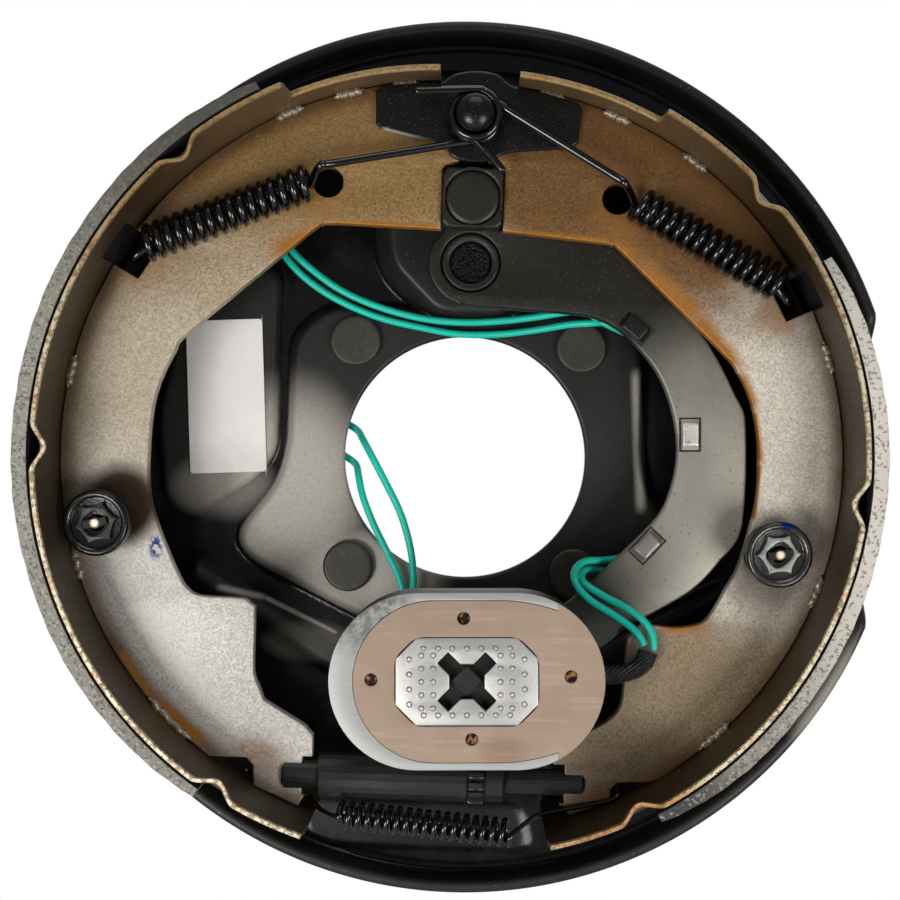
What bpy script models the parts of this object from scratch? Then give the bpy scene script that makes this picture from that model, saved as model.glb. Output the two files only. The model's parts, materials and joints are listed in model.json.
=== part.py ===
"""Electric trailer brake assembly, ten inch, seen with the shoes towards the viewer.

Frame: X right, Z up, Y along the axle, all in metres. Y is 0 on the back of the hub, where the
plate bolts to the axle flange, and the shoes and the magnet lie in front of it, at negative Y.
Outlines are lists of (x, z) points in that frame.
"""
import math

import bmesh
import bpy
from mathutils import Matrix, Vector
from mathutils.geometry import tessellate_polygon

MM = 0.001

# Clearances
TOUCH = 0.3 * MM
SLIDE = 0.4 * MM

# Backing plate, a steel stamping
PLATE_THICKNESS = 3.5 * MM
PLATE_RADIUS = 139.5 * MM
LIP_HEIGHT = 12.0 * MM
LIP_BEND = 3.0 * MM
LIP_EDGE = 0.9 * MM
HUB_RISE = 5.5 * MM
LABEL_PAD_RISE = 4.0 * MM
PEDESTAL_RISE = 11.0 * MM
WALL_SLOPE = 3.0 * MM
PILOT_RADIUS = 38.95 * MM
FLAT_SIDE_X = 130.3 * MM
PAD_RADIUS = 7.0 * MM

# Pressed mounting studs
STUD_SPACING = 73.0 * MM
STUD_RADIUS = 4.7 * MM
STUD_HEAD_RADIUS = 8.15 * MM
STUD_HEAD_HEIGHT = 2.3 * MM
STUD_REACH = 25.0 * MM

# Shoes: a rolled table, a flat web welded inside it and a bonded lining
SHOE_WIDTH = 57.15 * MM
TABLE_THICKNESS = 1.9 * MM
TABLE_NECK_WIDTH = 30.0 * MM
WEB_THICKNESS = 4.8 * MM
LINING_THICKNESS = 4.6 * MM
LINING_END_TAPER = 1.8 * MM
NIB_DEPTH = 3.7 * MM
NIB_HALF_LENGTH = 7.5 * MM
NIB_REACH = 11.0 * MM
HOOK_DEPTH = 9.0 * MM
WEB_HOLE_RADIUS = 4.7 * MM
SECONDARY_WEB_HOLE = (-44.4 * MM, 82.7 * MM)
PRIMARY_WEB_HOLE = (44.4 * MM, 80.4 * MM)
SHOES = {
    "secondary": {
        "centre": (-8.8 * MM, -0.3 * MM), "radius": 117.0 * MM, "table": (113.7, 253.0),
        "neck": 91.0, "lining": (117.2, 236.6), "nibs": (131.6, 180.4, 238.5),
        "hook": (144.6, 150.9)},
    "primary": {
        "centre": (2.2 * MM, 0.0), "radius": 115.9 * MM, "table": (-77.0, 62.5),
        "neck": 84.6, "lining": (-60.5, 31.0), "nibs": (-62.5, -5.0, 43.5),
        "hook": (25.2, 31.5)}}

# Anchor post and the guide plate on it
ANCHOR_Z = 102.5 * MM
ANCHOR_RADIUS = 8.0 * MM
ANCHOR_FLANGE_RADIUS = 12.0 * MM
ANCHOR_NECK_RADIUS = 5.2 * MM
ANCHOR_NECK_LENGTH = 12.0 * MM
ANCHOR_DOME_RADIUS = 5.8 * MM
ANCHOR_DOME_HEIGHT = 3.6 * MM
GUIDE_THICKNESS = 2.0 * MM

# Lever arm, its pivot and the cam block that spreads the shoes
PIVOT_Z = 60.2 * MM
PIVOT_PIN_RADIUS = 6.2 * MM
PIVOT_FLANGE_RADIUS = 11.0 * MM
BUSH_RADIUS = 8.8 * MM
ARM_THICKNESS = 5.0 * MM
ARM_HEAD_RADIUS = 13.3 * MM
CAM_RISE = 18.8 * MM
CAM_HALF_WIDTH = 9.2 * MM
CAM_THICKNESS = 7.6 * MM
CAM_RIVET_RADIUS = 4.0 * MM
CAM_RIVET_HEAD_RADIUS = 8.1 * MM
CLIP_WIDTH = 8.0 * MM
CLIP_LENGTH = 9.5 * MM
CLIP_RISE = 1.8 * MM

# Magnet, a steel cup with a coil, carried loosely on a post at the end of the arm
MAGNET_X = 3.1 * MM
MAGNET_Z = -64.6 * MM
MAGNET_TILT = 2.0
MAGNET_HALF_LENGTH = 39.9 * MM
MAGNET_HALF_WIDTH = 25.5 * MM
MAGNET_DEPTH = 16.5 * MM
MAGNET_PROUD = 0.8 * MM
MAGNET_WALL = 3.6 * MM
MAGNET_FLOOR = 3.0 * MM
FACE_THICKNESS = 3.0 * MM
FACE_SHIFT = 6.9 * MM
FACE_MARGIN = 2.1 * MM
FACE_STEP_X = 26.3 * MM
CORE_HALF_LENGTH = 20.6 * MM
CORE_HALF_HEIGHT = 12.6 * MM
CORE_CHAMFER = 6.0 * MM
CROSS_REACH = 9.8 * MM
CROSS_HALF_WIDTH = 2.2 * MM
CROSS_CENTRE = 4.9 * MM
POST_HALF_SIDE = 3.1 * MM
POST_SHANK_RADIUS = 5.0 * MM
MAGNET_SCREW_RADIUS = 1.7 * MM
MAGNET_SCREW_PLACES = ((-0.9, 18.2), (-27.6, 0.6), (30.0, 1.4), (1.4, -16.6))

# Star wheel adjuster between the lower ends of the shoes
ADJUSTER_Z = -99.0 * MM
FORK_RADIUS = 4.7 * MM
FORK_LENGTH = 10.9 * MM
TUBE_RADIUS = 6.9 * MM
TUBE_LEFT = -41.7 * MM
TUBE_RIGHT = 4.0 * MM
SCREW_RADIUS = 4.2 * MM
SCREW_DEPTH = 34.0 * MM
STAR_RADIUS = 7.4 * MM
STAR_ROOT_RADIUS = 6.2 * MM
STAR_WIDTH = 4.8 * MM
STAR_TEETH = 14
COLLAR_RADIUS = 6.6 * MM
COLLAR_RIGHT = 15.4 * MM
SOCKET_RADIUS = 4.0 * MM
SOCKET_RIGHT = 40.0 * MM
SLOT_DEPTH = 6.4 * MM
PIN_RADIUS = 2.2 * MM

# Springs
RETRACTOR_WIRE = 1.13 * MM
RETRACTOR_RADIUS = 4.75 * MM
RETRACTOR_PITCH = 3.3 * MM
EYE_RADIUS = 6.9 * MM
ADJUSTER_WIRE = 0.75 * MM
ADJUSTER_COIL_RADIUS = 3.6 * MM
ADJUSTER_PITCH = 3.0 * MM
HOLD_WIRE = 0.9 * MM
HOLD_COIL_RADIUS = 6.4 * MM
HOLD_TURNS = 3.0
MAGNET_WIRE = 0.9 * MM
MAGNET_COIL_RADIUS = 9.0 * MM
MAGNET_SPRING_TURNS = 3.0

# Shoe hold-downs
SECONDARY_HOLD_PLACE = (-109.4 * MM, -23.3 * MM)
PRIMARY_HOLD_PLACE = (95.2 * MM, -26.1 * MM)
HOLD_PIN_RADIUS = 1.8 * MM
HOLD_HOLE_RADIUS = 5.5 * MM
HOLD_CUP_RADIUS = 10.0 * MM
HOLD_CUP_HEIGHT = 5.0 * MM
HOLD_CUP_WALL = 1.1 * MM
HOLD_STAND = 9.5 * MM
HOLD_TAB_HALF = (3.6 * MM, 1.2 * MM)

# Label, plugs, grommet and leads
LABEL_CENTRE = (-78.1 * MM, 17.2 * MM)
LABEL_HALF = (12.4 * MM, 24.8 * MM)
LABEL_TILT = 3.6
LABEL_THICKNESS = 0.3 * MM
ADJUSTER_HOLE_X = 19.0 * MM
ADJUSTER_HOLE_HALF = (11.0 * MM, 4.0 * MM)
GROMMET_PLACE = (-67.5 * MM, 76.5 * MM)
GROMMET_HOLE_RADIUS = 6.0 * MM
GROMMET_LIP = 2.0 * MM
GROMMET_BORE = 3.9 * MM
LEAD_RADIUS = 1.15 * MM
SLEEVE_RADIUS = 3.1 * MM

# Depths worked out from the sizes above
HUB_FRONT = -PLATE_THICKNESS
PLATE_FRONT = HUB_FRONT + HUB_RISE
PLATE_BACK = PLATE_FRONT + PLATE_THICKNESS
LIP_FRONT = PLATE_FRONT - LIP_HEIGHT
PEDESTAL_FRONT = PLATE_FRONT - PEDESTAL_RISE
PEDESTAL_BACK = PEDESTAL_FRONT + PLATE_THICKNESS
LABEL_PAD_FRONT = PLATE_FRONT - LABEL_PAD_RISE
SHOE_BACK = 0.0
SHOE_FRONT = -SHOE_WIDTH
WEB_MIDDLE = -SHOE_WIDTH / 2
WEB_FRONT = WEB_MIDDLE - WEB_THICKNESS / 2
WEB_BACK = WEB_MIDDLE + WEB_THICKNESS / 2
ARM_FRONT = WEB_BACK + 0.7 * MM
ARM_BACK = ARM_FRONT + ARM_THICKNESS
GUIDE_BACK = WEB_FRONT - 0.7 * MM
GUIDE_FRONT = GUIDE_BACK - GUIDE_THICKNESS
NECK_FRONT = GUIDE_BACK - ANCHOR_NECK_LENGTH
MAGNET_FRONT = SHOE_FRONT - MAGNET_PROUD
MAGNET_BACK = MAGNET_FRONT + MAGNET_DEPTH
COIL_DEPTH = WEB_FRONT - RETRACTOR_RADIUS - RETRACTOR_WIRE - TOUCH
HOLD_CUP_FRONT = WEB_FRONT - HOLD_STAND - HOLD_CUP_WALL
ROUND_STEPS = 20


def clear_scene():
    """Remove what the file holds, so the script can run again."""
    for item in list(bpy.data.objects):
        bpy.data.objects.remove(item, do_unlink=True)


# Materials

def material(name, colour, metallic, roughness):
    """A Principled BSDF with one colour."""
    made = bpy.data.materials.new(name)
    made.use_nodes = True
    shader = made.node_tree.nodes["Principled BSDF"]
    shader.inputs["Base Color"].default_value = (*colour, 1.0)
    shader.inputs["Metallic"].default_value = metallic
    shader.inputs["Roughness"].default_value = roughness
    return made


# Outlines

def arc(centre, radius, start, end, steps):
    """Points on a circle from start to end degrees, both included."""
    points = []
    for step in range(steps + 1):
        angle = math.radians(start + (end - start) * step / steps)
        points.append((centre[0] + radius * math.cos(angle), centre[1] + radius * math.sin(angle)))
    return points


def circle(centre, radius, steps=ROUND_STEPS):
    """A closed circle, without the repeated last point."""
    return arc(centre, radius, 0.0, 360.0, steps)[:-1]


def scaled(points):
    """An outline written in millimetres, in metres."""
    return [(x * MM, z * MM) for x, z in points]


def mirrored(points):
    """The outline's points and their mirror images across X = 0, in order round the shape."""
    return points + [(-x, z) for x, z in reversed(points)]


def turned_outline(points, centre, degrees):
    """The outline turned about a centre, seen from the front."""
    cosine = math.cos(math.radians(degrees))
    sine = math.sin(math.radians(degrees))
    turned = []
    for x, z in points:
        turned.append((centre[0] + x * cosine - z * sine, centre[1] + x * sine + z * cosine))
    return turned


def rounded(points, radius, steps=3):
    """Replace each corner with an arc of the radius, or a smaller one where an edge is short."""
    result = []
    count = len(points)
    for index in range(count):
        corner = Vector(points[index])
        before = Vector(points[index - 1]) - corner
        after = Vector(points[(index + 1) % count]) - corner
        turn = before.angle(after, math.pi)
        if turn > math.radians(172):
            result.append(tuple(corner))
            continue
        reach = min(radius / math.tan(turn / 2), before.length * 0.45, after.length * 0.45)
        first = corner + before.normalized() * reach
        last = corner + after.normalized() * reach
        for step in range(steps + 1):
            t = step / steps
            point = first * (1 - t) ** 2 + corner * (2 * t * (1 - t)) + last * t ** 2
            result.append(tuple(point))
    return result


def area(points):
    """The signed area of a closed outline."""
    total = 0.0
    for index, (x, z) in enumerate(points):
        next_x, next_z = points[(index + 1) % len(points)]
        total += x * next_z - next_x * z
    return total / 2


def grown(points, distance):
    """Move each edge of the outline outwards by the distance."""
    if area(points) < 0:
        points = points[::-1]
    count = len(points)
    result = []
    for index in range(count):
        here = Vector(points[index])
        before = (here - Vector(points[index - 1])).normalized()
        after = (Vector(points[(index + 1) % count]) - here).normalized()
        middle = (before + after).normalized()
        out = Vector((middle.y, -middle.x))
        stretch = max(0.5, middle.dot(after))
        result.append(tuple(here + out * (distance / stretch)))
    return result


def slot_outline(centre, half, corner):
    """A rectangle with rounded corners."""
    x, z = half
    box = [(-x, -z), (x, -z), (x, z), (-x, z)]
    return turned_outline(rounded(box, corner), centre, 0.0)


# Solids

def finish(name, mesh, look, smooth=35.0):
    """An object with the mesh and the material."""
    made = bpy.data.objects.new(name, mesh)
    bpy.context.scene.collection.objects.link(made)
    if look is not None:
        mesh.materials.append(look)
    mesh.shade_smooth()
    mesh.set_sharp_from_angle(angle=math.radians(smooth))
    return made


def mesh_from(name, points, faces):
    """A mesh whose faces all point outwards."""
    mesh = bpy.data.meshes.new(name)
    mesh.from_pydata(points, [], faces)
    shape = bmesh.new()
    shape.from_mesh(mesh)
    bmesh.ops.recalc_face_normals(shape, faces=shape.faces)
    if shape.calc_volume(signed=True) < 0:
        bmesh.ops.reverse_faces(shape, faces=shape.faces)
    shape.to_mesh(mesh)
    shape.free()
    return mesh


def prism(name, outline, front, back, look, holes=(), grow_back=0.0):
    """A flat piece: the outline with its holes, from front to back along Y.

    With grow_back the back outline is larger than the front one, which gives sloping walls.
    """
    loops = [list(outline)] + [list(hole) for hole in holes]
    flat = [Vector((x, z, 0.0)) for loop in loops for x, z in loop]
    caps = tessellate_polygon([[Vector((x, z, 0.0)) for x, z in loop] for loop in loops])
    back_loops = [grown(loops[0], grow_back)] if grow_back else [loops[0]]
    if grow_back and area(loops[0]) < 0:
        back_loops = [grown(loops[0], grow_back)[::-1]]
    back_loops += loops[1:]
    back_flat = [point for loop in back_loops for point in loop]
    points = [(v.x, front, v.y) for v in flat] + [(x, back, z) for x, z in back_flat]
    total = len(flat)
    faces = [tuple(cap) for cap in caps]
    faces += [tuple(index + total for index in reversed(cap)) for cap in caps]
    start = 0
    for loop in loops:
        count = len(loop)
        for index in range(count):
            a = start + index
            b = start + (index + 1) % count
            faces.append((a, b, b + total, a + total))
        start += count
    return finish(name, mesh_from(name, points, faces), look)


def lathe(name, profile, place, look, steps=ROUND_STEPS, axis="Y", closed=False):
    """A turned piece: (radius, station) points spun about an axis through the place.

    The axis is along Y with place (x, z), or along X with place (y, z). A closed profile is a
    ring that never reaches the axis. The others start and end on it.
    """
    points = []
    rows = []
    for radius, station in profile:
        row = []
        count = 1 if radius < 1e-9 else steps
        for step in range(count):
            angle = math.tau * step / steps
            across = place[0] + radius * math.cos(angle)
            up = place[1] + radius * math.sin(angle)
            row.append(len(points))
            points.append((across, station, up) if axis == "Y" else (station, across, up))
        rows.append(row)
    faces = []
    pairs = list(zip(rows, rows[1:] + rows[:1])) if closed else list(zip(rows, rows[1:]))
    for low, high in pairs:
        for step in range(steps):
            a = low[step % len(low)]
            b = low[(step + 1) % len(low)]
            c = high[(step + 1) % len(high)]
            d = high[step % len(high)]
            face = tuple(dict.fromkeys((a, b, c, d)))
            if len(face) > 2:
                faces.append(face)
    return finish(name, mesh_from(name, points, faces), look)


def wire(name, points, radius, look, sides=4):
    """A round bar along the points, with flat ends."""
    path = [Vector(point) for point in points]
    tangents = []
    for index in range(len(path)):
        before = path[max(index - 1, 0)]
        after = path[min(index + 1, len(path) - 1)]
        tangents.append((after - before).normalized())
    side = tangents[0].orthogonal().normalized()
    verts = []
    for index, point in enumerate(path):
        side = (side - tangents[index] * side.dot(tangents[index])).normalized()
        other = tangents[index].cross(side)
        for step in range(sides):
            angle = math.tau * step / sides
            verts.append(point + side * radius * math.cos(angle) + other * radius * math.sin(angle))
    faces = [tuple(range(sides)), tuple(reversed(range(len(verts) - sides, len(verts))))]
    for index in range(len(path) - 1):
        for step in range(sides):
            a = index * sides + step
            b = index * sides + (step + 1) % sides
            faces.append((a, b, b + sides, a + sides))
    return finish(name, mesh_from(name, verts, faces), look, smooth=80.0)


def boolean(target, helper, operation):
    """Cut or join with a helper object, which the finished part leaves out."""
    helper.display_type = "WIRE"
    helper.hide_render = True
    step = target.modifiers.new(helper.name, "BOOLEAN")
    step.operation = operation
    step.solver = "EXACT"
    step.object = helper


def axis_empty(name, place, parent=None):
    """An empty on a joint's axis, which carries the pieces that turn or slide there."""
    made = bpy.data.objects.new(name, None)
    bpy.context.scene.collection.objects.link(made)
    made.location = place
    if parent is not None:
        made.parent = parent
        made.location = Vector(place) - world_place(parent)
    return made


def world_place(item):
    """The place of an unturned object under unturned parents."""
    total = Vector((0.0, 0.0, 0.0))
    while item is not None:
        total = total + item.location
        item = item.parent
    return total


def carry(axis, *pieces):
    """Put the pieces under the axis, where they stand."""
    offset = world_place(axis)
    for piece in pieces:
        if piece.type == "MESH":
            piece.data.transform(Matrix.Translation(-offset))
        else:
            piece.location = -offset
        piece.parent = axis


# Backing plate

def hub_outline():
    """Top edge of the raised hub, with its two lower corners drawn out sideways."""
    half = [(-45, 46), (-55.2, 37), (-55.2, 2), (-58.5, -11), (-71.6, -28.3)]
    half += [(-66, -34), (-31, -51), (-12, -56)]
    return rounded(mirrored(scaled(half)), 6 * MM, 2)


def pedestal_outline():
    """Top edge of the raised seat for the lever pivot and the anchor post."""
    half = [(-9.5, 47.6), (-24, 62), (-25.4, 72), (-25.4, 108), (-13, 119)]
    return rounded(mirrored(scaled(half)), 4 * MM, 2)


def label_pad_outline():
    """Top edge of the raised pad on the left, which carries the label."""
    points = [(-63.5, 58), (-63.3, 0), (-69.3, -8), (-88, -21.5), (-96, -17), (-99, 10), (-93, 40)]
    return rounded(scaled(points + [(-80, 60)]), 4 * MM, 2)


def raised(name, outline, front):
    """Front and back helpers of one raised field, so the sheet keeps its thickness there."""
    slope = WALL_SLOPE * (PLATE_FRONT - front) / HUB_RISE
    rise = prism(name, outline, front, PLATE_FRONT + PLATE_THICKNESS / 2, None,
                 grow_back=slope * 1.3)
    inner = grown(outline, -PLATE_THICKNESS * 0.6)
    hollow = prism(name + "_hollow", inner, front + PLATE_THICKNESS, PLATE_BACK + PLATE_THICKNESS,
                   None, grow_back=slope * 1.3)
    return rise, hollow


def plate_profile():
    """Half section of the round plate with its lip turned to the front."""
    inside = PLATE_RADIUS - PLATE_THICKNESS
    profile = [(0.0, PLATE_FRONT)]
    for step in range(4):
        angle = math.radians(90 * step / 3)
        profile.append((inside - LIP_BEND + LIP_BEND * math.sin(angle),
                        PLATE_FRONT - LIP_BEND + LIP_BEND * math.cos(angle)))
    profile.append((inside, LIP_FRONT + LIP_EDGE))
    profile.append((inside + LIP_EDGE, LIP_FRONT))
    profile.append((PLATE_RADIUS - LIP_EDGE, LIP_FRONT))
    profile.append((PLATE_RADIUS, LIP_FRONT + LIP_EDGE))
    bend = LIP_BEND + PLATE_THICKNESS / 2
    for step in range(4):
        angle = math.radians(90 * step / 3)
        profile.append((PLATE_RADIUS - bend + bend * math.cos(angle),
                        PLATE_BACK - bend + bend * math.sin(angle)))
    profile.append((0.0, PLATE_BACK))
    return profile


def stud_places():
    """The four mounting studs, in a square about the hub."""
    half = STUD_SPACING / 2
    return [(-half, half), (half, half), (-half, -half), (half, -half)]


def nib_places():
    """Where the shoes' nibs bear on the plate."""
    places = []
    for shoe in SHOES.values():
        reach = shoe["radius"] - TABLE_THICKNESS / 2 - NIB_DEPTH / 2
        for angle in shoe["nibs"]:
            places += arc(shoe["centre"], reach, angle, angle, 1)[:1]
    return places


def build_plate(look):
    """The stamped plate: disc and lip, raised fields, bearing pads, holes and the flat side."""
    plate = lathe("backing_plate", plate_profile(), (0.0, 0.0), look, steps=60)
    fields = (("hub_field", hub_outline(), HUB_FRONT),
              ("pedestal_field", pedestal_outline(), PEDESTAL_FRONT),
              ("label_field", label_pad_outline(), LABEL_PAD_FRONT))
    hollows = []
    for name, outline, front in fields:
        rise, hollow = raised(name, outline, front)
        boolean(plate, rise, "UNION")
        hollows.append(hollow)
    for index, place in enumerate(nib_places()):
        pad = [(PAD_RADIUS + WALL_SLOPE / 2, PLATE_FRONT + PLATE_THICKNESS / 2)]
        pad = [(0.0, PLATE_FRONT + PLATE_THICKNESS / 2)] + pad
        pad += [(PAD_RADIUS, SHOE_BACK + TOUCH), (0.0, SHOE_BACK + TOUCH)]
        boolean(plate, lathe(f"bearing_pad_{index + 1}", pad, place, None, steps=12), "UNION")
    for hollow in hollows:
        boolean(plate, hollow, "DIFFERENCE")
    front = PEDESTAL_FRONT - PLATE_THICKNESS
    back = PLATE_BACK + PLATE_THICKNESS
    holes = [("pilot_hole", circle((0.0, 0.0), PILOT_RADIUS, 48))]
    for index, place in enumerate(stud_places()):
        holes.append((f"stud_hole_{index + 1}", circle(place, STUD_RADIUS + TOUCH, 20)))
    holes.append(("anchor_hole", circle((0.0, ANCHOR_Z), ANCHOR_RADIUS + TOUCH)))
    holes.append(("pivot_hole", circle((0.0, PIVOT_Z), PIVOT_PIN_RADIUS + TOUCH)))
    for name, place in (("secondary", SECONDARY_HOLD_PLACE), ("primary", PRIMARY_HOLD_PLACE)):
        holes.append((name + "_pin_hole", circle(place, HOLD_PIN_RADIUS + SLIDE, 16)))
    for name, side in (("left", -1), ("right", 1)):
        centre = (side * ADJUSTER_HOLE_X, ADJUSTER_Z)
        holes.append((name + "_adjusting_hole", slot_outline(centre, ADJUSTER_HOLE_HALF, 3 * MM)))
    holes.append(("lead_hole", circle(GROMMET_PLACE, GROMMET_HOLE_RADIUS, 20)))
    for name, outline in holes:
        boolean(plate, prism(name, outline, front, back, None), "DIFFERENCE")
    edge = [(FLAT_SIDE_X, -PLATE_RADIUS), (FLAT_SIDE_X + PLATE_RADIUS, -PLATE_RADIUS)]
    edge += [(FLAT_SIDE_X + PLATE_RADIUS, PLATE_RADIUS), (FLAT_SIDE_X, PLATE_RADIUS)]
    boolean(plate, prism("flat_side", edge, LIP_FRONT - LIP_HEIGHT, back, None), "DIFFERENCE")
    return plate


def build_studs(look):
    """Studs pressed in from the front, with their threads standing out at the back."""
    for index, place in enumerate(stud_places()):
        seat = HUB_FRONT - TOUCH
        top = seat - STUD_HEAD_HEIGHT
        chamfer = 0.8 * MM
        profile = [(0.0, top), (STUD_HEAD_RADIUS - chamfer, top), (STUD_HEAD_RADIUS, top + chamfer)]
        profile += [(STUD_HEAD_RADIUS, seat), (STUD_RADIUS, seat)]
        profile += [(STUD_RADIUS, STUD_REACH - chamfer), (STUD_RADIUS - chamfer, STUD_REACH)]
        profile += [(0.0, STUD_REACH)]
        lathe(f"mounting_stud_{index + 1}", profile, place, look, steps=16)


def build_anchor(post_look, guide_look):
    """The anchor post, riveted into the pedestal, and the plate that keeps the webs in line."""
    place = (0.0, ANCHOR_Z)
    rivet = 2.5 * MM
    behind = PEDESTAL_BACK + TOUCH
    shoulder = WEB_BACK + TOUCH
    dome = NECK_FRONT
    profile = [(0.0, behind + rivet), (ANCHOR_RADIUS + 1.5 * MM, behind + rivet)]
    profile += [(ANCHOR_RADIUS + 3.0 * MM, behind + rivet / 2), (ANCHOR_RADIUS + 3.0 * MM, behind)]
    profile += [(ANCHOR_RADIUS, behind), (ANCHOR_RADIUS, PEDESTAL_FRONT - TOUCH)]
    profile += [(ANCHOR_FLANGE_RADIUS, PEDESTAL_FRONT - TOUCH), (ANCHOR_FLANGE_RADIUS, shoulder)]
    profile += [(ANCHOR_RADIUS, shoulder), (ANCHOR_RADIUS, GUIDE_BACK + TOUCH)]
    profile += [(ANCHOR_NECK_RADIUS, GUIDE_BACK + TOUCH), (ANCHOR_NECK_RADIUS, dome)]
    profile += [(ANCHOR_DOME_RADIUS, dome - TOUCH)]
    for step in range(1, 5):
        angle = math.radians(90 * step / 4)
        profile.append((ANCHOR_DOME_RADIUS * math.cos(angle) if step < 4 else 0.0,
                        dome - TOUCH - ANCHOR_DOME_HEIGHT * math.sin(angle)))
    lathe("anchor_post", profile[::-1], place, post_look)
    points = [(-30.6, 110.8), (-28, 112.2), (-14, 113.7), (-9.9, 114), (-6.6, 116.4), (0, 117.6)]
    points += [(6.6, 116.6), (10.6, 113.5), (20, 111.7), (31, 108.8), (32.6, 107), (31.4, 96.4)]
    points += [(29, 94.8), (12, 93.2)]
    points += [(7.4, 91.6), (3.6, 90), (-3.6, 90), (-7.4, 91.8), (-10.7, 95.2), (-28, 98.8)]
    points += [(-30.2, 100.4)]
    hole = circle(place, ANCHOR_NECK_RADIUS + TOUCH)
    prism("shoe_guide_plate", scaled(points), GUIDE_FRONT, GUIDE_BACK, guide_look, [hole])


# Lever arm

def arm_outline():
    """The curved arm: head round the pivot, ear behind the cam block, sweep down to the magnet."""
    head = arc((0.0, PIVOT_Z), ARM_HEAD_RADIUS, 150, 270, 8)
    inner = scaled([(37, 44.9), (52.9, 35.2), (62, 22), (66, 4.4), (63.4, -10.9), (58.4, -19.1)])
    inner += scaled([(48.9, -29), (33.6, -43.8), (20, -51.2)])
    foot = arc((MAGNET_X, MAGNET_Z), 13 * MM, 80, 300, 10)
    outer = scaled([(30, -69.5), (54.2, -50.2), (71.2, -39.4), (80.7, -28.9), (86.9, -18.2)])
    outer += scaled([(86.9, 12), (83.5, 21.5), (70.5, 43.2), (46, 68.5), (38, 71)])
    ear = CAM_HALF_WIDTH - SLIDE
    top = PIVOT_Z + CAM_RISE + ear
    corner = 2 * MM
    cam = [(ear, 71 * MM), (ear, top - corner), (ear - corner, top), (corner - ear, top)]
    cam += [(-ear, top - corner), (-ear, 70.5 * MM)]
    return head + inner + foot + outer + cam


def build_lever(look, bush_look, block_look, post_look):
    """The arm with its bush, the cam block with its rivet and the post that carries the magnet."""
    axis = axis_empty("lever_axis", (0.0, 0.0, PIVOT_Z))
    cam = (0.0, PIVOT_Z + CAM_RISE)
    magnet = (MAGNET_X, MAGNET_Z)
    holes = [circle((0.0, PIVOT_Z), BUSH_RADIUS + TOUCH), circle(cam, CAM_RIVET_RADIUS + TOUCH, 16)]
    holes.append(circle(magnet, POST_SHANK_RADIUS + TOUCH, 20))
    arm = prism("lever_arm", arm_outline(), ARM_FRONT, ARM_BACK, look, holes)
    clips = ((51.5 * MM, 41.8 * MM, -38.0), (69.6 * MM, 9.2 * MM, -88.0), (57.4 * MM, -25.6 * MM, 48.0))
    for index, (x, z, degrees) in enumerate(clips):
        half = (CLIP_LENGTH / 2, CLIP_WIDTH / 2)
        box = [(-half[0], -half[1]), (half[0], -half[1]), (half[0], half[1]), (-half[0], half[1])]
        outline = turned_outline(box, (x, z), degrees)
        clip = prism(f"lead_clip_{index + 1}", outline, ARM_FRONT - CLIP_RISE,
                     ARM_FRONT + ARM_THICKNESS / 2, None)
        boolean(arm, clip, "UNION")
    ring = [(PIVOT_PIN_RADIUS + TOUCH, ARM_BACK + TOUCH), (BUSH_RADIUS, ARM_BACK + TOUCH)]
    ring += [(BUSH_RADIUS, ARM_FRONT - TOUCH), (PIVOT_PIN_RADIUS + TOUCH, ARM_FRONT - TOUCH)]
    bush = lathe("lever_bush", ring, (0.0, PIVOT_Z), bush_look, closed=True)
    block_back = ARM_FRONT - TOUCH
    block_front = block_back - CAM_THICKNESS
    seat = 2.0 * MM
    rivet = [(0.0, block_front), (CAM_RIVET_HEAD_RADIUS, block_front)]
    rivet += [(CAM_RIVET_HEAD_RADIUS, block_front + seat), (CAM_RIVET_RADIUS, block_front + seat)]
    rivet += [(CAM_RIVET_RADIUS, ARM_BACK + TOUCH), (CAM_RIVET_RADIUS + seat, ARM_BACK + TOUCH)]
    rivet += [(CAM_RIVET_RADIUS + seat, ARM_BACK + seat), (0.0, ARM_BACK + seat)]
    pin = lathe("cam_rivet", rivet, cam, block_look, steps=20)
    carry(axis, arm, bush, pin)
    swivel = axis_empty("cam_axis", (0.0, 0.0, cam[1]), axis)
    side = CAM_HALF_WIDTH
    corners = [(-side, -side), (side, -side), (side, side), (-side, side)]
    outline = turned_outline(rounded(corners, 3 * MM), cam, 0.0)
    block = prism("cam_block", outline, block_front, block_back, block_look)
    bore = [(0.0, block_front - seat), (CAM_RIVET_HEAD_RADIUS + TOUCH, block_front - seat)]
    bore += [(CAM_RIVET_HEAD_RADIUS + TOUCH, block_front + seat + TOUCH)]
    bore += [(CAM_RIVET_RADIUS + TOUCH, block_front + seat + TOUCH)]
    bore += [(CAM_RIVET_RADIUS + TOUCH, block_back + seat), (0.0, block_back + seat)]
    boolean(block, lathe("cam_block_bore", bore, cam, None, steps=20), "DIFFERENCE")
    carry(swivel, block)
    post = lathe("magnet_post", magnet_post_profile(), magnet, post_look, steps=20)
    square = turned_outline(slot_outline((0.0, 0.0), (POST_HALF_SIDE, POST_HALF_SIDE), 0.6 * MM),
                            magnet, MAGNET_TILT + 45)
    tip = prism("magnet_post_tip", square, MAGNET_FRONT + 1.2 * MM, MAGNET_BACK + 1.0 * MM, None)
    boolean(post, tip, "UNION")
    carry(axis, post)
    return axis


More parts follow.
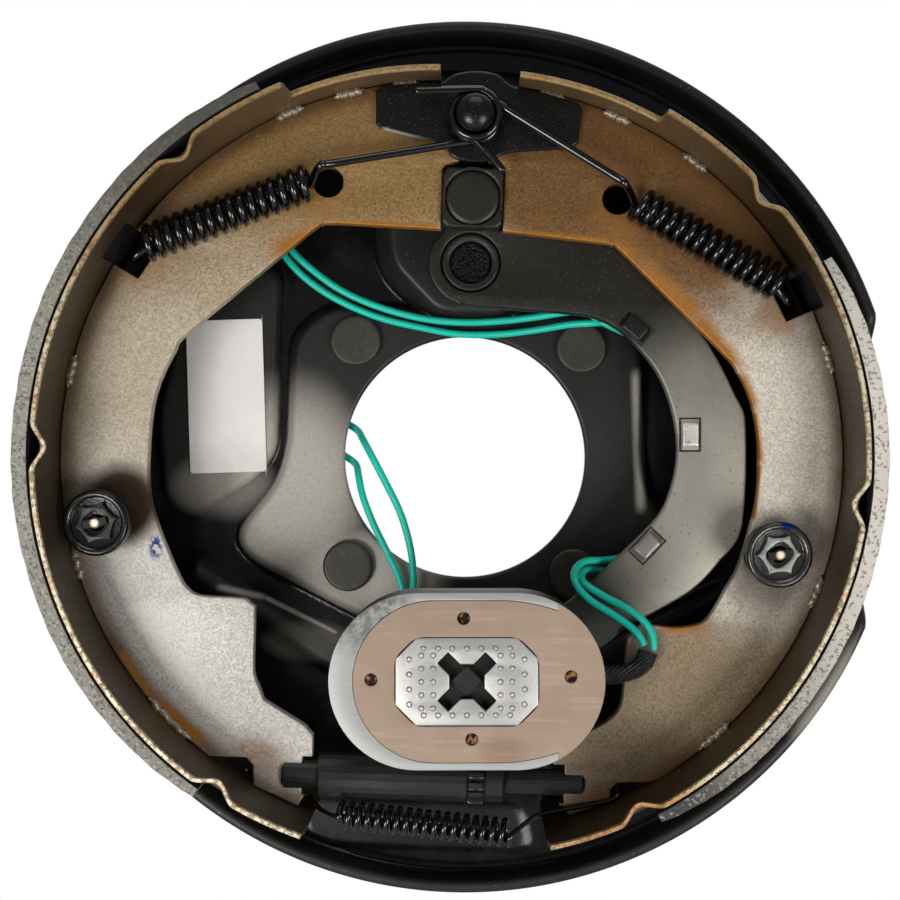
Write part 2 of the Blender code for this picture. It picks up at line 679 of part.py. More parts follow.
def magnet_post_profile():
    """The round shank of the magnet's post, riveted behind the arm."""
    rivet = 2.0 * MM
    step = ARM_FRONT - 3.0 * MM
    narrow = POST_HALF_SIDE
    profile = [(0.0, MAGNET_BACK), (narrow, MAGNET_BACK), (narrow, step)]
    profile += [(POST_SHANK_RADIUS + rivet, step), (POST_SHANK_RADIUS + rivet, ARM_FRONT - TOUCH)]
    profile += [(POST_SHANK_RADIUS, ARM_FRONT - TOUCH), (POST_SHANK_RADIUS, ARM_BACK + TOUCH)]
    profile += [(POST_SHANK_RADIUS + rivet, ARM_BACK + TOUCH)]
    profile += [(POST_SHANK_RADIUS + rivet, ARM_BACK + rivet), (0.0, ARM_BACK + rivet)]
    return profile


def build_pivot(look):
    """The pin that the arm turns on, riveted into the pedestal and sunk into its bush."""
    behind = PEDESTAL_BACK + TOUCH
    rivet = 1.6 * MM
    flange = ARM_BACK + 2 * TOUCH
    profile = [(0.0, ARM_FRONT + 1.6 * MM), (PIVOT_PIN_RADIUS, ARM_FRONT + 1.6 * MM)]
    profile += [(PIVOT_PIN_RADIUS, flange), (PIVOT_FLANGE_RADIUS, flange)]
    profile += [(PIVOT_FLANGE_RADIUS, PEDESTAL_FRONT - TOUCH)]
    profile += [(PIVOT_PIN_RADIUS, PEDESTAL_FRONT - TOUCH), (PIVOT_PIN_RADIUS, behind)]
    profile += [(PIVOT_PIN_RADIUS + rivet, behind), (PIVOT_PIN_RADIUS + rivet, behind + rivet)]
    profile += [(0.0, behind + rivet)]
    lathe("lever_pivot_pin", profile, (0.0, PIVOT_Z), look)


# Magnet

def stadium(half_length, half_width, shift=0.0, steps=9):
    """A straight-sided outline with round ends, about the magnet's centre."""
    straight = half_length - half_width
    points = arc((shift + straight, 0.0), half_width, -90, 90, steps)
    points += arc((shift - straight, 0.0), half_width, 90, 270, steps)
    return points


def face_outline():
    """The friction face: inset on the left, flush with the cup from the step to the right end."""
    inset_width = MAGNET_HALF_WIDTH - FACE_MARGIN
    left = -MAGNET_HALF_LENGTH + FACE_SHIFT + inset_width
    points = arc((left, 0.0), inset_width, 90, 270, 12)
    straight = MAGNET_HALF_LENGTH - MAGNET_HALF_WIDTH
    rise = MAGNET_HALF_WIDTH
    start = math.degrees(math.acos((FACE_STEP_X - straight) / rise))
    edge = rise * math.sin(math.radians(start))
    points += [(FACE_STEP_X - 9 * MM, -inset_width), (FACE_STEP_X, FACE_MARGIN - edge)]
    points += arc((straight, 0.0), rise, -start, start, 12)
    points += [(FACE_STEP_X, edge - FACE_MARGIN), (FACE_STEP_X - 9 * MM, inset_width)]
    return points


def on_magnet(points):
    """An outline about the magnet's centre, tilted and placed."""
    return turned_outline(points, (MAGNET_X, MAGNET_Z), MAGNET_TILT)


def core_outline(margin=0.0):
    """The middle pole: a rectangle with long chamfers."""
    x = CORE_HALF_LENGTH + margin
    z = CORE_HALF_HEIGHT + margin
    cut = CORE_CHAMFER
    points = [(x - cut, -z), (x, cut - z), (x, z - cut), (x - cut, z)]
    return points + [(-a, -b) for a, b in points]


def cross_outline(reach, half_width, centre):
    """An X-shaped hole with a square middle."""
    points = []
    for quarter in range(4):
        angle = 90 * quarter
        corner = [(centre, -half_width), (reach, -half_width), (reach, half_width)]
        corner += [(centre, half_width)]
        points += turned_outline(corner, (0.0, 0.0), angle)
    return turned_outline(points, (0.0, 0.0), 45)


def build_magnet(arm_axis, looks):
    """Cup, coil, middle pole, friction face, screws, spring and retaining bar."""
    axis = axis_empty("magnet_axis", (MAGNET_X, 0.0, MAGNET_Z), arm_axis)
    bore = cross_outline(CROSS_REACH, CROSS_HALF_WIDTH, CROSS_CENTRE)
    places = [(x * MM, z * MM) for x, z in MAGNET_SCREW_PLACES]
    shell = prism("magnet_cup", on_magnet(stadium(MAGNET_HALF_LENGTH, MAGNET_HALF_WIDTH)),
                  MAGNET_FRONT, MAGNET_BACK, looks["cup"], [on_magnet(bore)])
    face_back = MAGNET_FRONT + FACE_THICKNESS
    seat = prism("magnet_face_seat", on_magnet(grown(face_outline(), TOUCH)),
                 MAGNET_FRONT - FACE_THICKNESS, face_back + TOUCH, None)
    boolean(shell, seat, "DIFFERENCE")
    well = stadium(MAGNET_HALF_LENGTH - MAGNET_WALL, MAGNET_HALF_WIDTH - MAGNET_WALL)
    floor = MAGNET_BACK - MAGNET_FLOOR
    boolean(shell, prism("magnet_well", on_magnet(well), MAGNET_FRONT, floor, None), "DIFFERENCE")
    core = prism("magnet_core", on_magnet(core_outline()), MAGNET_FRONT - TOUCH, floor - TOUCH,
                 looks["core"], [on_magnet(bore)])
    screw_holes = [on_magnet(circle(place, MAGNET_SCREW_RADIUS + TOUCH, 12)) for place in places]
    around_core = on_magnet(core_outline(TOUCH))
    face = prism("magnet_friction_face", on_magnet(face_outline()), MAGNET_FRONT - TOUCH / 2,
                 face_back, looks["face"], [around_core] + screw_holes)
    coil_outline = stadium(MAGNET_HALF_LENGTH - MAGNET_WALL - TOUCH,
                           MAGNET_HALF_WIDTH - MAGNET_WALL - TOUCH)
    coil = prism("magnet_coil", on_magnet(coil_outline), face_back + 4 * TOUCH, floor - TOUCH,
                 looks["coil"], [around_core] + screw_holes)
    carry(axis, shell, core, face, coil)
    for index, place in enumerate(places):
        head = [(0.0, MAGNET_FRONT + 1.0 * MM), (MAGNET_SCREW_RADIUS, MAGNET_FRONT + 1.0 * MM)]
        head += [(MAGNET_SCREW_RADIUS, floor - TOUCH), (0.0, floor - TOUCH)]
        spot = on_magnet([place])[0]
        carry(axis, lathe(f"magnet_screw_{index + 1}", head, spot, looks["screw"], steps=10))
    first = MAGNET_BACK + MAGNET_WIRE + TOUCH
    last = ARM_FRONT - MAGNET_WIRE - TOUCH
    helix = []
    total = int(MAGNET_SPRING_TURNS * 10)
    for step in range(total + 1):
        angle = math.tau * step / 10
        helix.append((MAGNET_X + MAGNET_COIL_RADIUS * math.cos(angle),
                      first + (last - first) * step / total,
                      MAGNET_Z + MAGNET_COIL_RADIUS * math.sin(angle)))
    carry(arm_axis, wire("magnet_spring", helix, MAGNET_WIRE, looks["spring"]))
    return axis


# Shoes

def table_columns(shoe):
    """Angles for the table's grid: even steps, closer at each nib, and the step to the neck."""
    low, high = shoe["table"]
    angles = {low, high, shoe["neck"]}
    reach = math.degrees(NIB_HALF_LENGTH / shoe["radius"])
    count = max(4, round((high - low) / 6))
    for step in range(count + 1):
        angles.add(low + (high - low) * step / count)
    for nib in shoe["nibs"]:
        angles = {angle for angle in angles if abs(angle - nib) > reach * 1.2 or angle in (low, high)}
        for part in (-1.0, -0.5, 0.0, 0.5, 1.0):
            angles.add(nib + reach * part)
    near = high if shoe["neck"] > high else low
    for share in (0.03, 0.25, 0.5, 0.75):
        angles.add(near + (shoe["neck"] - near) * share)
    return sorted(angles)


def nib_push(shoe, angle, along):
    """How far a nib pushes the rolled edge inwards at an angle and a distance from the edge."""
    reach = math.degrees(NIB_HALF_LENGTH / shoe["radius"])
    push = 0.0
    for nib in shoe["nibs"]:
        away = abs(angle - nib) / reach
        if away < 1.0 and along < NIB_REACH:
            push = NIB_DEPTH * (0.5 + 0.5 * math.cos(math.pi * away)) * (1 - along / NIB_REACH)
    return push


def build_table(name, shoe, look):
    """The rolled rim of a shoe: full width under the lining, narrow near the anchor."""
    verts = []
    shares = (0.0, NIB_REACH / SHOE_WIDTH, 0.5, 1 - NIB_REACH / SHOE_WIDTH, 1.0)
    columns = table_columns(shoe)
    for angle in columns:
        wide = shoe["table"][0] <= angle <= shoe["table"][1]
        width = SHOE_WIDTH if wide else TABLE_NECK_WIDTH
        for radius in (shoe["radius"], shoe["radius"] - TABLE_THICKNESS):
            for share in shares:
                along = min(share, 1 - share) * SHOE_WIDTH
                away = radius - (nib_push(shoe, angle, along) if wide else 0.0)
                x, z = arc(shoe["centre"], away, angle, angle, 1)[0]
                verts.append((x, WEB_MIDDLE + width * (share - 0.5), z))
    rows = len(shares)
    ring = list(range(rows)) + list(range(2 * rows - 1, rows - 1, -1))
    faces = []
    for column in range(len(columns) - 1):
        base = column * 2 * rows
        for index, row in enumerate(ring):
            after = ring[(index + 1) % len(ring)]
            faces.append((base + row, base + after, base + 2 * rows + after, base + 2 * rows + row))
    for base in (0, (len(columns) - 1) * 2 * rows):
        for row in range(rows - 1):
            faces.append((base + row, base + row + 1, base + rows + row + 1, base + rows + row))
    table = finish(name, mesh_from(name, verts, faces), look)
    low, high = shoe["hook"]
    window = arc(shoe["centre"], shoe["radius"] + TABLE_THICKNESS, low, high, 1)
    window += arc(shoe["centre"], shoe["radius"] - 2 * TABLE_THICKNESS, high, low, 1)
    half = TABLE_NECK_WIDTH / 2
    boolean(table, prism(name + "_window", window, WEB_MIDDLE - half, WEB_MIDDLE + half, None),
            "DIFFERENCE")
    return table


def build_lining(name, shoe, look):
    """The bonded lining: an arc block whose ends thin out."""
    inner = shoe["radius"] + TOUCH
    outer = inner + LINING_THICKNESS
    low, high = shoe["lining"]
    steps = 18
    points = []
    for step in range(steps + 1):
        share = step / steps
        taper = LINING_END_TAPER * abs(2 * share - 1) ** 6
        angle = low + (high - low) * share
        points += arc(shoe["centre"], outer - taper, angle, angle, 1)[:1]
    points += arc(shoe["centre"], inner, high, low, steps)
    return prism(name, points, SHOE_FRONT, SHOE_BACK, look)


def web_rim(shoe, start, end):
    """A run of the web's outer edge, which follows the inside of the table."""
    steps = max(1, round(abs(end - start) / 6))
    return arc(shoe["centre"], shoe["radius"] - TABLE_THICKNESS - TOUCH, start, end, steps)


def hook_notch(shoe, first, last):
    """The inner corners of the notch in the rim where the retractor spring hooks in."""
    floor = shoe["radius"] - TABLE_THICKNESS - HOOK_DEPTH
    return arc(shoe["centre"], floor, first, last, 1)


def anchor_notch(side, start, end):
    """The round notch in the top end of a web that bears on the anchor post."""
    points = arc((0.0, ANCHOR_Z), ANCHOR_RADIUS + TOUCH, start, end, 6)
    if side > 0:
        return points
    return [(-x, z) for x, z in points]


def adjuster_notch(side, floor, nose):
    """The notch at the lower end of a web, with the fork's slot on its floor."""
    half = FORK_RADIUS + 1.1 * MM
    points = [(nose, ADJUSTER_Z + half), (floor, ADJUSTER_Z + half), (floor, ADJUSTER_Z - half)]
    return points + [(nose + side * 2 * MM, ADJUSTER_Z - half)]


def cam_edge(side):
    """The straight edge of a web's top end that lies against the cam block."""
    x = side * (CAM_HALF_WIDTH + TOUCH)
    top = PIVOT_Z + CAM_RISE + CAM_HALF_WIDTH
    return [(side * 4.4 * MM, top + 2.4 * MM), (side * 8.6 * MM, top + 1.0 * MM), (x, top - 1.0 * MM),
            (x, PIVOT_Z + CAM_RISE - CAM_HALF_WIDTH - 0.4 * MM)]


def secondary_web_outline(shoe):
    """The left web: anchor notch, cam edge, inner sweep, lower nose, adjuster notch and rim."""
    points = anchor_notch(-1, 52, -52) + cam_edge(-1)
    sweep = [(-41, 70.2), (-46, 69.4), (-50, 66.8), (-84.5, 36.4), (-89.5, 30), (-95.2, 16)]
    sweep += [(-96.7, -1), (-95.9, -15), (-91.9, -27), (-86.3, -39), (-83.5, -43), (-79, -45.2)]
    sweep += [(-66, -45.6), (-62.6, -48), (-62.3, -68), (-59, -76.4), (-46.5, -83.6)]
    sweep += [(-43.6, -86.6)]
    points += scaled(sweep)
    floor = TUBE_LEFT - FORK_LENGTH + SLOT_DEPTH
    points += adjuster_notch(-1, floor - TOUCH, -43.4 * MM)
    points += web_rim(shoe, 250.4, 242.9) + scaled([(-61.5, -96.2), (-63.6, -94.1)])
    low, high = shoe["hook"]
    points += web_rim(shoe, 234.8, high) + hook_notch(shoe, high, low)
    return points + web_rim(shoe, low, shoe["neck"] + 3)


def primary_web_outline(shoe):
    """The right web, in the same order as the left one."""
    points = anchor_notch(1, 52, -52) + cam_edge(1)
    sweep = [(38, 67), (43.5, 66), (47, 63.6), (77, 35.5), (82.4, 29.5), (85.8, 23.6), (88.2, 17)]
    sweep += [(89.8, 9), (90.3, 0.7), (90.2, -8.3), (88.8, -16.5), (85.2, -30.3), (81.5, -37.6)]
    sweep += [(77.3, -45.5), (73.6, -48.8), (66, -50.1), (56, -49.6), (51.6, -54)]
    sweep += [(50.9, -72), (48, -78), (42, -82), (31.5, -86), (30.2, -88)]
    points += scaled(sweep)
    floor = SOCKET_RIGHT - SLOT_DEPTH
    points += adjuster_notch(1, floor + TOUCH, 30.3 * MM)
    points += web_rim(shoe, -72.7, -66.3) + scaled([(48.1, -100.2), (50.2, -98.1)])
    low, high = shoe["hook"]
    points += web_rim(shoe, -58.9, low) + hook_notch(shoe, low, high)
    return points + web_rim(shoe, high, shoe["neck"] - 3)


def build_shoe(name, outline, hold_place, hole_place, looks):
    """The table, the web and the lining of one shoe."""
    shoe = SHOES[name]
    holes = [circle(hold_place, HOLD_HOLE_RADIUS, 16), circle(hole_place, WEB_HOLE_RADIUS, 16)]
    table = build_table(name + "_shoe_table", shoe, looks["table"])
    web = prism(name + "_shoe_web", outline(shoe), WEB_FRONT, WEB_BACK, looks["web"], holes)
    return table, web, build_lining(name + "_lining", shoe, looks["lining"])


def build_secondary_shoe(looks):
    """Long rear shoe, which turns about the anchor post as the adjuster spreads it."""
    axis = axis_empty("secondary_axis", (0.0, 0.0, ANCHOR_Z))
    carry(axis, *build_shoe("secondary", secondary_web_outline, SECONDARY_HOLD_PLACE,
                            SECONDARY_WEB_HOLE, looks))
    return axis


def build_primary_shoe(looks):
    """Short front shoe: the cam block swings it out about its lower end."""
    turn = axis_empty("primary_anchor_axis", (0.0, 0.0, ANCHOR_Z))
    foot = (SOCKET_RIGHT - SLOT_DEPTH, 0.0, ADJUSTER_Z)
    axis = axis_empty("primary_foot_axis", foot, turn)
    carry(axis, *build_shoe("primary", primary_web_outline, PRIMARY_HOLD_PLACE, PRIMARY_WEB_HOLE,
                            looks))
    return turn


# Springs

def coil(start, end, radius, pitch, steps, first_angle):
    """Centre line of a coil from start to end, as points."""
    start = Vector(start)
    along = Vector(end) - start
    turns = round(along.length / pitch)
    forward = along.normalized()
    side = forward.cross(Vector((0.0, 1.0, 0.0))).normalized()
    front = side.cross(forward)
    total = turns * steps
    points = []
    for step in range(total + 1):
        angle = math.tau * step / steps + math.radians(first_angle)
        spot = start + along * (step / total)
        points.append(spot + side * radius * math.cos(angle) + front * radius * math.sin(angle))
    return points


def eye(start_angle, turn, depth, next_depth, steps=12):
    """One full loop round the neck of the anchor post, moving forwards as it goes."""
    points = []
    for step in range(steps + 1):
        angle = math.radians(start_angle + turn * step / steps)
        points.append(Vector((EYE_RADIUS * math.cos(angle),
                              depth + (next_depth - depth) * step / steps,
                              ANCHOR_Z + EYE_RADIUS * math.sin(angle))))
    return points


def retractor_path(hook, start, end, knee, loop, tail):
    """Hook in the web's slot, coil, straight run to the anchor post, loop and tail."""
    turns = coil(start, end, RETRACTOR_RADIUS, RETRACTOR_PITCH, 8, 90)
    points = [Vector(point) for point in hook] + turns
    points += [Vector(point) for point in knee] + loop + [Vector(tail)]
    return points


def build_retractors(axes, look):
    """The two shoe return springs, hooked in the webs and looped over the anchor post."""
    depth = COIL_DEPTH
    gap = 2 * RETRACTOR_WIRE + TOUCH
    first = GUIDE_FRONT - RETRACTOR_WIRE - TOUCH
    slot = (-102.0 * MM, 58.4 * MM)
    behind = WEB_BACK + 0.4 * MM
    hook = [(slot[0] - 1 * MM, behind, slot[1] - 1 * MM), (slot[0] - 1 * MM, WEB_MIDDLE, slot[1] - 1 * MM)]
    hook += [(slot[0] - 0.6 * MM, WEB_FRONT - 0.6 * MM, slot[1] - 0.6 * MM)]
    knee = [(-46 * MM, depth - 3.4 * MM, 85.6 * MM), (-40 * MM, depth - 2.2 * MM, 87.2 * MM)]
    loop = eye(-99, 372, first, first - gap)
    tail = (8.6 * MM, first - gap - 0.4 * MM, 86.8 * MM)
    path = retractor_path(hook, (-98.4 * MM, depth, 60.8 * MM), (-49.4 * MM, depth, 81.4 * MM), knee,
                          loop, tail)
    carry(axes[0], wire("secondary_retractor_spring", path, RETRACTOR_WIRE, look))
    second = first - 2 * gap - TOUCH
    slot = (96.4 * MM, 51.4 * MM)
    hook = [(slot[0] + 1 * MM, behind, slot[1] - 1 * MM), (slot[0] + 1 * MM, WEB_MIDDLE, slot[1] - 1 * MM)]
    hook += [(slot[0] + 0.6 * MM, WEB_FRONT - 0.6 * MM, slot[1] - 0.6 * MM)]
    knee = [(45.6 * MM, depth - 3.4 * MM, 83.2 * MM), (40.8 * MM, depth - 3.2 * MM, 86.4 * MM)]
    loop = eye(38, 415, second, second - gap)
    tail = (-17.6 * MM, second - gap - 0.3 * MM, 108.4 * MM)
    path = retractor_path(hook, (94.0 * MM, depth, 54.8 * MM), (49.6 * MM, depth, 78.2 * MM), knee,
                          loop, tail)
    carry(axes[1], wire("primary_retractor_spring", path, RETRACTOR_WIRE, look))


def build_adjuster_spring(look):
    """The spring under the adjuster, hooked into the window of each web."""
    depth = WEB_FRONT - 2.0 * MM
    behind = WEB_BACK + ADJUSTER_WIRE + TOUCH
    low = ADJUSTER_Z - 7.6 * MM
    hook = [(-63.6 * MM, WEB_FRONT, -97.8 * MM), (-63.6 * MM, WEB_BACK - 0.4 * MM, -98.2 * MM)]
    hook += [(-61.2 * MM, behind, -100.6 * MM), (-50 * MM, behind, -104.4 * MM)]
    hook += [(-44.6 * MM, behind + 0.2 * MM, low + 0.6 * MM), (-42.4 * MM, WEB_MIDDLE, low - 0.8 * MM)]
    hook += [(-38.8 * MM, depth, low - 2.2 * MM)]
    turns = coil((-34.4 * MM, depth, -110.0 * MM), (18 * MM, depth, -114.0 * MM),
                 ADJUSTER_COIL_RADIUS, ADJUSTER_PITCH, 7, -90)
    end = [(22.5 * MM, depth - 0.4 * MM, -110.6 * MM), (28 * MM, depth + 0.6 * MM, -107.8 * MM)]
    end += [(46 * MM, WEB_FRONT - ADJUSTER_WIRE - TOUCH, -103.8 * MM)]
    end += [(50.6 * MM, WEB_FRONT - 0.2 * MM, -101.6 * MM), (51.0 * MM, WEB_BACK, -100.8 * MM)]
    wire("adjuster_spring", [Vector(point) for point in hook] + turns + [Vector(point) for point in end],
         ADJUSTER_WIRE, look)


# Adjuster

def fork_slot(name, centre_x, half_length):
    """A helper that cuts the slot for a web across the end of the adjuster."""
    height = 3 * TUBE_RADIUS
    half = WEB_THICKNESS / 2 + SLIDE
    box = [(centre_x - half_length, ADJUSTER_Z - height), (centre_x + half_length, ADJUSTER_Z - height)]
    box += [(centre_x + half_length, ADJUSTER_Z + height), (centre_x - half_length, ADJUSTER_Z + height)]
    return prism(name, box, WEB_MIDDLE - half, WEB_MIDDLE + half, None)


def build_adjuster(look, wheel_look):
    """Forked nut on the left, screw with its star wheel, forked socket on the right."""
    place = (WEB_MIDDLE, ADJUSTER_Z)
    left = TUBE_LEFT - FORK_LENGTH
    chamfer = 0.8 * MM
    bore = SCREW_RADIUS + TOUCH
    bottom = TUBE_RIGHT - SCREW_DEPTH - 2 * TOUCH
    nut_axis = axis_empty("adjuster_nut_axis", (left, *place))
    profile = [(0.0, left), (FORK_RADIUS - chamfer, left), (FORK_RADIUS, left + chamfer)]
    profile += [(FORK_RADIUS, TUBE_LEFT), (TUBE_RADIUS - chamfer, TUBE_LEFT)]
    profile += [(TUBE_RADIUS, TUBE_LEFT + chamfer), (TUBE_RADIUS, TUBE_RIGHT), (bore, TUBE_RIGHT)]
    profile += [(bore, bottom), (0.0, bottom)]
    nut = lathe("adjuster_nut", profile, place, look, axis="X")
    boolean(nut, fork_slot("nut_slot", left, SLOT_DEPTH), "DIFFERENCE")
    carry(nut_axis, nut)
    socket_axis = axis_empty("adjuster_socket_axis", (SOCKET_RIGHT, *place))
    wheel_axis = axis_empty("star_wheel_axis", (TUBE_RIGHT, *place), socket_axis)
    wheel_left = TUBE_RIGHT + SLIDE
    tooth = []
    for step in range(STAR_TEETH * 4):
        radius = STAR_RADIUS if step % 4 < 2 else STAR_ROOT_RADIUS
        angle = math.tau * (step + 0.5) / (STAR_TEETH * 4)
        tooth.append((radius * math.cos(angle), radius * math.sin(angle)))
    wheel = bpy.data.objects.new("adjuster_screw", star_mesh(tooth, wheel_left, place))
    bpy.context.scene.collection.objects.link(wheel)
    wheel.data.materials.append(wheel_look)
    tip = COLLAR_RIGHT + 9.0 * MM
    shank = [(0.0, bottom + 2 * TOUCH), (SCREW_RADIUS, bottom + 2 * TOUCH)]
    shank += [(SCREW_RADIUS, wheel_left + STAR_WIDTH / 2), (COLLAR_RADIUS, wheel_left + STAR_WIDTH / 2)]
    shank += [(COLLAR_RADIUS, COLLAR_RIGHT), (PIN_RADIUS, COLLAR_RIGHT), (PIN_RADIUS, tip), (0.0, tip)]
    boolean(wheel, lathe("screw_shank", shank, place, None, axis="X"), "UNION")
    carry(wheel_axis, wheel)
    near = COLLAR_RIGHT + TOUCH
    hole = PIN_RADIUS + TOUCH
    profile = [(0.0, tip + TOUCH), (hole, tip + TOUCH), (hole, near), (SOCKET_RADIUS, near)]
    profile += [(SOCKET_RADIUS, SOCKET_RIGHT - chamfer), (SOCKET_RADIUS - chamfer, SOCKET_RIGHT)]
    profile += [(0.0, SOCKET_RIGHT)]
    socket = lathe("adjuster_socket", profile, place, look, axis="X")
    boolean(socket, fork_slot("socket_slot", SOCKET_RIGHT, SLOT_DEPTH), "DIFFERENCE")
    carry(socket_axis, socket)


def star_mesh(tooth, left, place):
    """The toothed rim, a prism along X."""
    count = len(tooth)
    points = []
    for x in (left, left + STAR_WIDTH):
        points += [(x, place[0] + a, place[1] + b) for a, b in tooth]
    faces = [tuple(range(count)), tuple(reversed(range(count, 2 * count)))]
    for index in range(count):
        after = (index + 1) % count
        faces.append((index, after, after + count, index + count))
    return mesh_from("adjuster_screw", points, faces)


# Hold-downs

def build_hold_down(name, place, looks):
    """Pin through the plate and the web, spring on the web and a pressed cup under the pin's tab."""
    front = HOLD_CUP_FRONT
    head = PLATE_BACK + TOUCH
    tab_back = front - TOUCH
    profile = [(0.0, tab_back - 0.2 * MM), (HOLD_PIN_RADIUS, tab_back - 0.2 * MM)]
    profile += [(HOLD_PIN_RADIUS, head), (HOLD_PIN_RADIUS * 2.2, head)]
    profile += [(HOLD_PIN_RADIUS * 2.2, head + 1.0 * MM), (0.0, head + 1.6 * MM)]
    pin = lathe(name + "_hold_down_pin", profile, place, looks["pin"], steps=14)
    tab = turned_outline(slot_outline((0.0, 0.0), HOLD_TAB_HALF, 0.5 * MM), place, 12)
    boolean(pin, prism(name + "_pin_tab", tab, tab_back - 1.2 * MM, tab_back, None), "UNION")
    start = WEB_FRONT - HOLD_WIRE - TOUCH
    end = front + HOLD_CUP_WALL + HOLD_WIRE + TOUCH
    total = int(HOLD_TURNS * 10)
    helix = []
    for step in range(total + 1):
        angle = math.tau * step / 10
        helix.append((place[0] + HOLD_COIL_RADIUS * math.cos(angle),
                      start + (end - start) * step / total,
                      place[1] + HOLD_COIL_RADIUS * math.sin(angle)))
    wire(name + "_hold_down_spring", helix, HOLD_WIRE, looks["spring"])
    hole = HOLD_PIN_RADIUS + SLIDE
    wall = HOLD_CUP_WALL
    outer = HOLD_CUP_RADIUS
    back = front + HOLD_CUP_HEIGHT
    profile = [(hole, front), (outer * 0.72, front), (outer * 0.78, front - wall * 0.6)]
    profile += [(outer - wall, front - wall * 0.6), (outer, front + wall * 0.6), (outer, back)]
    profile += [(outer - wall, back), (outer - wall, front + wall), (hole, front + wall)]
    cup = lathe(name + "_hold_down_cup", profile, place, looks["cup"], closed=True)
    carry(axis_empty(name + "_cup_axis", (place[0], front, place[1])), cup)


# Label, plugs, grommet and leads

def build_label(look):
    """A bare adhesive label on the raised pad."""
    outline = turned_outline(slot_outline((0.0, 0.0), LABEL_HALF, 1.6 * MM), LABEL_CENTRE, LABEL_TILT)
    back = LABEL_PAD_FRONT - TOUCH
    prism("label", outline, back - LABEL_THICKNESS, back, look)


def build_plugs(look):
    """Rubber plugs in the two adjusting holes."""
    for name, side in (("left", -1), ("right", 1)):
        centre = (side * ADJUSTER_HOLE_X, ADJUSTER_Z)
        half = (ADJUSTER_HOLE_HALF[0] - TOUCH, ADJUSTER_HOLE_HALF[1] - TOUCH)
        flange = (ADJUSTER_HOLE_HALF[0] + 2 * MM, ADJUSTER_HOLE_HALF[1] + 2 * MM)
        plug = prism(f"dust_plug_{name}", slot_outline(centre, half, 2.7 * MM), PLATE_FRONT,
                     PLATE_BACK + 1.0 * MM, look)
        outside = prism(f"dust_plug_{name}_flange", slot_outline(centre, flange, 4 * MM),
                        PLATE_BACK + TOUCH, PLATE_BACK + 1.8 * MM, None)
        boolean(plug, outside, "UNION")


def build_grommet(look):
    """The rubber ring in the lead hole: two lips and a waist."""
    waist = GROMMET_HOLE_RADIUS - TOUCH
    lip = GROMMET_HOLE_RADIUS + GROMMET_LIP
    front = PLATE_FRONT - TOUCH
    back = PLATE_BACK + TOUCH
    profile = [(GROMMET_BORE, front - 1.5 * MM), (lip - 0.6 * MM, front - 1.5 * MM)]
    profile += [(lip, front - 0.8 * MM), (lip, front), (waist, front), (waist, back), (lip, back)]
    profile += [(lip, back + 0.8 * MM), (lip - 0.6 * MM, back + 1.5 * MM)]
    profile += [(GROMMET_BORE, back + 1.5 * MM)]
    lathe("lead_grommet", profile, GROMMET_PLACE, look, steps=16, closed=True)


# The routes of the two leads, in millimetres, as (x, y, z)
PLATE_LEAD_1 = [
    (40.6, -18.0, 44.6), (36.5, -17.4, 47.0), (31, -14.5, 47.0), (22, -10.5, 45.6), (10, -8.6, 44.0),
    (-3, -8.2, 43.2), (-16, -8.0, 44.2), (-30, -7.6, 47.6), (-42, -7.0, 52.6), (-52, -6.4, 59.4),
    (-58.8, -5.8, 65.6), (-64, -5.0, 72.6), (-66.4, -1.6, 76.4), (-66.3, 4.0, 77.8),
    (-66.2, 10.2, 78.2), (-68.2, 14.0, 76.0), (-72.2, 13.0, 67), (-72.8, 11.2, 53), (-68.6, 10.0, 38),
    (-60.6, 9.6, 26), (-52, 7.4, 17.5), (-44.4, 3.6, 12.2), (-38.8, 3.0, 9.6), (-35.2, 0.8, 7.4),
    (-33.4, -3.6, 5.0), (-30.2, -8.2, 0), (-25.4, -9.6, -8.3), (-20, -9.6, -18.5), (-16.6, -9.2, -28.9),
    (-15.2, -8.6, -38), (-15.4, -8.0, -46), (-17, -7.4, -54)]
PLATE_LEAD_2 = [
    (44.2, -15.5, 44.6), (41.2, -15.2, 43.9), (37.5, -14.9, 43.6), (31.5, -12.4, 43.2),
    (22, -8.2, 41.6), (10, -6.0, 40.0), (-3, -5.6, 39.6), (-16, -5.4, 41.4), (-30, -5.2, 44.4),
    (-43.5, -5.0, 49.8), (-54, -4.6, 56.6), (-61.4, -4.2, 64.2), (-66.6, -3.6, 71.0),
    (-68.7, -1.0, 75.0), (-68.9, 4.0, 75.3), (-68.9, 8.2, 75.2), (-71.2, 10.8, 73.2), (-76.8, 9.2, 63),
    (-76.4, 8.0, 48), (-72, 7.8, 33), (-64, 8.2, 20), (-56.6, 7.6, 11.4), (-50.4, 5.6, 6.4),
    (-45, 3.4, 2.6), (-39.6, 2.6, -0.8), (-35.6, 0.6, -3.4), (-34.2, -4.0, -7.0), (-32.4, -6.6, -13.6),
    (-28.6, -6.8, -22.6), (-23.6, -6.8, -32), (-19.6, -6.6, -40), (-18.6, -6.4, -46),
    (-20.6, -6.2, -54)]
ARM_LEAD_1 = [
    (41.6, -18.1, 43.9), (45.6, -18.2, 42.2), (53.8, -18.2, 38.0), (61.6, -18.2, 28.8),
    (66.8, -18.2, 17), (69.2, -18.2, 4), (67.6, -18.2, -9), (62.8, -18.2, -19.6), (56.6, -18.2, -26.4),
    (50.6, -18.5, -29.8), (44.8, -19.6, -30.9), (38.8, -22.2, -31.2), (35.4, -25.6, -33.8),
    (35.6, -29.6, -38.0), (40.2, -31.8, -42.6), (46.2, -33.0, -46.0), (51.6, -34.0, -49.4),
    (54.8, -34.8, -52.2), (56.4, -34.8, -55.2)]
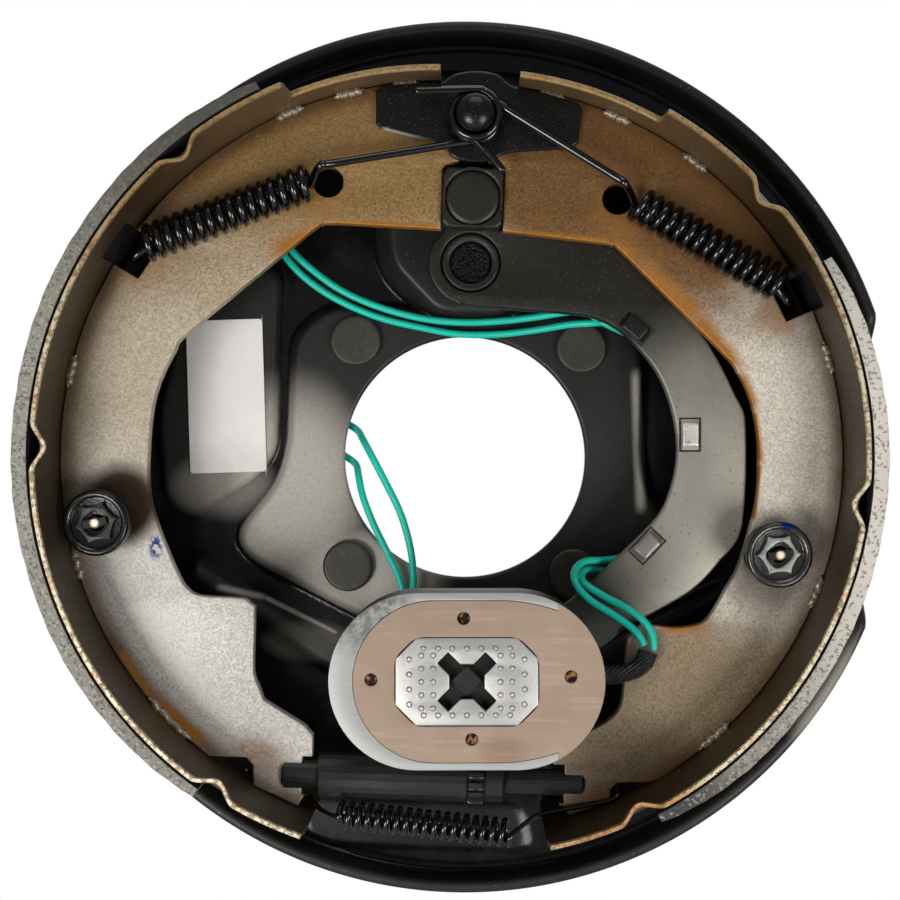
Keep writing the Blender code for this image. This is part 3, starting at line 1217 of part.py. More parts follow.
ARM_LEAD_2 = [
    (45.4, -16.0, 45.2), (49.4, -17.4, 44.6), (57.0, -18.2, 40.0), (65.2, -18.2, 30.4),
    (70.6, -18.2, 17.6), (73.0, -18.2, 4), (71.4, -18.2, -10.2), (66.4, -18.2, -21.6),
    (59.8, -18.2, -29.0), (53.2, -18.3, -32.8), (47.0, -18.5, -34.2), (42.0, -19.0, -33.9),
    (38.6, -21.6, -34.0), (37.4, -25.4, -36.0), (38.4, -28.2, -37.8), (41.4, -29.4, -39.6),
    (45.6, -30.8, -41.8), (50.8, -32.4, -44.2), (55.8, -34.0, -47.6), (58.9, -34.7, -51.8),
    (59.4, -34.8, -56.6)]
SLEEVE_ROUTE = [(57.6, -34.8, -57.2), (56.6, -34.8, -60.4), (53.4, -34.8, -63.0),
                (48.0, -34.8, -64.4), (42.0, -34.8, -64.7), (36.0, -34.8, -64.8)]


def smooth_route(route, spacing):
    """Points along a smooth curve through the route, evenly spaced."""
    knots = [Vector(point) * MM for point in route]
    knots = [knots[0] * 2 - knots[1]] + knots + [knots[-1] * 2 - knots[-2]]
    dense = []
    for index in range(1, len(knots) - 2):
        a, b, c, d = knots[index - 1:index + 3]
        for step in range(12):
            t = step / 12
            dense.append(0.5 * (2 * b + (c - a) * t + (2 * a - 5 * b + 4 * c - d) * t ** 2
                                + (3 * b - a - 3 * c + d) * t ** 3))
    dense.append(knots[-2])
    length = sum((after - before).length for before, after in zip(dense, dense[1:]))
    count = max(2, round(length / spacing))
    points = [dense[0]]
    travelled = 0.0
    for before, after in zip(dense, dense[1:]):
        travelled += (after - before).length
        if travelled >= length / count * len(points) - 1e-9 and len(points) < count:
            points.append(after)
    points.append(dense[-1])
    return points


def cord(name, route, radius, look):
    """A cord as a curve with a round bevel and closed ends."""
    data = bpy.data.curves.new(name, "CURVE")
    data.dimensions = "3D"
    data.bevel_depth = radius
    data.bevel_resolution = 2
    data.use_fill_caps = True
    spline = data.splines.new("POLY")
    points = smooth_route(route, radius * 6)
    spline.points.add(len(points) - 1)
    for target, point in zip(spline.points, points):
        target.co = (*point, 1.0)
    data.materials.append(look)
    made = bpy.data.objects.new(name, data)
    bpy.context.scene.collection.objects.link(made)
    return made


def build_leads(arm_axis, look, sleeve_look):
    """Two leads: from the magnet's sleeve along the arm, and from there over the plate."""
    cord("lead_1_on_plate", PLATE_LEAD_1, LEAD_RADIUS, look)
    cord("lead_2_on_plate", PLATE_LEAD_2, LEAD_RADIUS, look)
    carry(arm_axis, cord("lead_1_on_arm", ARM_LEAD_1, LEAD_RADIUS, look))
    carry(arm_axis, cord("lead_2_on_arm", ARM_LEAD_2, LEAD_RADIUS, look))
    sleeve = [Vector(point) * MM for point in SLEEVE_ROUTE]
    carry(arm_axis, wire("lead_sleeve", sleeve, SLEEVE_RADIUS, sleeve_look, sides=10))


def build():
    """Model the whole brake."""
    clear_scene()
    black = material("black_paint", (0.02, 0.02, 0.02), 0.0, 0.35)
    dark = material("dark_steel", (0.06, 0.058, 0.055), 0.7, 0.45)
    zinc = material("bronze_lacquer", (0.33, 0.24, 0.13), 0.6, 0.4)
    lining = material("lining_compound", (0.3, 0.3, 0.28), 0.0, 0.85)
    steel = material("ground_steel", (0.6, 0.6, 0.6), 1.0, 0.35)
    face = material("friction_resin", (0.55, 0.42, 0.34), 0.0, 0.6)
    copper = material("copper", (0.6, 0.3, 0.18), 1.0, 0.4)
    rubber = material("black_rubber", (0.03, 0.03, 0.03), 0.0, 0.7)
    paper = material("white_label", (0.85, 0.83, 0.82), 0.0, 0.5)
    green = material("green_insulation", (0.0, 0.5, 0.35), 0.0, 0.4)
    build_plate(black)
    build_studs(dark)
    build_anchor(dark, black)
    build_pivot(dark)
    arm_axis = build_lever(dark, dark, dark, dark)
    magnet_looks = {"cup": steel, "core": steel, "face": face, "coil": copper, "screw": copper,
                    "spring": steel}
    build_magnet(arm_axis, magnet_looks)
    shoe_looks = {"table": zinc, "web": zinc, "lining": lining}
    secondary = build_secondary_shoe(shoe_looks)
    primary = build_primary_shoe(shoe_looks)
    build_retractors((secondary, primary), black)
    build_adjuster_spring(black)
    build_adjuster(dark, dark)
    hold_looks = {"pin": steel, "spring": black, "cup": black}
    build_hold_down("secondary", SECONDARY_HOLD_PLACE, hold_looks)
    build_hold_down("primary", PRIMARY_HOLD_PLACE, hold_looks)
    build_label(paper)
    build_plugs(rubber)
    build_grommet(rubber)
    build_leads(arm_axis, green, rubber)


build()
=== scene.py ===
# %% [markdown]
# # An electric trailer brake, dressed for its portrait
#
# The solids of the brake come ready made from the CAD step: they say where every piece is and how
# it moves. This notebook gives them their looks. It sets the camera first, lays the two leads,
# mixes the finishes and then makes each visible piece again as a fine surface worked out with
# numpy: pressed steel, lacquered shoes, wire springs, the magnet and its face.
#
# X points right, Z up and Y away from the viewer, in metres. The viewer stands at negative Y,
# where the brake drum would be.

# %% Load the solids
import json
import math

import bmesh
import bpy
import numpy as np
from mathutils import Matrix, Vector
from mathutils.geometry import tessellate_polygon


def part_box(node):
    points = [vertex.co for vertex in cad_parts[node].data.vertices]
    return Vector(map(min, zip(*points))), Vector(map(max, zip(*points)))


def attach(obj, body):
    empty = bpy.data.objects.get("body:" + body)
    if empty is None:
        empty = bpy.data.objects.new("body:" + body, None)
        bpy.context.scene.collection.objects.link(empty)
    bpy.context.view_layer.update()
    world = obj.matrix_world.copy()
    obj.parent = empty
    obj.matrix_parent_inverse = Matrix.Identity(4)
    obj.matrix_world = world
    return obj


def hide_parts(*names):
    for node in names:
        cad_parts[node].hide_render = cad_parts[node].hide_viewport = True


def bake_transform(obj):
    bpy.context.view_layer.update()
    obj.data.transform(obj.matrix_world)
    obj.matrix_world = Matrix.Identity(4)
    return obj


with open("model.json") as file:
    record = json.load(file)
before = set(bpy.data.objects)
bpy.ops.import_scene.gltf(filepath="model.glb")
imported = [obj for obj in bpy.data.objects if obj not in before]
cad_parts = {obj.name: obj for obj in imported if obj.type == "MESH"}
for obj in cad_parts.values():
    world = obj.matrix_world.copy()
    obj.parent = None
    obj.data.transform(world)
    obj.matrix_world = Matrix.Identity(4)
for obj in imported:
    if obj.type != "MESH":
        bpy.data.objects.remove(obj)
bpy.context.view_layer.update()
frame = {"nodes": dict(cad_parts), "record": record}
nodes = frame["nodes"]
MM = 0.001
print("nodes:", len(nodes))

# %% [markdown]
# ## The camera
#
# The photograph looks square at the shoes from about half a metre, so near things look larger than
# the plate behind them. The camera stands where that perspective says, a little left of the axle,
# rolled by two degrees, because the brake is turned slightly in the picture. A small shift puts
# the brake at its place in the frame without turning the camera.

# %% Camera
CAMERA_PLACE = (3.0 * MM, -487.2 * MM, 0.1 * MM)
CAMERA_ROLL = math.radians(-1.9)
FOCAL_PIXELS = 1492
PICTURE_PIXELS = 900
SENSOR_MM = 36.0
camera_data = bpy.data.cameras.new("camera")
camera_data.sensor_width = SENSOR_MM
camera_data.lens = FOCAL_PIXELS / PICTURE_PIXELS * SENSOR_MM
camera_data.shift_x = -24 / PICTURE_PIXELS
camera_data.shift_y = 7 / PICTURE_PIXELS
camera = bpy.data.objects.new("camera", camera_data)
camera.location = CAMERA_PLACE
camera.rotation_euler = (math.radians(90), CAMERA_ROLL, 0.0)
bpy.context.scene.collection.objects.link(camera)
bpy.context.scene.camera = camera
print("lens, mm:", round(camera_data.lens, 1))

# %% [markdown]
# ## Finishes are node trees
#
# Every finish is a few nodes: noise and cells for dirt, flakes and grain, and one Principled
# shader that they feed. A short helper makes a node, sets its values and joins its links in one
# call, so that a material reads like a recipe.

# %% A helper for nodes
def put(tree, kind, inputs=None, **settings):
    """Add a node. Each input takes a plain value, or a socket, which is then linked to it."""
    made = tree.nodes.new("ShaderNode" + kind)
    for name, value in settings.items():
        setattr(made, name, value)
    for name, value in (inputs or {}).items():
        if isinstance(value, bpy.types.NodeSocket):
            tree.links.new(value, made.inputs[name])
        else:
            made.inputs[name].default_value = value
    return made


def math_node(tree, operation, first, second=0.0, clamp=False):
    """One sum on numbers or sockets."""
    return put(tree, "Math", {0: first, 1: second}, operation=operation, use_clamp=clamp).outputs[0]


def times(tree, first, second, clamp=False):
    """One value times another: the sum that the masks use most."""
    return math_node(tree, "MULTIPLY", first, second, clamp=clamp)


def scaled_sum(tree, value, factor, offset):
    """The value times the factor, plus the offset."""
    return put(tree, "Math", {0: value, 1: factor, 2: offset}, operation="MULTIPLY_ADD").outputs[0]


def ramp(tree, value, low, high):
    """A number that goes smoothly from 0 at low to 1 at high."""
    made = put(tree, "MapRange", {"Value": value, "From Min": low, "From Max": high},
               interpolation_type="SMOOTHSTEP")
    return made.outputs["Result"]


def blend_colours(tree, share, first, second, mode="MIX"):
    """The first colour, with the second laid over it by the share."""
    made = put(tree, "Mix", data_type="RGBA", blend_type=mode)
    sockets = {"Factor": made.inputs[0], "A": made.inputs[6], "B": made.inputs[7]}
    for name, value in (("Factor", share), ("A", first), ("B", second)):
        if isinstance(value, bpy.types.NodeSocket):
            tree.links.new(value, sockets[name])
        elif name == "Factor":
            sockets[name].default_value = value
        else:
            sockets[name].default_value = (*value, 1.0)
    return made.outputs[2]


def place_parts(tree):
    """The point on the object in metres, whole and as x, y and z."""
    point = put(tree, "TexCoord").outputs["Object"]
    parts = put(tree, "SeparateXYZ", {"Vector": point})
    return point, parts.outputs["X"], parts.outputs["Y"], parts.outputs["Z"]


def noise(tree, point, scale, detail=3.0, roughness=0.55):
    """Cloudy noise from 0 to 1, with the scale in cycles per metre."""
    made = put(tree, "TexNoise", {"Vector": point, "Scale": scale, "Detail": detail,
                                  "Roughness": roughness})
    return made.outputs["Fac"]


def new_group(name, inputs, outputs):
    """A node group with float inputs and outputs of the given kinds."""
    group = bpy.data.node_groups.new(name, "ShaderNodeTree")
    for label, value in inputs.items():
        kind = "NodeSocketVector" if value is None else "NodeSocketFloat"
        socket = group.interface.new_socket(label, in_out="INPUT", socket_type=kind)
        if value is not None:
            socket.default_value = value
    for label, kind in outputs.items():
        group.interface.new_socket(label, in_out="OUTPUT", socket_type=kind)
    return group, group.nodes.new("NodeGroupInput"), group.nodes.new("NodeGroupOutput")


def use_group(tree, group, **inputs):
    """Place a group and feed it."""
    made = put(tree, "Group", node_tree=group)
    for label, value in inputs.items():
        if isinstance(value, bpy.types.NodeSocket):
            tree.links.new(value, made.inputs[label])
        else:
            made.inputs[label].default_value = value
    return made.outputs


def new_material(name):
    """An empty material with its shader."""
    made = bpy.data.materials.new(name)
    made.use_nodes = True
    return made, made.node_tree, made.node_tree.nodes["Principled BSDF"]


def feed(tree, shader, height=None, distance=0.0001, **inputs):
    """Join values to the shader's sockets, with an optional bump of that height in metres."""
    for label, value in inputs.items():
        socket = shader.inputs[label.replace("_", " ").title()]
        if isinstance(value, bpy.types.NodeSocket):
            tree.links.new(value, socket)
        elif isinstance(value, tuple):
            socket.default_value = (*value, 1.0)
        else:
            socket.default_value = value
    if height is not None:
        bump = put(tree, "Bump", {"Height": height, "Distance": distance, "Strength": 1.0})
        tree.links.new(bump.outputs["Normal"], shader.inputs["Normal"])


# %% [markdown]
# ## Four effects that several finishes share
#
# Dirt settles in patches, edges and seams rust in spots, lacquer over zinc glitters in fine
# flakes, and rolled or ground steel shows short scratches. Each is a node group, so that all
# pieces of the brake age in the same way.

# %% Shared effects
def dirt_group():
    """Cloudy film: broad noise times finer noise, cut to patches by the amount."""
    group, given, out = new_group("dusty_film", {"Place": None, "Scale": 40.0, "Amount": 0.5},
                                  {"Mask": "NodeSocketFloat"})
    place, scale = given.outputs["Place"], given.outputs["Scale"]
    broad = noise(group, place, scale, 4.0)
    fine = noise(group, place, math_node(group, "MULTIPLY", scale, 9.0), 4.0, 0.7)
    both = scaled_sum(group, fine, 0.45, math_node(group, "MULTIPLY", broad, 0.75))
    low = math_node(group, "SUBTRACT", 0.92, math_node(group, "MULTIPLY", given.outputs["Amount"], 0.6))
    cut = put(group, "MapRange", {"Value": both, "From Min": low, "From Max": 0.98})
    group.links.new(cut.outputs["Result"], out.inputs["Mask"])
    return group


def rust_group():
    """Rust spots: cells whose middles are kept where a broader noise is high."""
    group, given, out = new_group("rust_spots", {"Place": None, "Scale": 260.0, "Amount": 0.5},
                                  {"Mask": "NodeSocketFloat", "Colour": "NodeSocketColor"})
    place = given.outputs["Place"]
    patch = noise(group, place, 55.0, 4.0, 0.6)
    grain = noise(group, place, given.outputs["Scale"], 5.0, 0.75)
    total = math_node(group, "ADD", math_node(group, "MULTIPLY", patch, 0.5),
                      math_node(group, "MULTIPLY", grain, 0.5))
    low = math_node(group, "SUBTRACT", 0.80, math_node(group, "MULTIPLY", given.outputs["Amount"], 0.42))
    high = math_node(group, "ADD", low, 0.10)
    cut = put(group, "MapRange", {"Value": total, "From Min": low, "From Max": high},
              interpolation_type="SMOOTHSTEP")
    colour = blend_colours(group, grain, (0.16, 0.045, 0.012), (0.62, 0.25, 0.06))
    group.links.new(cut.outputs["Result"], out.inputs["Mask"])
    group.links.new(colour, out.inputs["Colour"])
    return group


def flake_group():
    """Glitter: each small cell has one random brightness and its own slight tilt."""
    group, given, out = new_group("lacquer_flakes", {"Place": None, "Scale": 2600.0},
                                  {"Glint": "NodeSocketFloat", "Height": "NodeSocketFloat"})
    cells = put(group, "TexVoronoi", {"Vector": given.outputs["Place"],
                                      "Scale": given.outputs["Scale"]})
    shade = put(group, "SeparateColor", {"Color": cells.outputs["Color"]}).outputs[0]
    pits = noise(group, given.outputs["Place"], 900.0, 2.0)
    group.links.new(shade, out.inputs["Glint"])
    height = math_node(group, "ADD", math_node(group, "MULTIPLY", shade, 0.5), pits)
    group.links.new(height, out.inputs["Height"])
    return group


def scratch_group():
    """Short scratches: noise drawn out along one direction by an uneven scale."""
    group, given, out = new_group("fine_scratches", {"Place": None, "Scale": 300.0},
                                  {"Height": "NodeSocketFloat"})
    drawn = put(group, "VectorMath", {0: given.outputs["Place"], 1: (0.08, 1.0, 1.0)},
                operation="MULTIPLY")
    lines = noise(group, drawn.outputs[0], math_node(group, "MULTIPLY", given.outputs["Scale"], 6.0), 2.0)
    group.links.new(lines, out.inputs["Height"])
    return group


dusty_film = dirt_group()
rust_spots = rust_group()
lacquer_flakes = flake_group()
fine_scratches = scratch_group()
print("effects:", [group.name for group in bpy.data.node_groups])

# %% [markdown]
# ## Stage and light
#
# The photograph was taken on white, with two soft lamps low on either side of the camera: the
# lower edges of the raised parts shine and the shadows fall upwards. The stage is one pale floor
# well below the brake. The world is white to the camera, and to mirrors where they look past the
# brake, but only dim grey on the camera's side and for the light that it sheds, so the picture has
# a white ground and black paint still looks black.

# %% Stage and lamps
world = bpy.data.worlds.new("studio")
world.use_nodes = True
world_tree = world.node_tree
world_tree.nodes.clear()
world_output = put(world_tree, "OutputWorld")
world_ray = put(world_tree, "LightPath")
heading = put(world_tree, "SeparateXYZ", {"Vector": put(world_tree,
                                                        "TexCoord").outputs["Generated"]}).outputs["Y"]
mirrored = math_node(world_tree, "MAXIMUM", world_ray.outputs["Is Glossy Ray"],
                     world_ray.outputs["Is Transmission Ray"])
behind = math_node(world_tree, "MULTIPLY", mirrored, ramp(world_tree, heading, -0.1, 0.3))
white_share = math_node(world_tree, "MAXIMUM", world_ray.outputs["Is Camera Ray"], behind)
DIM_LEVEL = 0.20
strength = scaled_sum(world_tree, white_share, 1.0 - DIM_LEVEL, DIM_LEVEL)
background = put(world_tree, "Background", {"Color": (1.0, 1.0, 1.0, 1.0), "Strength": strength})
world_tree.links.new(background.outputs[0], world_output.inputs["Surface"])
bpy.context.scene.world = world
bpy.context.scene.view_settings.view_transform = "Standard"

FLOOR_LEVEL = -0.62
floor_mesh = bpy.data.meshes.new("floor")
floor_mesh.from_pydata([(-3, -2, FLOOR_LEVEL), (3, -2, FLOOR_LEVEL), (3, 3, FLOOR_LEVEL),
                        (-3, 3, FLOOR_LEVEL)], [],
                       [(0, 1, 2, 3)])
floor = bpy.data.objects.new("floor", floor_mesh)
bpy.context.scene.collection.objects.link(floor)
floor_paint, floor_tree, floor_shader = new_material("pale_floor")
floor_shader.inputs["Base Color"].default_value = (0.72, 0.72, 0.72, 1.0)
floor_shader.inputs["Roughness"].default_value = 0.9
floor_ray = put(floor_tree, "LightPath")
floor_seen = math_node(floor_tree, "MAXIMUM", floor_ray.outputs["Is Camera Ray"],
                       floor_ray.outputs["Is Transmission Ray"])
floor_white = put(floor_tree, "Emission", {"Color": (1.0, 1.0, 1.0, 1.0), "Strength": 1.0})
floor_mix = put(floor_tree, "MixShader", {0: floor_seen, 1: floor_shader.outputs[0],
                                          2: floor_white.outputs[0]})
floor_tree.links.new(floor_mix.outputs[0], floor_tree.nodes["Material Output"].inputs["Surface"])
floor_mesh.materials.append(floor_paint)


def lamp(name, place, aim, size, power):
    """A soft square lamp at a place, turned to its aim."""
    data = bpy.data.lights.new(name, "AREA")
    data.shape = "RECTANGLE"
    data.size, data.size_y = size
    data.energy = power
    made = bpy.data.objects.new(name, data)
    made.location = place
    ahead = Vector(aim) - Vector(place)
    made.rotation_euler = Vector((0.0, 0.0, -1.0)).rotation_difference(ahead).to_euler()
    bpy.context.scene.collection.objects.link(made)
    return made


lamp("low_left", (-0.40, -0.68, -0.34), (0.0, 0.0, 0.0), (0.34, 0.34), 4.6)
lamp("low_right", (0.48, -0.66, -0.30), (0.0, 0.0, 0.0), (0.34, 0.34), 3.4)
lamp("high", (0.0, -0.45, 0.85), (0.0, 0.0, 0.0), (0.6, 0.4), 1.6)
print("stage and lamps are set")

# %% [markdown]
# ## Black paint on pressed steel
#
# The backing plate is dipped in black paint: satin on the flat hub, wetter and glossier low down
# where the paint ran. It has lived in a workshop, so a thin grey dust film lies on it, and rust
# comes through in spots along the lower edge of the hub. Painted highlights, pale grey, lie on the
# hub's left, the label pad, the bead, a slope below the hub, the hub's rolled right edge and the
# rim, where the low lamps shine. Those places are masks on the object's own X and Z, and noise
# breaks their edges.

# %% The plate's paint
def spot(tree, x, z, centre, reach):
    """1 at a place on the plate, falling smoothly to 0 at its reach, all in metres."""
    across = math_node(tree, "DIVIDE", math_node(tree, "SUBTRACT", x, centre[0] * MM), reach[0] * MM)
    up = math_node(tree, "DIVIDE", math_node(tree, "SUBTRACT", z, centre[1] * MM), reach[1] * MM)
    squared = math_node(tree, "ADD", times(tree, across, across),
                        times(tree, up, up))
    return ramp(tree, squared, 1.0, 0.0)


def strip(tree, x, z, start, end, width):
    """1 on the straight line between two places, falling to 0 at the width."""
    run = (end[0] - start[0], end[1] - start[1])
    length = math.hypot(*run)
    along = (run[0] / length, run[1] / length)
    dx = math_node(tree, "SUBTRACT", x, start[0] * MM)
    dz = math_node(tree, "SUBTRACT", z, start[1] * MM)
    far = math_node(tree, "ADD", times(tree, dx, along[0]),
                    times(tree, dz, along[1]))
    off = math_node(tree, "SUBTRACT", times(tree, dx, along[1]),
                    times(tree, dz, along[0]))
    beside = ramp(tree, math_node(tree, "ABSOLUTE", off), width * MM, 0.0)
    inside = times(tree, ramp(tree, far, -width * MM, width * MM),
                   ramp(tree, far, (length + width) * MM, (length - width) * MM))
    return times(tree, beside, inside)


def most(tree, *masks):
    """The highest of several masks."""
    top = masks[0]
    for mask in masks[1:]:
        top = math_node(tree, "MAXIMUM", top, mask)
    return top


def plate_paint():
    """Black paint: a grey dust film, painted pale highlights on the hub's left, the label pad, the
    bead, a slope below the hub, the hub's rolled right edge and the rim, rust spots at the hub's
    lower edge and chips on the rim. Each mask is a place on the plate with its edge broken up by noise."""
    made, tree, shader = new_material("plate_paint")
    point, x, y, z = place_parts(tree)
    film = use_group(tree, dusty_film, Place=point, Scale=38.0, Amount=0.62)["Mask"]
    grain = noise(tree, point, 900.0, 3.0, 0.7)
    front = ramp(tree, y, 2.6 * MM, 1.4 * MM)
    raised = ramp(tree, y, 1.4 * MM, -0.6 * MM)
    # painted highlights: pale grey places where the low lamps shine, gathered in lit below
    pad = spot(tree, x, z, (-78, -12), (20, 13))
    bead = most(tree, strip(tree, x, z, (-79, -45), (-64, -48), 1.6),
                strip(tree, x, z, (-64, -48), (-40, -59), 1.2))
    slope = spot(tree, x, z, (-49, -62), (18, 8))
    left_hub = most(tree, spot(tree, x, z, (-56, -12), (30, 42)), spot(tree, x, z, (-34, -38), (34, 17)))
    roll = strip(tree, x, z, (54.6, 29), (57.6, -15), 2.6)
    rim_patch = spot(tree, x, z, (118, -72), (15, 30))
    lit = most(tree, times(tree, left_hub, raised), times(tree, pad, 0.5),
               bead,
               times(tree, slope, 0.34), roll, times(tree, rim_patch, 0.6))
    lit = times(tree, lit, scaled_sum(tree, grain, 0.6, 0.62), clamp=True)
    lit = times(tree, lit, front)
    dust = times(tree, film, 0.10)
    rust = use_group(tree, rust_spots, Place=point, Scale=420.0, Amount=0.46)
    seam = most(tree, strip(tree, x, z, (-74, -31), (-30, -53), 6),
                strip(tree, x, z, (30, -56), (74, -34), 5),
                spot(tree, x, z, (-30, -58), (12, 8)))
    rusty = times(tree, rust["Mask"], seam)
    chips = times(tree, ramp(tree, noise(tree, point, 700.0, 3.0, 0.7), 0.66, 0.70),
                  ramp(tree, times(tree, y, -1.0), 8.6 * MM, 9.8 * MM))
    colour = blend_colours(tree, raised, (0.0035, 0.0034, 0.0034), (0.0135, 0.0132, 0.012))
    colour = blend_colours(tree, dust, colour, (0.16, 0.155, 0.148))
    colour = blend_colours(tree, lit, colour, (0.44, 0.405, 0.35))
    colour = blend_colours(tree, rusty, colour, rust["Colour"])
    colour = blend_colours(tree, times(tree, chips, 0.6), colour, (0.30, 0.28, 0.25))
    rough = scaled_sum(tree, raised, 0.20, 0.20)
    rough = math_node(tree, "ADD", rough, times(tree, lit, 0.15))
    rough = math_node(tree, "ADD", rough, times(tree, rusty, 0.4), clamp=True)
    peel = noise(tree, point, 420.0, 2.0)
    height = math_node(tree, "ADD", times(tree, peel, 0.5),
                       times(tree, rusty, 1.2))
    shader.inputs["Specular IOR Level"].default_value = 0.32
    feed(tree, shader, height=height, distance=0.00010, base_color=colour, roughness=rough,
         metallic=0.0)
    return made


PLATE_PAINT = plate_paint()
print("finish:", PLATE_PAINT.name, len(PLATE_PAINT.node_tree.nodes), "nodes")

# %% [markdown]
# ## Bronze lacquer on the shoes
#
# The shoes are zinc plated and lacquered: gold and bronze at the top, paler and more silver at the
# lower left, which is partly the plating's tone and partly painted light where the low lamps shine,
# with a fine glitter all over. Rust creeps in from the edges of the webs, round the spring hooks
# and along the welds. Painted shade darkens the webs along the tables, and painted shadows lie
# beside the hold-down cups. The same recipe makes the webs and the tables; the tables are darkened
# all over as painted shade, and their narrow front edge is painted by its own depth, because there
# the plating is worn to a cream colour.

# %% The shoes' lacquer
PAINT_MARK = (0.008, 0.030, 0.20)
AMBER_EDGES = (((-103, -63), (-91.5, -78.5), 1.6), ((-91.5, -78.5), (-77, -89.5), 3.6),
               ((-60, 61), (-43, 69), 5.0), ((-43, 70), (-10, 70), 1.8), ((9, 68.5), (42, 67), 2.6),
               ((42, 67), (51, 61), 7.0), ((51, 61), (69, 45), 6.0), ((69, 45), (83, 29), 5.5),
               ((83, 29), (88, 17), 3.6), ((88, 17), (90.5, 1), 2.2), ((90.5, 1), (89, -16), 1.4),
               ((62, -51), (76, -49), 3.0))


def lacquer_colour(tree, x, z, broad):
    """Gold at the top left, brown at the top right, silver at the lower left, partly the plating's
    tone and partly painted light, and near black where the right shoe ends: four places, each with a
    soft edge, laid over one another."""
    shift = times(tree, math_node(tree, "SUBTRACT", broad, 0.5), 0.05)
    rise = math_node(tree, "ADD", z, shift)
    base = blend_colours(tree, ramp(tree, rise, 0.030, 0.085), (0.44, 0.375, 0.275), (0.28, 0.165, 0.058))
    # paler silver towards the lower left: partly the plating's tone, partly painted light from the low lamps
    base = blend_colours(tree, ramp(tree, rise, 0.010, -0.040), base, (0.56, 0.525, 0.475))
    right = ramp(tree, math_node(tree, "ADD", x, shift), -0.004, 0.012)
    brown = blend_colours(tree, ramp(tree, rise, 0.062, 0.030), (0.165, 0.078, 0.022), (0.62, 0.56, 0.465))
    brown = blend_colours(tree, ramp(tree, rise, -0.036, -0.066), brown, (0.24, 0.18, 0.105))
    base = blend_colours(tree, right, base, brown)
    return blend_colours(tree, times(tree, spot(tree, x, z, (52, -98), (34, 26)), 0.8),
                         base,
                         (0.045, 0.026, 0.010))


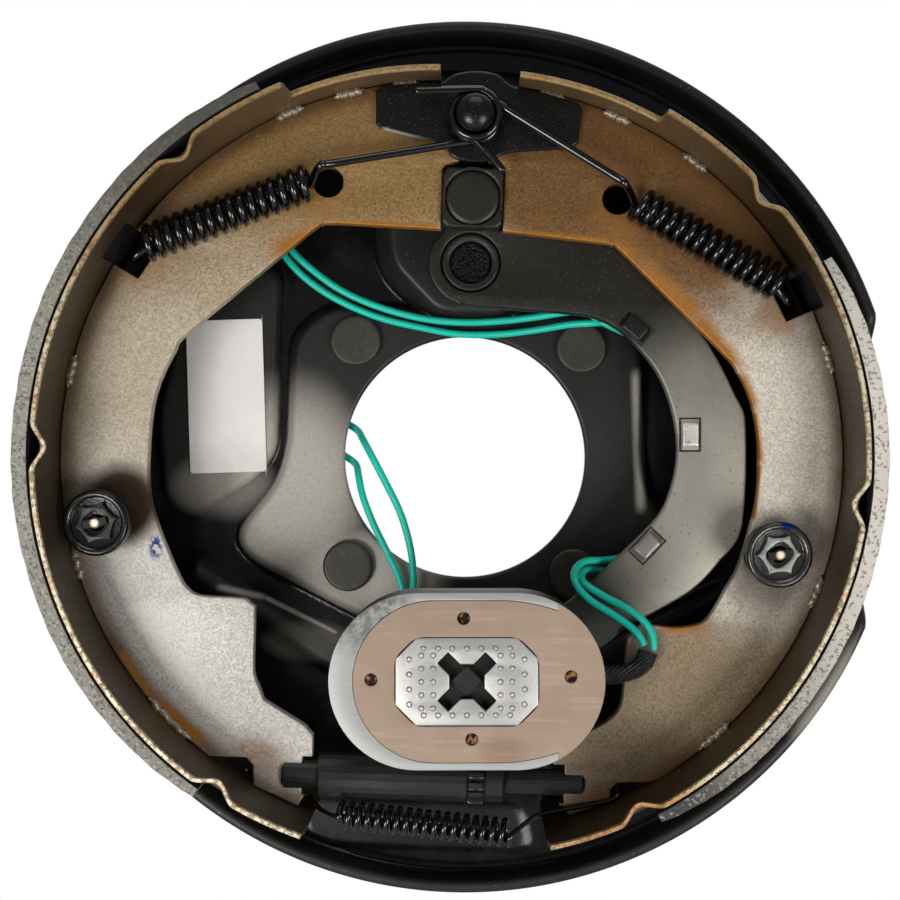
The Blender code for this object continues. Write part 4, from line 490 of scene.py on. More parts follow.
def shoe_lacquer(name, edge_depth=None, neck_depth=0.0):
    """Lacquer: colour by place, flakes for glitter, rust by noise near the seams and hooks,
    painted shade along the tables and painted shadows beside the hold-down cups.
    """
    made, tree, shader = new_material(name)
    point, x, y, z = place_parts(tree)
    flakes = use_group(tree, lacquer_flakes, Place=point, Scale=2100.0)
    broad = noise(tree, point, 26.0, 3.0)
    base = lacquer_colour(tree, x, z, broad)
    glint = scaled_sum(tree, flakes["Glint"], 0.48, 0.77)
    grey = put(tree, "CombineColor", {0: glint, 1: glint, 2: glint}).outputs[0]
    base = blend_colours(tree, 1.0, base, grey, mode="MULTIPLY")
    rust = use_group(tree, rust_spots, Place=point, Scale=330.0, Amount=0.55)
    centre_x = math_node(tree, "SUBTRACT", math_node(tree, "ABSOLUTE", math_node(tree, "ADD", x, 3.3 * MM)),
                         5.5 * MM)
    radius = math_node(tree, "SQRT", math_node(tree, "ADD", times(tree, centre_x, centre_x),
                                               times(tree, z, z)))
    # near the tables: where rust creeps in, and where painted shade darkens the webs
    rim = times(tree, ramp(tree, radius, 0.1075, 0.1140), scaled_sum(tree, broad, 1.5, 0.1),
                clamp=True)
    hooks = most(tree, spot(tree, x, z, (-100, 54), (9, 8)), spot(tree, x, z, (94, 46), (9, 8)),
                 spot(tree, x, z, (-60, -94), (13, 7)), spot(tree, x, z, (-46, 76), (10, 8)),
                 spot(tree, x, z, (46, 76), (14, 9)), spot(tree, x, z, (-96, -16), (9, 8)))
    amber = most(tree, *[strip(tree, x, z, *run) for run in AMBER_EDGES])
    where = most(tree, times(tree, rim, 0.85), hooks)
    rusty = times(tree, rust["Mask"], where)
    stain = times(tree, times(tree, where, 0.85),
                  noise(tree, point, 130.0, 4.0))
    base = blend_colours(tree, stain, base, (0.36, 0.150, 0.035))
    # painted shade: the webs darkened to near black brown along the tables
    base = blend_colours(tree, times(tree, rim, 0.85), base, (0.060, 0.030, 0.012))
    amber = times(tree, amber, scaled_sum(tree, broad, 1.3, 0.45), clamp=True)
    base = blend_colours(tree, amber, base, (0.34, 0.135, 0.016))
    base = blend_colours(tree, rusty, base, rust["Colour"])
    # painted shadows: dark brown patches beside the two hold-down cups
    painted_shadows_by_cups = most(tree, spot(tree, x, z, (-104.5, -18), (16, 16)), times(tree, spot(
        tree, x, z, (93, -30), (19, 19)), 0.6))
    base = blend_colours(tree, times(tree, painted_shadows_by_cups, 1.3, clamp=True), base,
                         (0.030, 0.014, 0.005))
    marked = times(tree, spot(tree, x, z, (-93.4, -30.6), (2.6, 5.0)),
                   ramp(tree, noise(tree, point, 520.0, 2.0), 0.44, 0.54))
    base = blend_colours(tree, marked, base, PAINT_MARK)
    rough = scaled_sum(tree, flakes["Glint"], 0.22, 0.34)
    metal = 0.35
    if edge_depth is not None:
        # painted shade: the whole table darkened to dark brown, lighter brown towards the top
        base = blend_colours(tree, 0.80, base, (0.030, 0.019, 0.008))
        base = blend_colours(tree, times(tree, ramp(tree, z, 0.070, 0.100), 0.6), base,
                             (0.20, 0.125, 0.060))
        nearness = times(tree, y, -1.0)
        neck = times(tree, ramp(tree, math_node(tree, "ABSOLUTE", x), 0.0555, 0.0545),
                     ramp(tree, z, 0.095, 0.096))
        neck = times(tree, neck,
                     ramp(tree, nearness, neck_depth - 0.9 * MM, neck_depth - 0.5 * MM))
        front = most(tree, neck, ramp(tree, nearness, edge_depth - 0.9 * MM, edge_depth - 0.5 * MM))
        ticks = ramp(tree, noise(tree, point, 900.0, 2.0, 0.5), 0.50, 0.58)
        lines = ramp(tree, noise(tree, point, 260.0, 4.0, 0.7), 0.54, 0.62)
        cream = blend_colours(tree, times(tree, ticks, 0.55), (0.66, 0.57, 0.40),
                              (0.24, 0.16, 0.08))
        cream = blend_colours(tree, ramp(tree, z, 0.030, 0.075), cream, (0.34, 0.225, 0.095))
        rusted = spot(tree, x, z, (52, -104), (40, 22))
        cream = blend_colours(tree, times(tree, rusted, 0.85), cream, (0.40, 0.190, 0.040))
        cream = blend_colours(tree, times(tree, lines, 0.7), cream, (0.45, 0.17, 0.035))
        cream = blend_colours(tree, times(tree, ticks, 0.4), cream, (0.05, 0.03, 0.015))
        base = blend_colours(tree, front, base, cream)
    rough = math_node(tree, "ADD", rough, times(tree, rusty, 0.35), clamp=True)
    height = math_node(tree, "ADD", flakes["Height"], times(tree, rusty, 0.8))
    feed(tree, shader, height=height, distance=0.00005, base_color=base, roughness=rough,
         metallic=metal)
    return made


SHOE_FRONT = 57.15 * MM
NECK_FRONT = 43.58 * MM
SHOE_LACQUER = shoe_lacquer("shoe_lacquer")
TABLE_LACQUER = shoe_lacquer("table_lacquer", edge_depth=SHOE_FRONT, neck_depth=NECK_FRONT)
print("finishes:", SHOE_LACQUER.name, TABLE_LACQUER.name)

# %% [markdown]
# ## Linings, dark steel and bright steel
#
# A brake lining is resin pressed with fibres and metal grit: matt, grey and speckled. The lever
# arm, the guide plate and the adjuster are oiled or phosphated steel, dark with a broad sheen and
# light specks. The magnet's cup and pole are ground steel. The springs wear thick black enamel.

# %% Linings and steels
def lining_compound():
    """Matt compound: grey cloud, pale and dark specks of two sizes, ground grain as bump."""
    made, tree, shader = new_material("lining_compound")
    point, x, y, z = place_parts(tree)
    cloud = noise(tree, point, 60.0, 4.0, 0.6)
    green = ramp(tree, z, 0.02, 0.10)
    base = blend_colours(tree, green, (0.31, 0.292, 0.245), (0.060, 0.057, 0.040))
    low = ramp(tree, z, -0.02, -0.10)
    base = blend_colours(tree, times(tree, low, 0.6), base, (0.24, 0.215, 0.175))
    base = blend_colours(tree, ramp(tree, x, 0.09, 0.12), base, (0.68, 0.63, 0.55))
    base = blend_colours(tree, spot(tree, x, z, (62, -104), (34, 26)), base, (0.040, 0.038, 0.036))
    base = blend_colours(tree, times(tree, cloud, 0.30), base, (0.12, 0.115, 0.10))
    cells = put(tree, "TexVoronoi", {"Vector": point, "Scale": 1500.0})
    speck = put(tree, "SeparateColor", {"Color": cells.outputs["Color"]}).outputs[0]
    pale = ramp(tree, speck, 0.80, 0.90)
    dark = ramp(tree, speck, 0.22, 0.12)
    base = blend_colours(tree, times(tree, pale, scaled_sum(tree, green, -0.26, 0.30)),
                         base,
                         (0.60, 0.57, 0.50))
    base = blend_colours(tree, times(tree, dark, 0.6), base, (0.06, 0.06, 0.055))
    grain = noise(tree, point, 2200.0, 4.0, 0.7)
    height = math_node(tree, "ADD", grain, times(tree, speck, 0.4))
    feed(tree, shader, height=height, distance=0.00018, base_color=base, roughness=0.88, metallic=0.0)
    return made


def oiled_steel(name, colour, shine, speckle=0.4, metal=0.5, worn=None, level=0.5, marked=None,
                bevel_highlights=()):
    """Dark steel: fine specks of bare metal, dark pits and a cloudy film. A pale place, the argument
    worn, is given as centre, reach and colour: a paler patch on the lever arm, and a painted
    highlight on the end of a hold-down pin. A marked place, as centre and reach, has a dab of blue
    paint. Painted highlights along bevels are given as lines, each from one place to another with
    its width."""
    made, tree, shader = new_material(name)
    point, x, y, z = place_parts(tree)
    cloud = noise(tree, point, 70.0, 4.0)
    lighter = tuple(min(1.0, part * 1.7) for part in colour)
    base = blend_colours(tree, cloud, colour, lighter)
    if worn is not None:
        centre, reach, paler = worn
        share = times(tree, spot(tree, x, z, centre, reach),
                      scaled_sum(tree, cloud, 0.5, 0.7),
                      clamp=True)
        base = blend_colours(tree, share, base, paler)
    grain = noise(tree, point, 1700.0, 2.0, 0.8)
    specks = ramp(tree, grain, 0.62, 0.74)
    base = blend_colours(tree, times(tree, specks, speckle), base, (0.36, 0.34, 0.31))
    pits = ramp(tree, noise(tree, point, 820.0, 3.0, 0.7), 0.38, 0.31)
    base = blend_colours(tree, times(tree, pits, 0.75), base, (0.010, 0.010, 0.009))
    # painted highlights: pale grey lines along the bevels
    if bevel_highlights:
        lines = most(tree, *[strip(tree, x, z, *run) for run in bevel_highlights])
        base = blend_colours(tree, times(tree, lines, scaled_sum(tree, cloud, 0.8, 0.5),
                                         clamp=True),
                             base, (0.40, 0.38, 0.35))
    if marked is not None:
        dab = times(tree, spot(tree, x, z, *marked), 1.6, clamp=True)
        base = blend_colours(tree, dab, base, PAINT_MARK)
    film = use_group(tree, dusty_film, Place=point, Scale=60.0, Amount=0.45)["Mask"]
    rough = math_node(tree, "ADD", scaled_sum(tree, cloud, 0.14, shine),
                      times(tree, film, 0.15),
                      clamp=True)
    height = math_node(tree, "ADD", grain, times(tree, noise(tree, point, 900.0), 0.6))
    shader.inputs["Specular IOR Level"].default_value = level
    feed(tree, shader, height=height, distance=0.00005, base_color=base, roughness=rough,
         metallic=metal)
    return made


def ground_steel(name, colour, shine, front=None):
    """Bright steel: drawn scratches that change colour, roughness and bump together. With a front
    given, the sides behind the face at that depth are coloured near black and the face is tarnished
    at its upper left."""
    made, tree, shader = new_material(name)
    point, x, y, z = place_parts(tree)
    lines = use_group(tree, fine_scratches, Place=point, Scale=320.0)["Height"]
    base = blend_colours(tree, lines, tuple(part * 0.8 for part in colour), colour)
    if front is not None:
        tarnish = times(tree, spot(tree, x, z, (-26, -47), (17, 15)),
                        scaled_sum(tree, noise(tree, point, 420.0, 4.0, 0.7), 3.2, -0.9), clamp=True)
        base = blend_colours(tree, times(tree, tarnish, 0.8), base, (0.075, 0.080, 0.072))
        base = blend_colours(tree, ramp(tree, y, front + 0.15 * MM, front + 0.4 * MM), base,
                             (0.012, 0.010, 0.009))
    rough = scaled_sum(tree, lines, 0.18, shine)
    metal = 0.9 if front is None else 0.55
    feed(tree, shader, height=lines, distance=0.00003, base_color=base, roughness=rough, metallic=metal)
    return made


def spring_enamel():
    """Thick glossy black, a little lumpy, with a clear coat over it."""
    made, tree, shader = new_material("spring_enamel")
    point, x, y, z = place_parts(tree)
    film = use_group(tree, dusty_film, Place=point, Scale=90.0, Amount=0.35)["Mask"]
    base = blend_colours(tree, times(tree, film, 0.05), (0.0018, 0.0018, 0.0020),
                         (0.10, 0.09, 0.075))
    feed(tree, shader, height=noise(tree, point, 800.0, 2.0), distance=0.00004, base_color=base,
         roughness=scaled_sum(tree, film, 0.25, 0.14), metallic=0.0, coat_weight=0.4)
    return made


LINING = lining_compound()
ARM_STEEL = oiled_steel("arm_steel", (0.014, 0.0135, 0.011), 0.36, speckle=0.3,
                        worn=((84, -8), (52, 68), (0.33, 0.305, 0.255)))
# the guide plate's bevels get painted highlights
GUIDE_STEEL = oiled_steel("guide_steel", (0.0036, 0.0036, 0.0032), 0.18, speckle=0.25, metal=0.0, level=0.3,
                          bevel_highlights=(((-28, 98.6), (-12, 94.6), 1.3), ((31, 93.4), (33.5, 95.8), 1.6)))
BLOCK_STEEL = oiled_steel("block_steel", (0.020, 0.019, 0.015), 0.34, speckle=0.2)
ADJUSTER_STEEL = oiled_steel("adjuster_steel", (0.020, 0.0205, 0.018), 0.24, speckle=0.2)
BRIGHT_STEEL = ground_steel("bright_steel", (0.58, 0.57, 0.55), 0.26)
STUD_STEEL = oiled_steel("stud_steel", (0.036, 0.033, 0.026), 0.40, speckle=0.35)
ENAMEL = spring_enamel()
print("finishes so far:", len(bpy.data.materials))

# %% [markdown]
# ## The magnet, the leads and the small things
#
# The friction face is a pinkish tan resin, worn matt by handling. The pole in its middle is plain
# steel with a grid of punched dimples, drawn here as a bump of evenly spaced round dots in the
# magnet's own turned axes. The leads are green plastic with a soft shine, the sleeve and the
# plugs are black rubber, and the label is bare coated paper, slightly soiled.

# %% Magnet finishes
MAGNET_CENTRE = (3.1 * MM, -64.6 * MM)
MAGNET_TILT = math.radians(2.0)
MAGNET_LEVEL = -57.95 * MM
CORE_HALF = (20.6 * MM, 12.6 * MM)


DIMPLE_LINES = (("Z", 9.6, 4.15, 0.5, 14.2), ("X", 16.6, 4.3, 0.5, 8.8), ("X", 13.1, 3.8, 0.0, 9.0),
                ("X", 9.7, 3.8, 0.0, 9.0))


def dimple(tree, line, run, place, pitch, offset, reach):
    """Round dots along a line: the distance across it and to the nearest whole pitch along it."""
    steps = math_node(tree, "ADD", math_node(tree, "DIVIDE", run, pitch * MM), offset + 0.5)
    along = times(tree, math_node(tree, "SUBTRACT", math_node(tree, "FRACT", steps), 0.5),
                  pitch)
    across = math_node(tree, "SUBTRACT", math_node(tree, "DIVIDE", math_node(tree, "ABSOLUTE", line), MM),
                       place)
    away = math_node(tree, "SQRT", math_node(tree, "ADD", times(tree, along, along),
                                             times(tree, across, across)))
    shown = ramp(tree, math_node(tree, "ABSOLUTE", run), (reach + 0.2) * MM, reach * MM)
    return times(tree, ramp(tree, away, 0.95, 0.45), shown)


def pole_steel():
    """Ground steel with lines of round dimples near the pole's edges, and painted shade: near black
    on its sides and inside its hole, behind the front face.
    """
    made, tree, shader = new_material("pole_steel")
    point, x, y, z = place_parts(tree)
    turned = put(tree, "Mapping", {"Vector": point, "Location": (-MAGNET_CENTRE[0], 0.0,
                                                                 -MAGNET_CENTRE[1])})
    turned = put(tree, "Mapping", {"Vector": turned.outputs[0], "Rotation": (0.0, MAGNET_TILT, 0.0)})
    parts = put(tree, "SeparateXYZ", {"Vector": turned.outputs[0]})
    dots = []
    for axis, place, pitch, offset, reach in DIMPLE_LINES:
        run = parts.outputs["X" if axis == "Z" else "Z"]
        dots.append(dimple(tree, parts.outputs[axis], run, place, pitch, offset * (axis == "X"), reach))
    dot = most(tree, *dots)
    grain = noise(tree, point, 1400.0, 4.0, 0.7)
    cloud = noise(tree, point, 120.0, 3.0)
    base = blend_colours(tree, cloud, (0.40, 0.39, 0.365), (0.54, 0.525, 0.50))
    base = blend_colours(tree, times(tree, dot, 0.25), base, (0.75, 0.73, 0.70))
    # painted shade: near black, and not metallic, on the sides and in the hole behind the front face
    base = blend_colours(tree, ramp(tree, y, MAGNET_LEVEL + 0.2 * MM, MAGNET_LEVEL + 0.7 * MM), base,
                         (0.002, 0.002, 0.002))
    height = math_node(tree, "ADD", times(tree, grain, 0.12), dot)
    metal = ramp(tree, y, MAGNET_LEVEL + 0.7 * MM, MAGNET_LEVEL + 0.2 * MM)
    feed(tree, shader, height=height, distance=0.0005, base_color=base, roughness=0.42,
         metallic=times(tree, metal, 0.8))
    return made


def friction_resin():
    """Tan resin: pink cloud, fine dark grit and long faint rubbing marks."""
    made, tree, shader = new_material("friction_resin")
    point, x, y, z = place_parts(tree)
    cloud = noise(tree, point, 90.0, 4.0, 0.6)
    base = blend_colours(tree, cloud, (0.26, 0.174, 0.120), (0.36, 0.262, 0.190))
    pink = spot(tree, x, z, (14, -84), (9, 6))
    base = blend_colours(tree, times(tree, pink, 0.6), base, (0.21, 0.115, 0.075))
    grit = ramp(tree, noise(tree, point, 2300.0, 3.0, 0.8), 0.60, 0.70)
    base = blend_colours(tree, times(tree, grit, 0.45), base, (0.20, 0.13, 0.10))
    rubbed = use_group(tree, fine_scratches, Place=point, Scale=90.0)["Height"]
    base = blend_colours(tree, times(tree, ramp(tree, rubbed, 0.56, 0.72), 0.18), base,
                         (0.56, 0.45, 0.36))
    height = math_node(tree, "ADD", noise(tree, point, 1700.0, 4.0, 0.7),
                       times(tree, rubbed, 0.6))
    feed(tree, shader, height=height, distance=0.00008, base_color=base, roughness=0.62, metallic=0.0)
    return made


def copper_head():
    """Soft copper in a dark hole: bright and nearly black patches about a millimetre across; the
    copper's own colour, with the nearly black patches as painted shade of the hole.
    """
    made, tree, shader = new_material("copper")
    point, x, y, z = place_parts(tree)
    patch = ramp(tree, noise(tree, point, 620.0, 2.0, 0.4), 0.46, 0.56)
    # painted shade: nearly black patches among the copper stand in for the hole's shade
    base = blend_colours(tree, patch, (0.020, 0.010, 0.006), (0.36, 0.16, 0.065))
    feed(tree, shader, height=patch, distance=0.0003, base_color=base, roughness=0.32, metallic=0.6)
    return made


def soft_plastic(name, colour, shine, film_share=0.2, lumps=0.00004):
    """Plastic or rubber: a colour with a slight cloud, dust film and fine unevenness."""
    made, tree, shader = new_material(name)
    point, x, y, z = place_parts(tree)
    cloud = noise(tree, point, 160.0, 3.0)
    base = blend_colours(tree, cloud, tuple(part * 0.8 for part in colour), colour)
    film = use_group(tree, dusty_film, Place=point, Scale=120.0, Amount=0.5)["Mask"]
    film = times(tree, film, film_share)
    base = blend_colours(tree, film, base, (0.42, 0.41, 0.39))
    rough = scaled_sum(tree, cloud, 0.15, shine)
    feed(tree, shader, height=noise(tree, point, 1200.0, 3.0), distance=lumps, base_color=base,
         roughness=rough, metallic=0.0)
    return made


def woven_sleeve():
    """Braided black sleeving: two sets of fine ribs crossing at forty-five degrees, as bump."""
    made, tree, shader = new_material("sleeve_braid")
    point, x, y, z = place_parts(tree)
    ribs = []
    for turn in (math.radians(38.0), math.radians(-52.0)):
        leaned = put(tree, "Mapping", {"Vector": point, "Rotation": (0.0, turn, 0.0)})
        ribs.append(put(tree, "TexWave", {"Vector": leaned.outputs[0], "Scale": 330.0, "Distortion": 1.5},
                        bands_direction="X").outputs["Fac"])
    weave = math_node(tree, "MAXIMUM", *ribs)
    base = blend_colours(tree, weave, (0.001, 0.001, 0.001), (0.012, 0.016, 0.015))
    feed(tree, shader, height=weave, distance=0.0005, base_color=base, roughness=0.34, metallic=0.0)
    return made


def bare_label():
    """Coated paper: off-white, a soiled lower edge, faint lengthwise creases."""
    made, tree, shader = new_material("bare_label")
    point, x, y, z = place_parts(tree)
    cloud = noise(tree, point, 110.0, 4.0, 0.6)
    base = blend_colours(tree, cloud, (0.74, 0.705, 0.665), (0.84, 0.80, 0.765))
    soiled = times(tree, ramp(tree, z, 0.006, -0.008), 0.5)
    soiled = times(tree, soiled, noise(tree, point, 300.0, 4.0, 0.7))
    base = blend_colours(tree, soiled, base, (0.40, 0.36, 0.31))
    crease = put(tree, "TexWave", {"Vector": point, "Scale": 60.0, "Distortion": 5.0, "Detail": 2.0},
                 bands_direction="X").outputs["Fac"]
    feed(tree, shader, height=crease, distance=0.00006, base_color=base, roughness=0.46, metallic=0.0)
    return made


POLE = pole_steel()
RESIN = friction_resin()
LEAD_PLASTIC = soft_plastic("lead_plastic", (0.0, 0.56, 0.42), 0.36, film_share=0.04)
RUBBER = soft_plastic("black_rubber", (0.007, 0.007, 0.007), 0.52)
SLEEVE_PLASTIC = woven_sleeve()
LABEL = bare_label()
GREASE = soft_plastic("old_grease", (0.0035, 0.0035, 0.003), 0.06, film_share=0.0, lumps=0.0022)
COPPER = copper_head()
MAGNET_STEEL = ground_steel("magnet_steel", (0.42, 0.415, 0.40), 0.42, front=MAGNET_LEVEL)
print("finishes:", sorted(material.name for material in bpy.data.materials if material.users == 0)[:30])

# %% [markdown]
# ## Surfaces from arrays
#
# A surface here is an array of points, rows by columns, worked out in one go with numpy. Four
# neighbours make one face. A tube is a circle carried along a path, a turned piece is a profile
# carried round an axis, and a pressed plate is an outline carried round its rolled edge and closed
# with two flat faces.

# %% From points to a piece
def grid_faces(rows, columns, wrap_rows=False, wrap_columns=False):
    """Quads between neighbours on a grid; a wrapped side joins the last line to the first."""
    index = np.arange(rows * columns).reshape(rows, columns)
    if wrap_rows:
        index = np.vstack([index, index[:1]])
    if wrap_columns:
        index = np.hstack([index, index[:, :1]])
    return np.stack([index[:-1, :-1], index[1:, :-1], index[1:, 1:], index[:-1, 1:]], axis=-1).reshape(-1,
                                                                                                       4)


def make_piece(name, points, faces, material, smooth=40.0, weld=0.00001):
    """Put points and faces into a mesh, close its seams, turn its faces out and give its finish."""
    mesh = bpy.data.meshes.new(name)
    mesh.from_pydata(np.asarray(points, float).reshape(-1, 3).tolist(), [],
                     [list(map(int, face)) for face in faces])
    shape = bmesh.new()
    shape.from_mesh(mesh)
    if weld:
        bmesh.ops.remove_doubles(shape, verts=shape.verts, dist=weld)
    bmesh.ops.recalc_face_normals(shape, faces=shape.faces)
    if shape.calc_volume(signed=True) < 0:
        bmesh.ops.reverse_faces(shape, faces=shape.faces)
    shape.to_mesh(mesh)
    shape.free()
    mesh.shade_smooth()
    mesh.set_sharp_from_angle(angle=math.radians(smooth))
    mesh.materials.append(material)
    made = bpy.data.objects.new(name, mesh)
    bpy.context.scene.collection.objects.link(made)
    return made


def stand_for(piece, body, slot, *names):
    """The piece rides on the body and is shown in place of the named solids."""
    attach(piece, body)
    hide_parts(*names)
    return piece


def slot_of(node):
    """The record's name for the finish of a solid."""
    for row in frame["record"]["subparts"]:
        if row["node"] == node:
            return row["material_slot"]
    return None


def body_of(node):
    """The body that a solid belongs to."""
    for body, members in frame["record"]["behaviour"]["bodies"].items():
        if node in members:
            return body
    return None


def dress(piece, *names):
    """Stand for solids on their own body."""
    return stand_for(piece, body_of(names[0]), slot_of(names[0]), *names)


# %% Paths, tubes and turned pieces
def flowing(route, spacing):
    """A smooth curve through the route's points (Catmull-Rom: each stretch is a cubic whose slope
    at a point is half the step between its neighbours), at even spacing. Metres in and out."""
    knots = np.asarray(route, float)
    knots = np.vstack([2 * knots[0] - knots[1], knots, 2 * knots[-1] - knots[-2]])
    t = np.linspace(0.0, 1.0, 13)[:-1, None, None]
    a, b, c, d = knots[:-3], knots[1:-2], knots[2:-1], knots[3:]
    curve = 0.5 * (2 * b + (c - a) * t + (2 * a - 5 * b + 4 * c - d) * t ** 2
                   + (3 * b - a - 3 * c + d) * t ** 3)
    curve = np.vstack([curve.transpose(1, 0, 2).reshape(-1, 3), knots[-2]])
    travelled = np.concatenate([[0.0], np.cumsum(np.linalg.norm(np.diff(curve, axis=0), axis=1))])
    count = max(2, round(travelled[-1] / spacing))
    even = np.linspace(0.0, travelled[-1], count + 1)
    return np.stack([np.interp(even, travelled, curve[:, axis]) for axis in range(3)], axis=1)


def carried_frames(path):
    """Two directions across the path at each point, carried along it with the least turning."""
    ahead = np.gradient(path, axis=0)
    ahead /= np.linalg.norm(ahead, axis=1)[:, None]
    first = np.cross(ahead[0], (0.31, 0.87, 0.39))
    sides = [first / np.linalg.norm(first)]
    for tangent in ahead[1:]:
        side = sides[-1] - tangent * np.dot(sides[-1], tangent)
        sides.append(side / np.linalg.norm(side))
    sides = np.array(sides)
    return sides, np.cross(ahead, sides)


def tube(path, radius, around=14, domed=True):
    """Points of a tube: centre plus radius times (side cos a + other sin a), with domed ends.
    The radius may be one number or one for each point of the path."""
    path = np.asarray(path, float)
    radius = np.broadcast_to(np.asarray(radius, float), (len(path),)).copy()
    if domed:
        turn = np.radians([90.0, 60.0, 30.0])
        first = (path[0] - path[1]) / np.linalg.norm(path[0] - path[1])
        last = (path[-1] - path[-2]) / np.linalg.norm(path[-1] - path[-2])
        head = path[0] + first * (radius[0] * 0.6 * np.sin(turn))[:, None]
        tail = path[-1] + last * (radius[-1] * 0.6 * np.sin(turn[::-1]))[:, None]
        radius = np.concatenate([radius[0] * np.cos(turn), radius, radius[-1] * np.cos(turn[::-1])])
        path = np.vstack([head, path, tail])
    side, other = carried_frames(path)
    angle = np.linspace(0.0, math.tau, around, endpoint=False)[None, :, None]
    return path[:, None] + radius[:, None, None] * (side[:, None] * np.cos(angle) + other[:, None]
                                                    * np.sin(angle))


def tube_piece(name, path, radius, material, around=14, domed=True):
    """A closed tube along a path."""
    points = tube(path, radius, around, domed)
    faces = grid_faces(*points.shape[:2], wrap_columns=True).tolist()
    total = points.shape[0] * points.shape[1]
    if not domed:
        faces.append(list(range(around)))
        faces.append(list(range(total - around, total)))
    return make_piece(name, points, faces, material, smooth=60.0)


def rounded_profile(corners, radius, steps=4):
    """Cut each inner corner of a line of (radius, depth) points with a small curve: a quadratic
    arc from the edge before the corner to the edge after it."""
    corners = np.asarray(corners, float)
    before, here, after = corners[:-2], corners[1:-1], corners[2:]
    back, on = before - here, after - here
    reach_back = np.minimum(radius, 0.45 * np.linalg.norm(back, axis=1)) / np.linalg.norm(back, axis=1)
    reach_on = np.minimum(radius, 0.45 * np.linalg.norm(on, axis=1)) / np.linalg.norm(on, axis=1)
    start, end = here + back * reach_back[:, None], here + on * reach_on[:, None]
    t = np.linspace(0.0, 1.0, steps + 1)[None, :, None]
    curve = start[:, None] * (1 - t) ** 2 + here[:, None] * 2 * t * (1 - t) + end[:, None] * t ** 2
    return np.vstack([corners[:1], curve.reshape(-1, 2), corners[-1:]])


def turned(profile, place, around=64, axis="Y"):
    """Carry a profile of (radius, distance along the axis) round the axis at a place."""
    profile = np.asarray(profile, float)
    angle = np.linspace(0.0, math.tau, around, endpoint=False)
    ring_a = profile[:, :1] * np.cos(angle)
    ring_b = profile[:, :1] * np.sin(angle)
    along = np.broadcast_to(profile[:, 1:], ring_a.shape)
    if axis == "Y":
        return np.stack([place[0] + ring_a, along, place[1] + ring_b], axis=-1)
    return np.stack([along, place[0] + ring_a, place[1] + ring_b], axis=-1)


def turned_piece(name, corners, place, material, edge=0.4 * MM, around=64, axis="Y", closed=False):
    """A turned piece with softened corners; a closed profile makes a ring."""
    corners = list(corners)
    if closed:
        corners = corners + corners[:1]
    profile = rounded_profile(corners, edge)
    points = turned(profile, place, around, axis)
    faces = grid_faces(*points.shape[:2], wrap_columns=True)
    return make_piece(name, points, faces, material, smooth=50.0)


# %% Pressed plates from the outlines of the solids
def face_outlines(node, depth):
    """Closed outlines of a solid's flat face at a depth: edges that only one triangle uses."""
    mesh = nodes[node].data
    points = np.empty(len(mesh.vertices) * 3)
    mesh.vertices.foreach_get("co", points)
    corners = np.empty(len(mesh.loops), dtype=int)
    mesh.loops.foreach_get("vertex_index", corners)
    triangles = points.reshape(-1, 3)[corners.reshape(-1, 3)]
    flat = np.abs(triangles[:, :, 1] - depth).max(axis=1) < 0.03 * MM
    plan = np.round(triangles[flat][:, :, [0, 2]] / MM, 3)
    places, index = np.unique(plan.reshape(-1, 2), axis=0, return_inverse=True)
    index = index.reshape(-1, 3)
    edges = np.concatenate([index[:, [0, 1]], index[:, [1, 2]], index[:, [2, 0]]])
    edges = set(map(tuple, edges.tolist()))
    follow = {a: b for a, b in edges if (b, a) not in edges and a != b}
    loops = []
    while follow:
        start, here = follow.popitem()
        loop = [start]
        while here != start:
            loop.append(here)
            here = follow.pop(here)
        loops.append(places[loop] * MM)
    loops.sort(key=lambda loop: -np.ptp(loop, axis=0).max())
    return loops


def winding(loop):
    """Twice the signed area: positive when the outline runs anticlockwise."""
    after = np.roll(loop, -1, axis=0)
    return float(np.sum(loop[:, 0] * after[:, 1] - after[:, 0] * loop[:, 1]))


def finer(loop, passes=2, limit=38.0):
    """Put a point in the middle of each edge, on the smooth curve through its neighbours where the
    outline bends gently: nine sixteenths of the near two minus one sixteenth of the far two."""
    for _ in range(passes):
        before, after = np.roll(loop, 1, axis=0), np.roll(loop, -1, axis=0)
        step_in, step_out = loop - before, after - loop
        turn = np.degrees(np.abs(np.arctan2(step_in[:, 0] * step_out[:, 1] - step_in[:, 1] * step_out[:, 0],
                                            np.sum(step_in * step_out, axis=1))))
        length = np.linalg.norm(step_out, axis=1)
        even = (length < 4 * np.roll(length, 1)) & (length < 4 * np.roll(length, -1))
        gentle = (turn < limit) & (np.roll(turn, -1) < limit) & even
        middle = 0.5 * (loop + after)
        curved = 9 / 16 * (loop + after) - 1 / 16 * (before + np.roll(loop, -2, axis=0))
        middle = np.where(gentle[:, None], curved, middle)
        loop = np.stack([loop, middle], axis=1).reshape(-1, 2)
    return loop


def inset(loop, distance):
    """Move the outline into the material, which lies on its left, by the distance."""
    before = loop - np.roll(loop, 1, axis=0)
    after = np.roll(loop, -1, axis=0) - loop
    before /= np.linalg.norm(before, axis=1)[:, None]
    after /= np.linalg.norm(after, axis=1)[:, None]
    middle = before + after
    middle /= np.linalg.norm(middle, axis=1)[:, None]
    left = np.stack([-middle[:, 1], middle[:, 0]], axis=1)
    stretch = np.maximum(0.6, np.sum(middle * after, axis=1))
    return loop + left * (distance / stretch)[:, None]


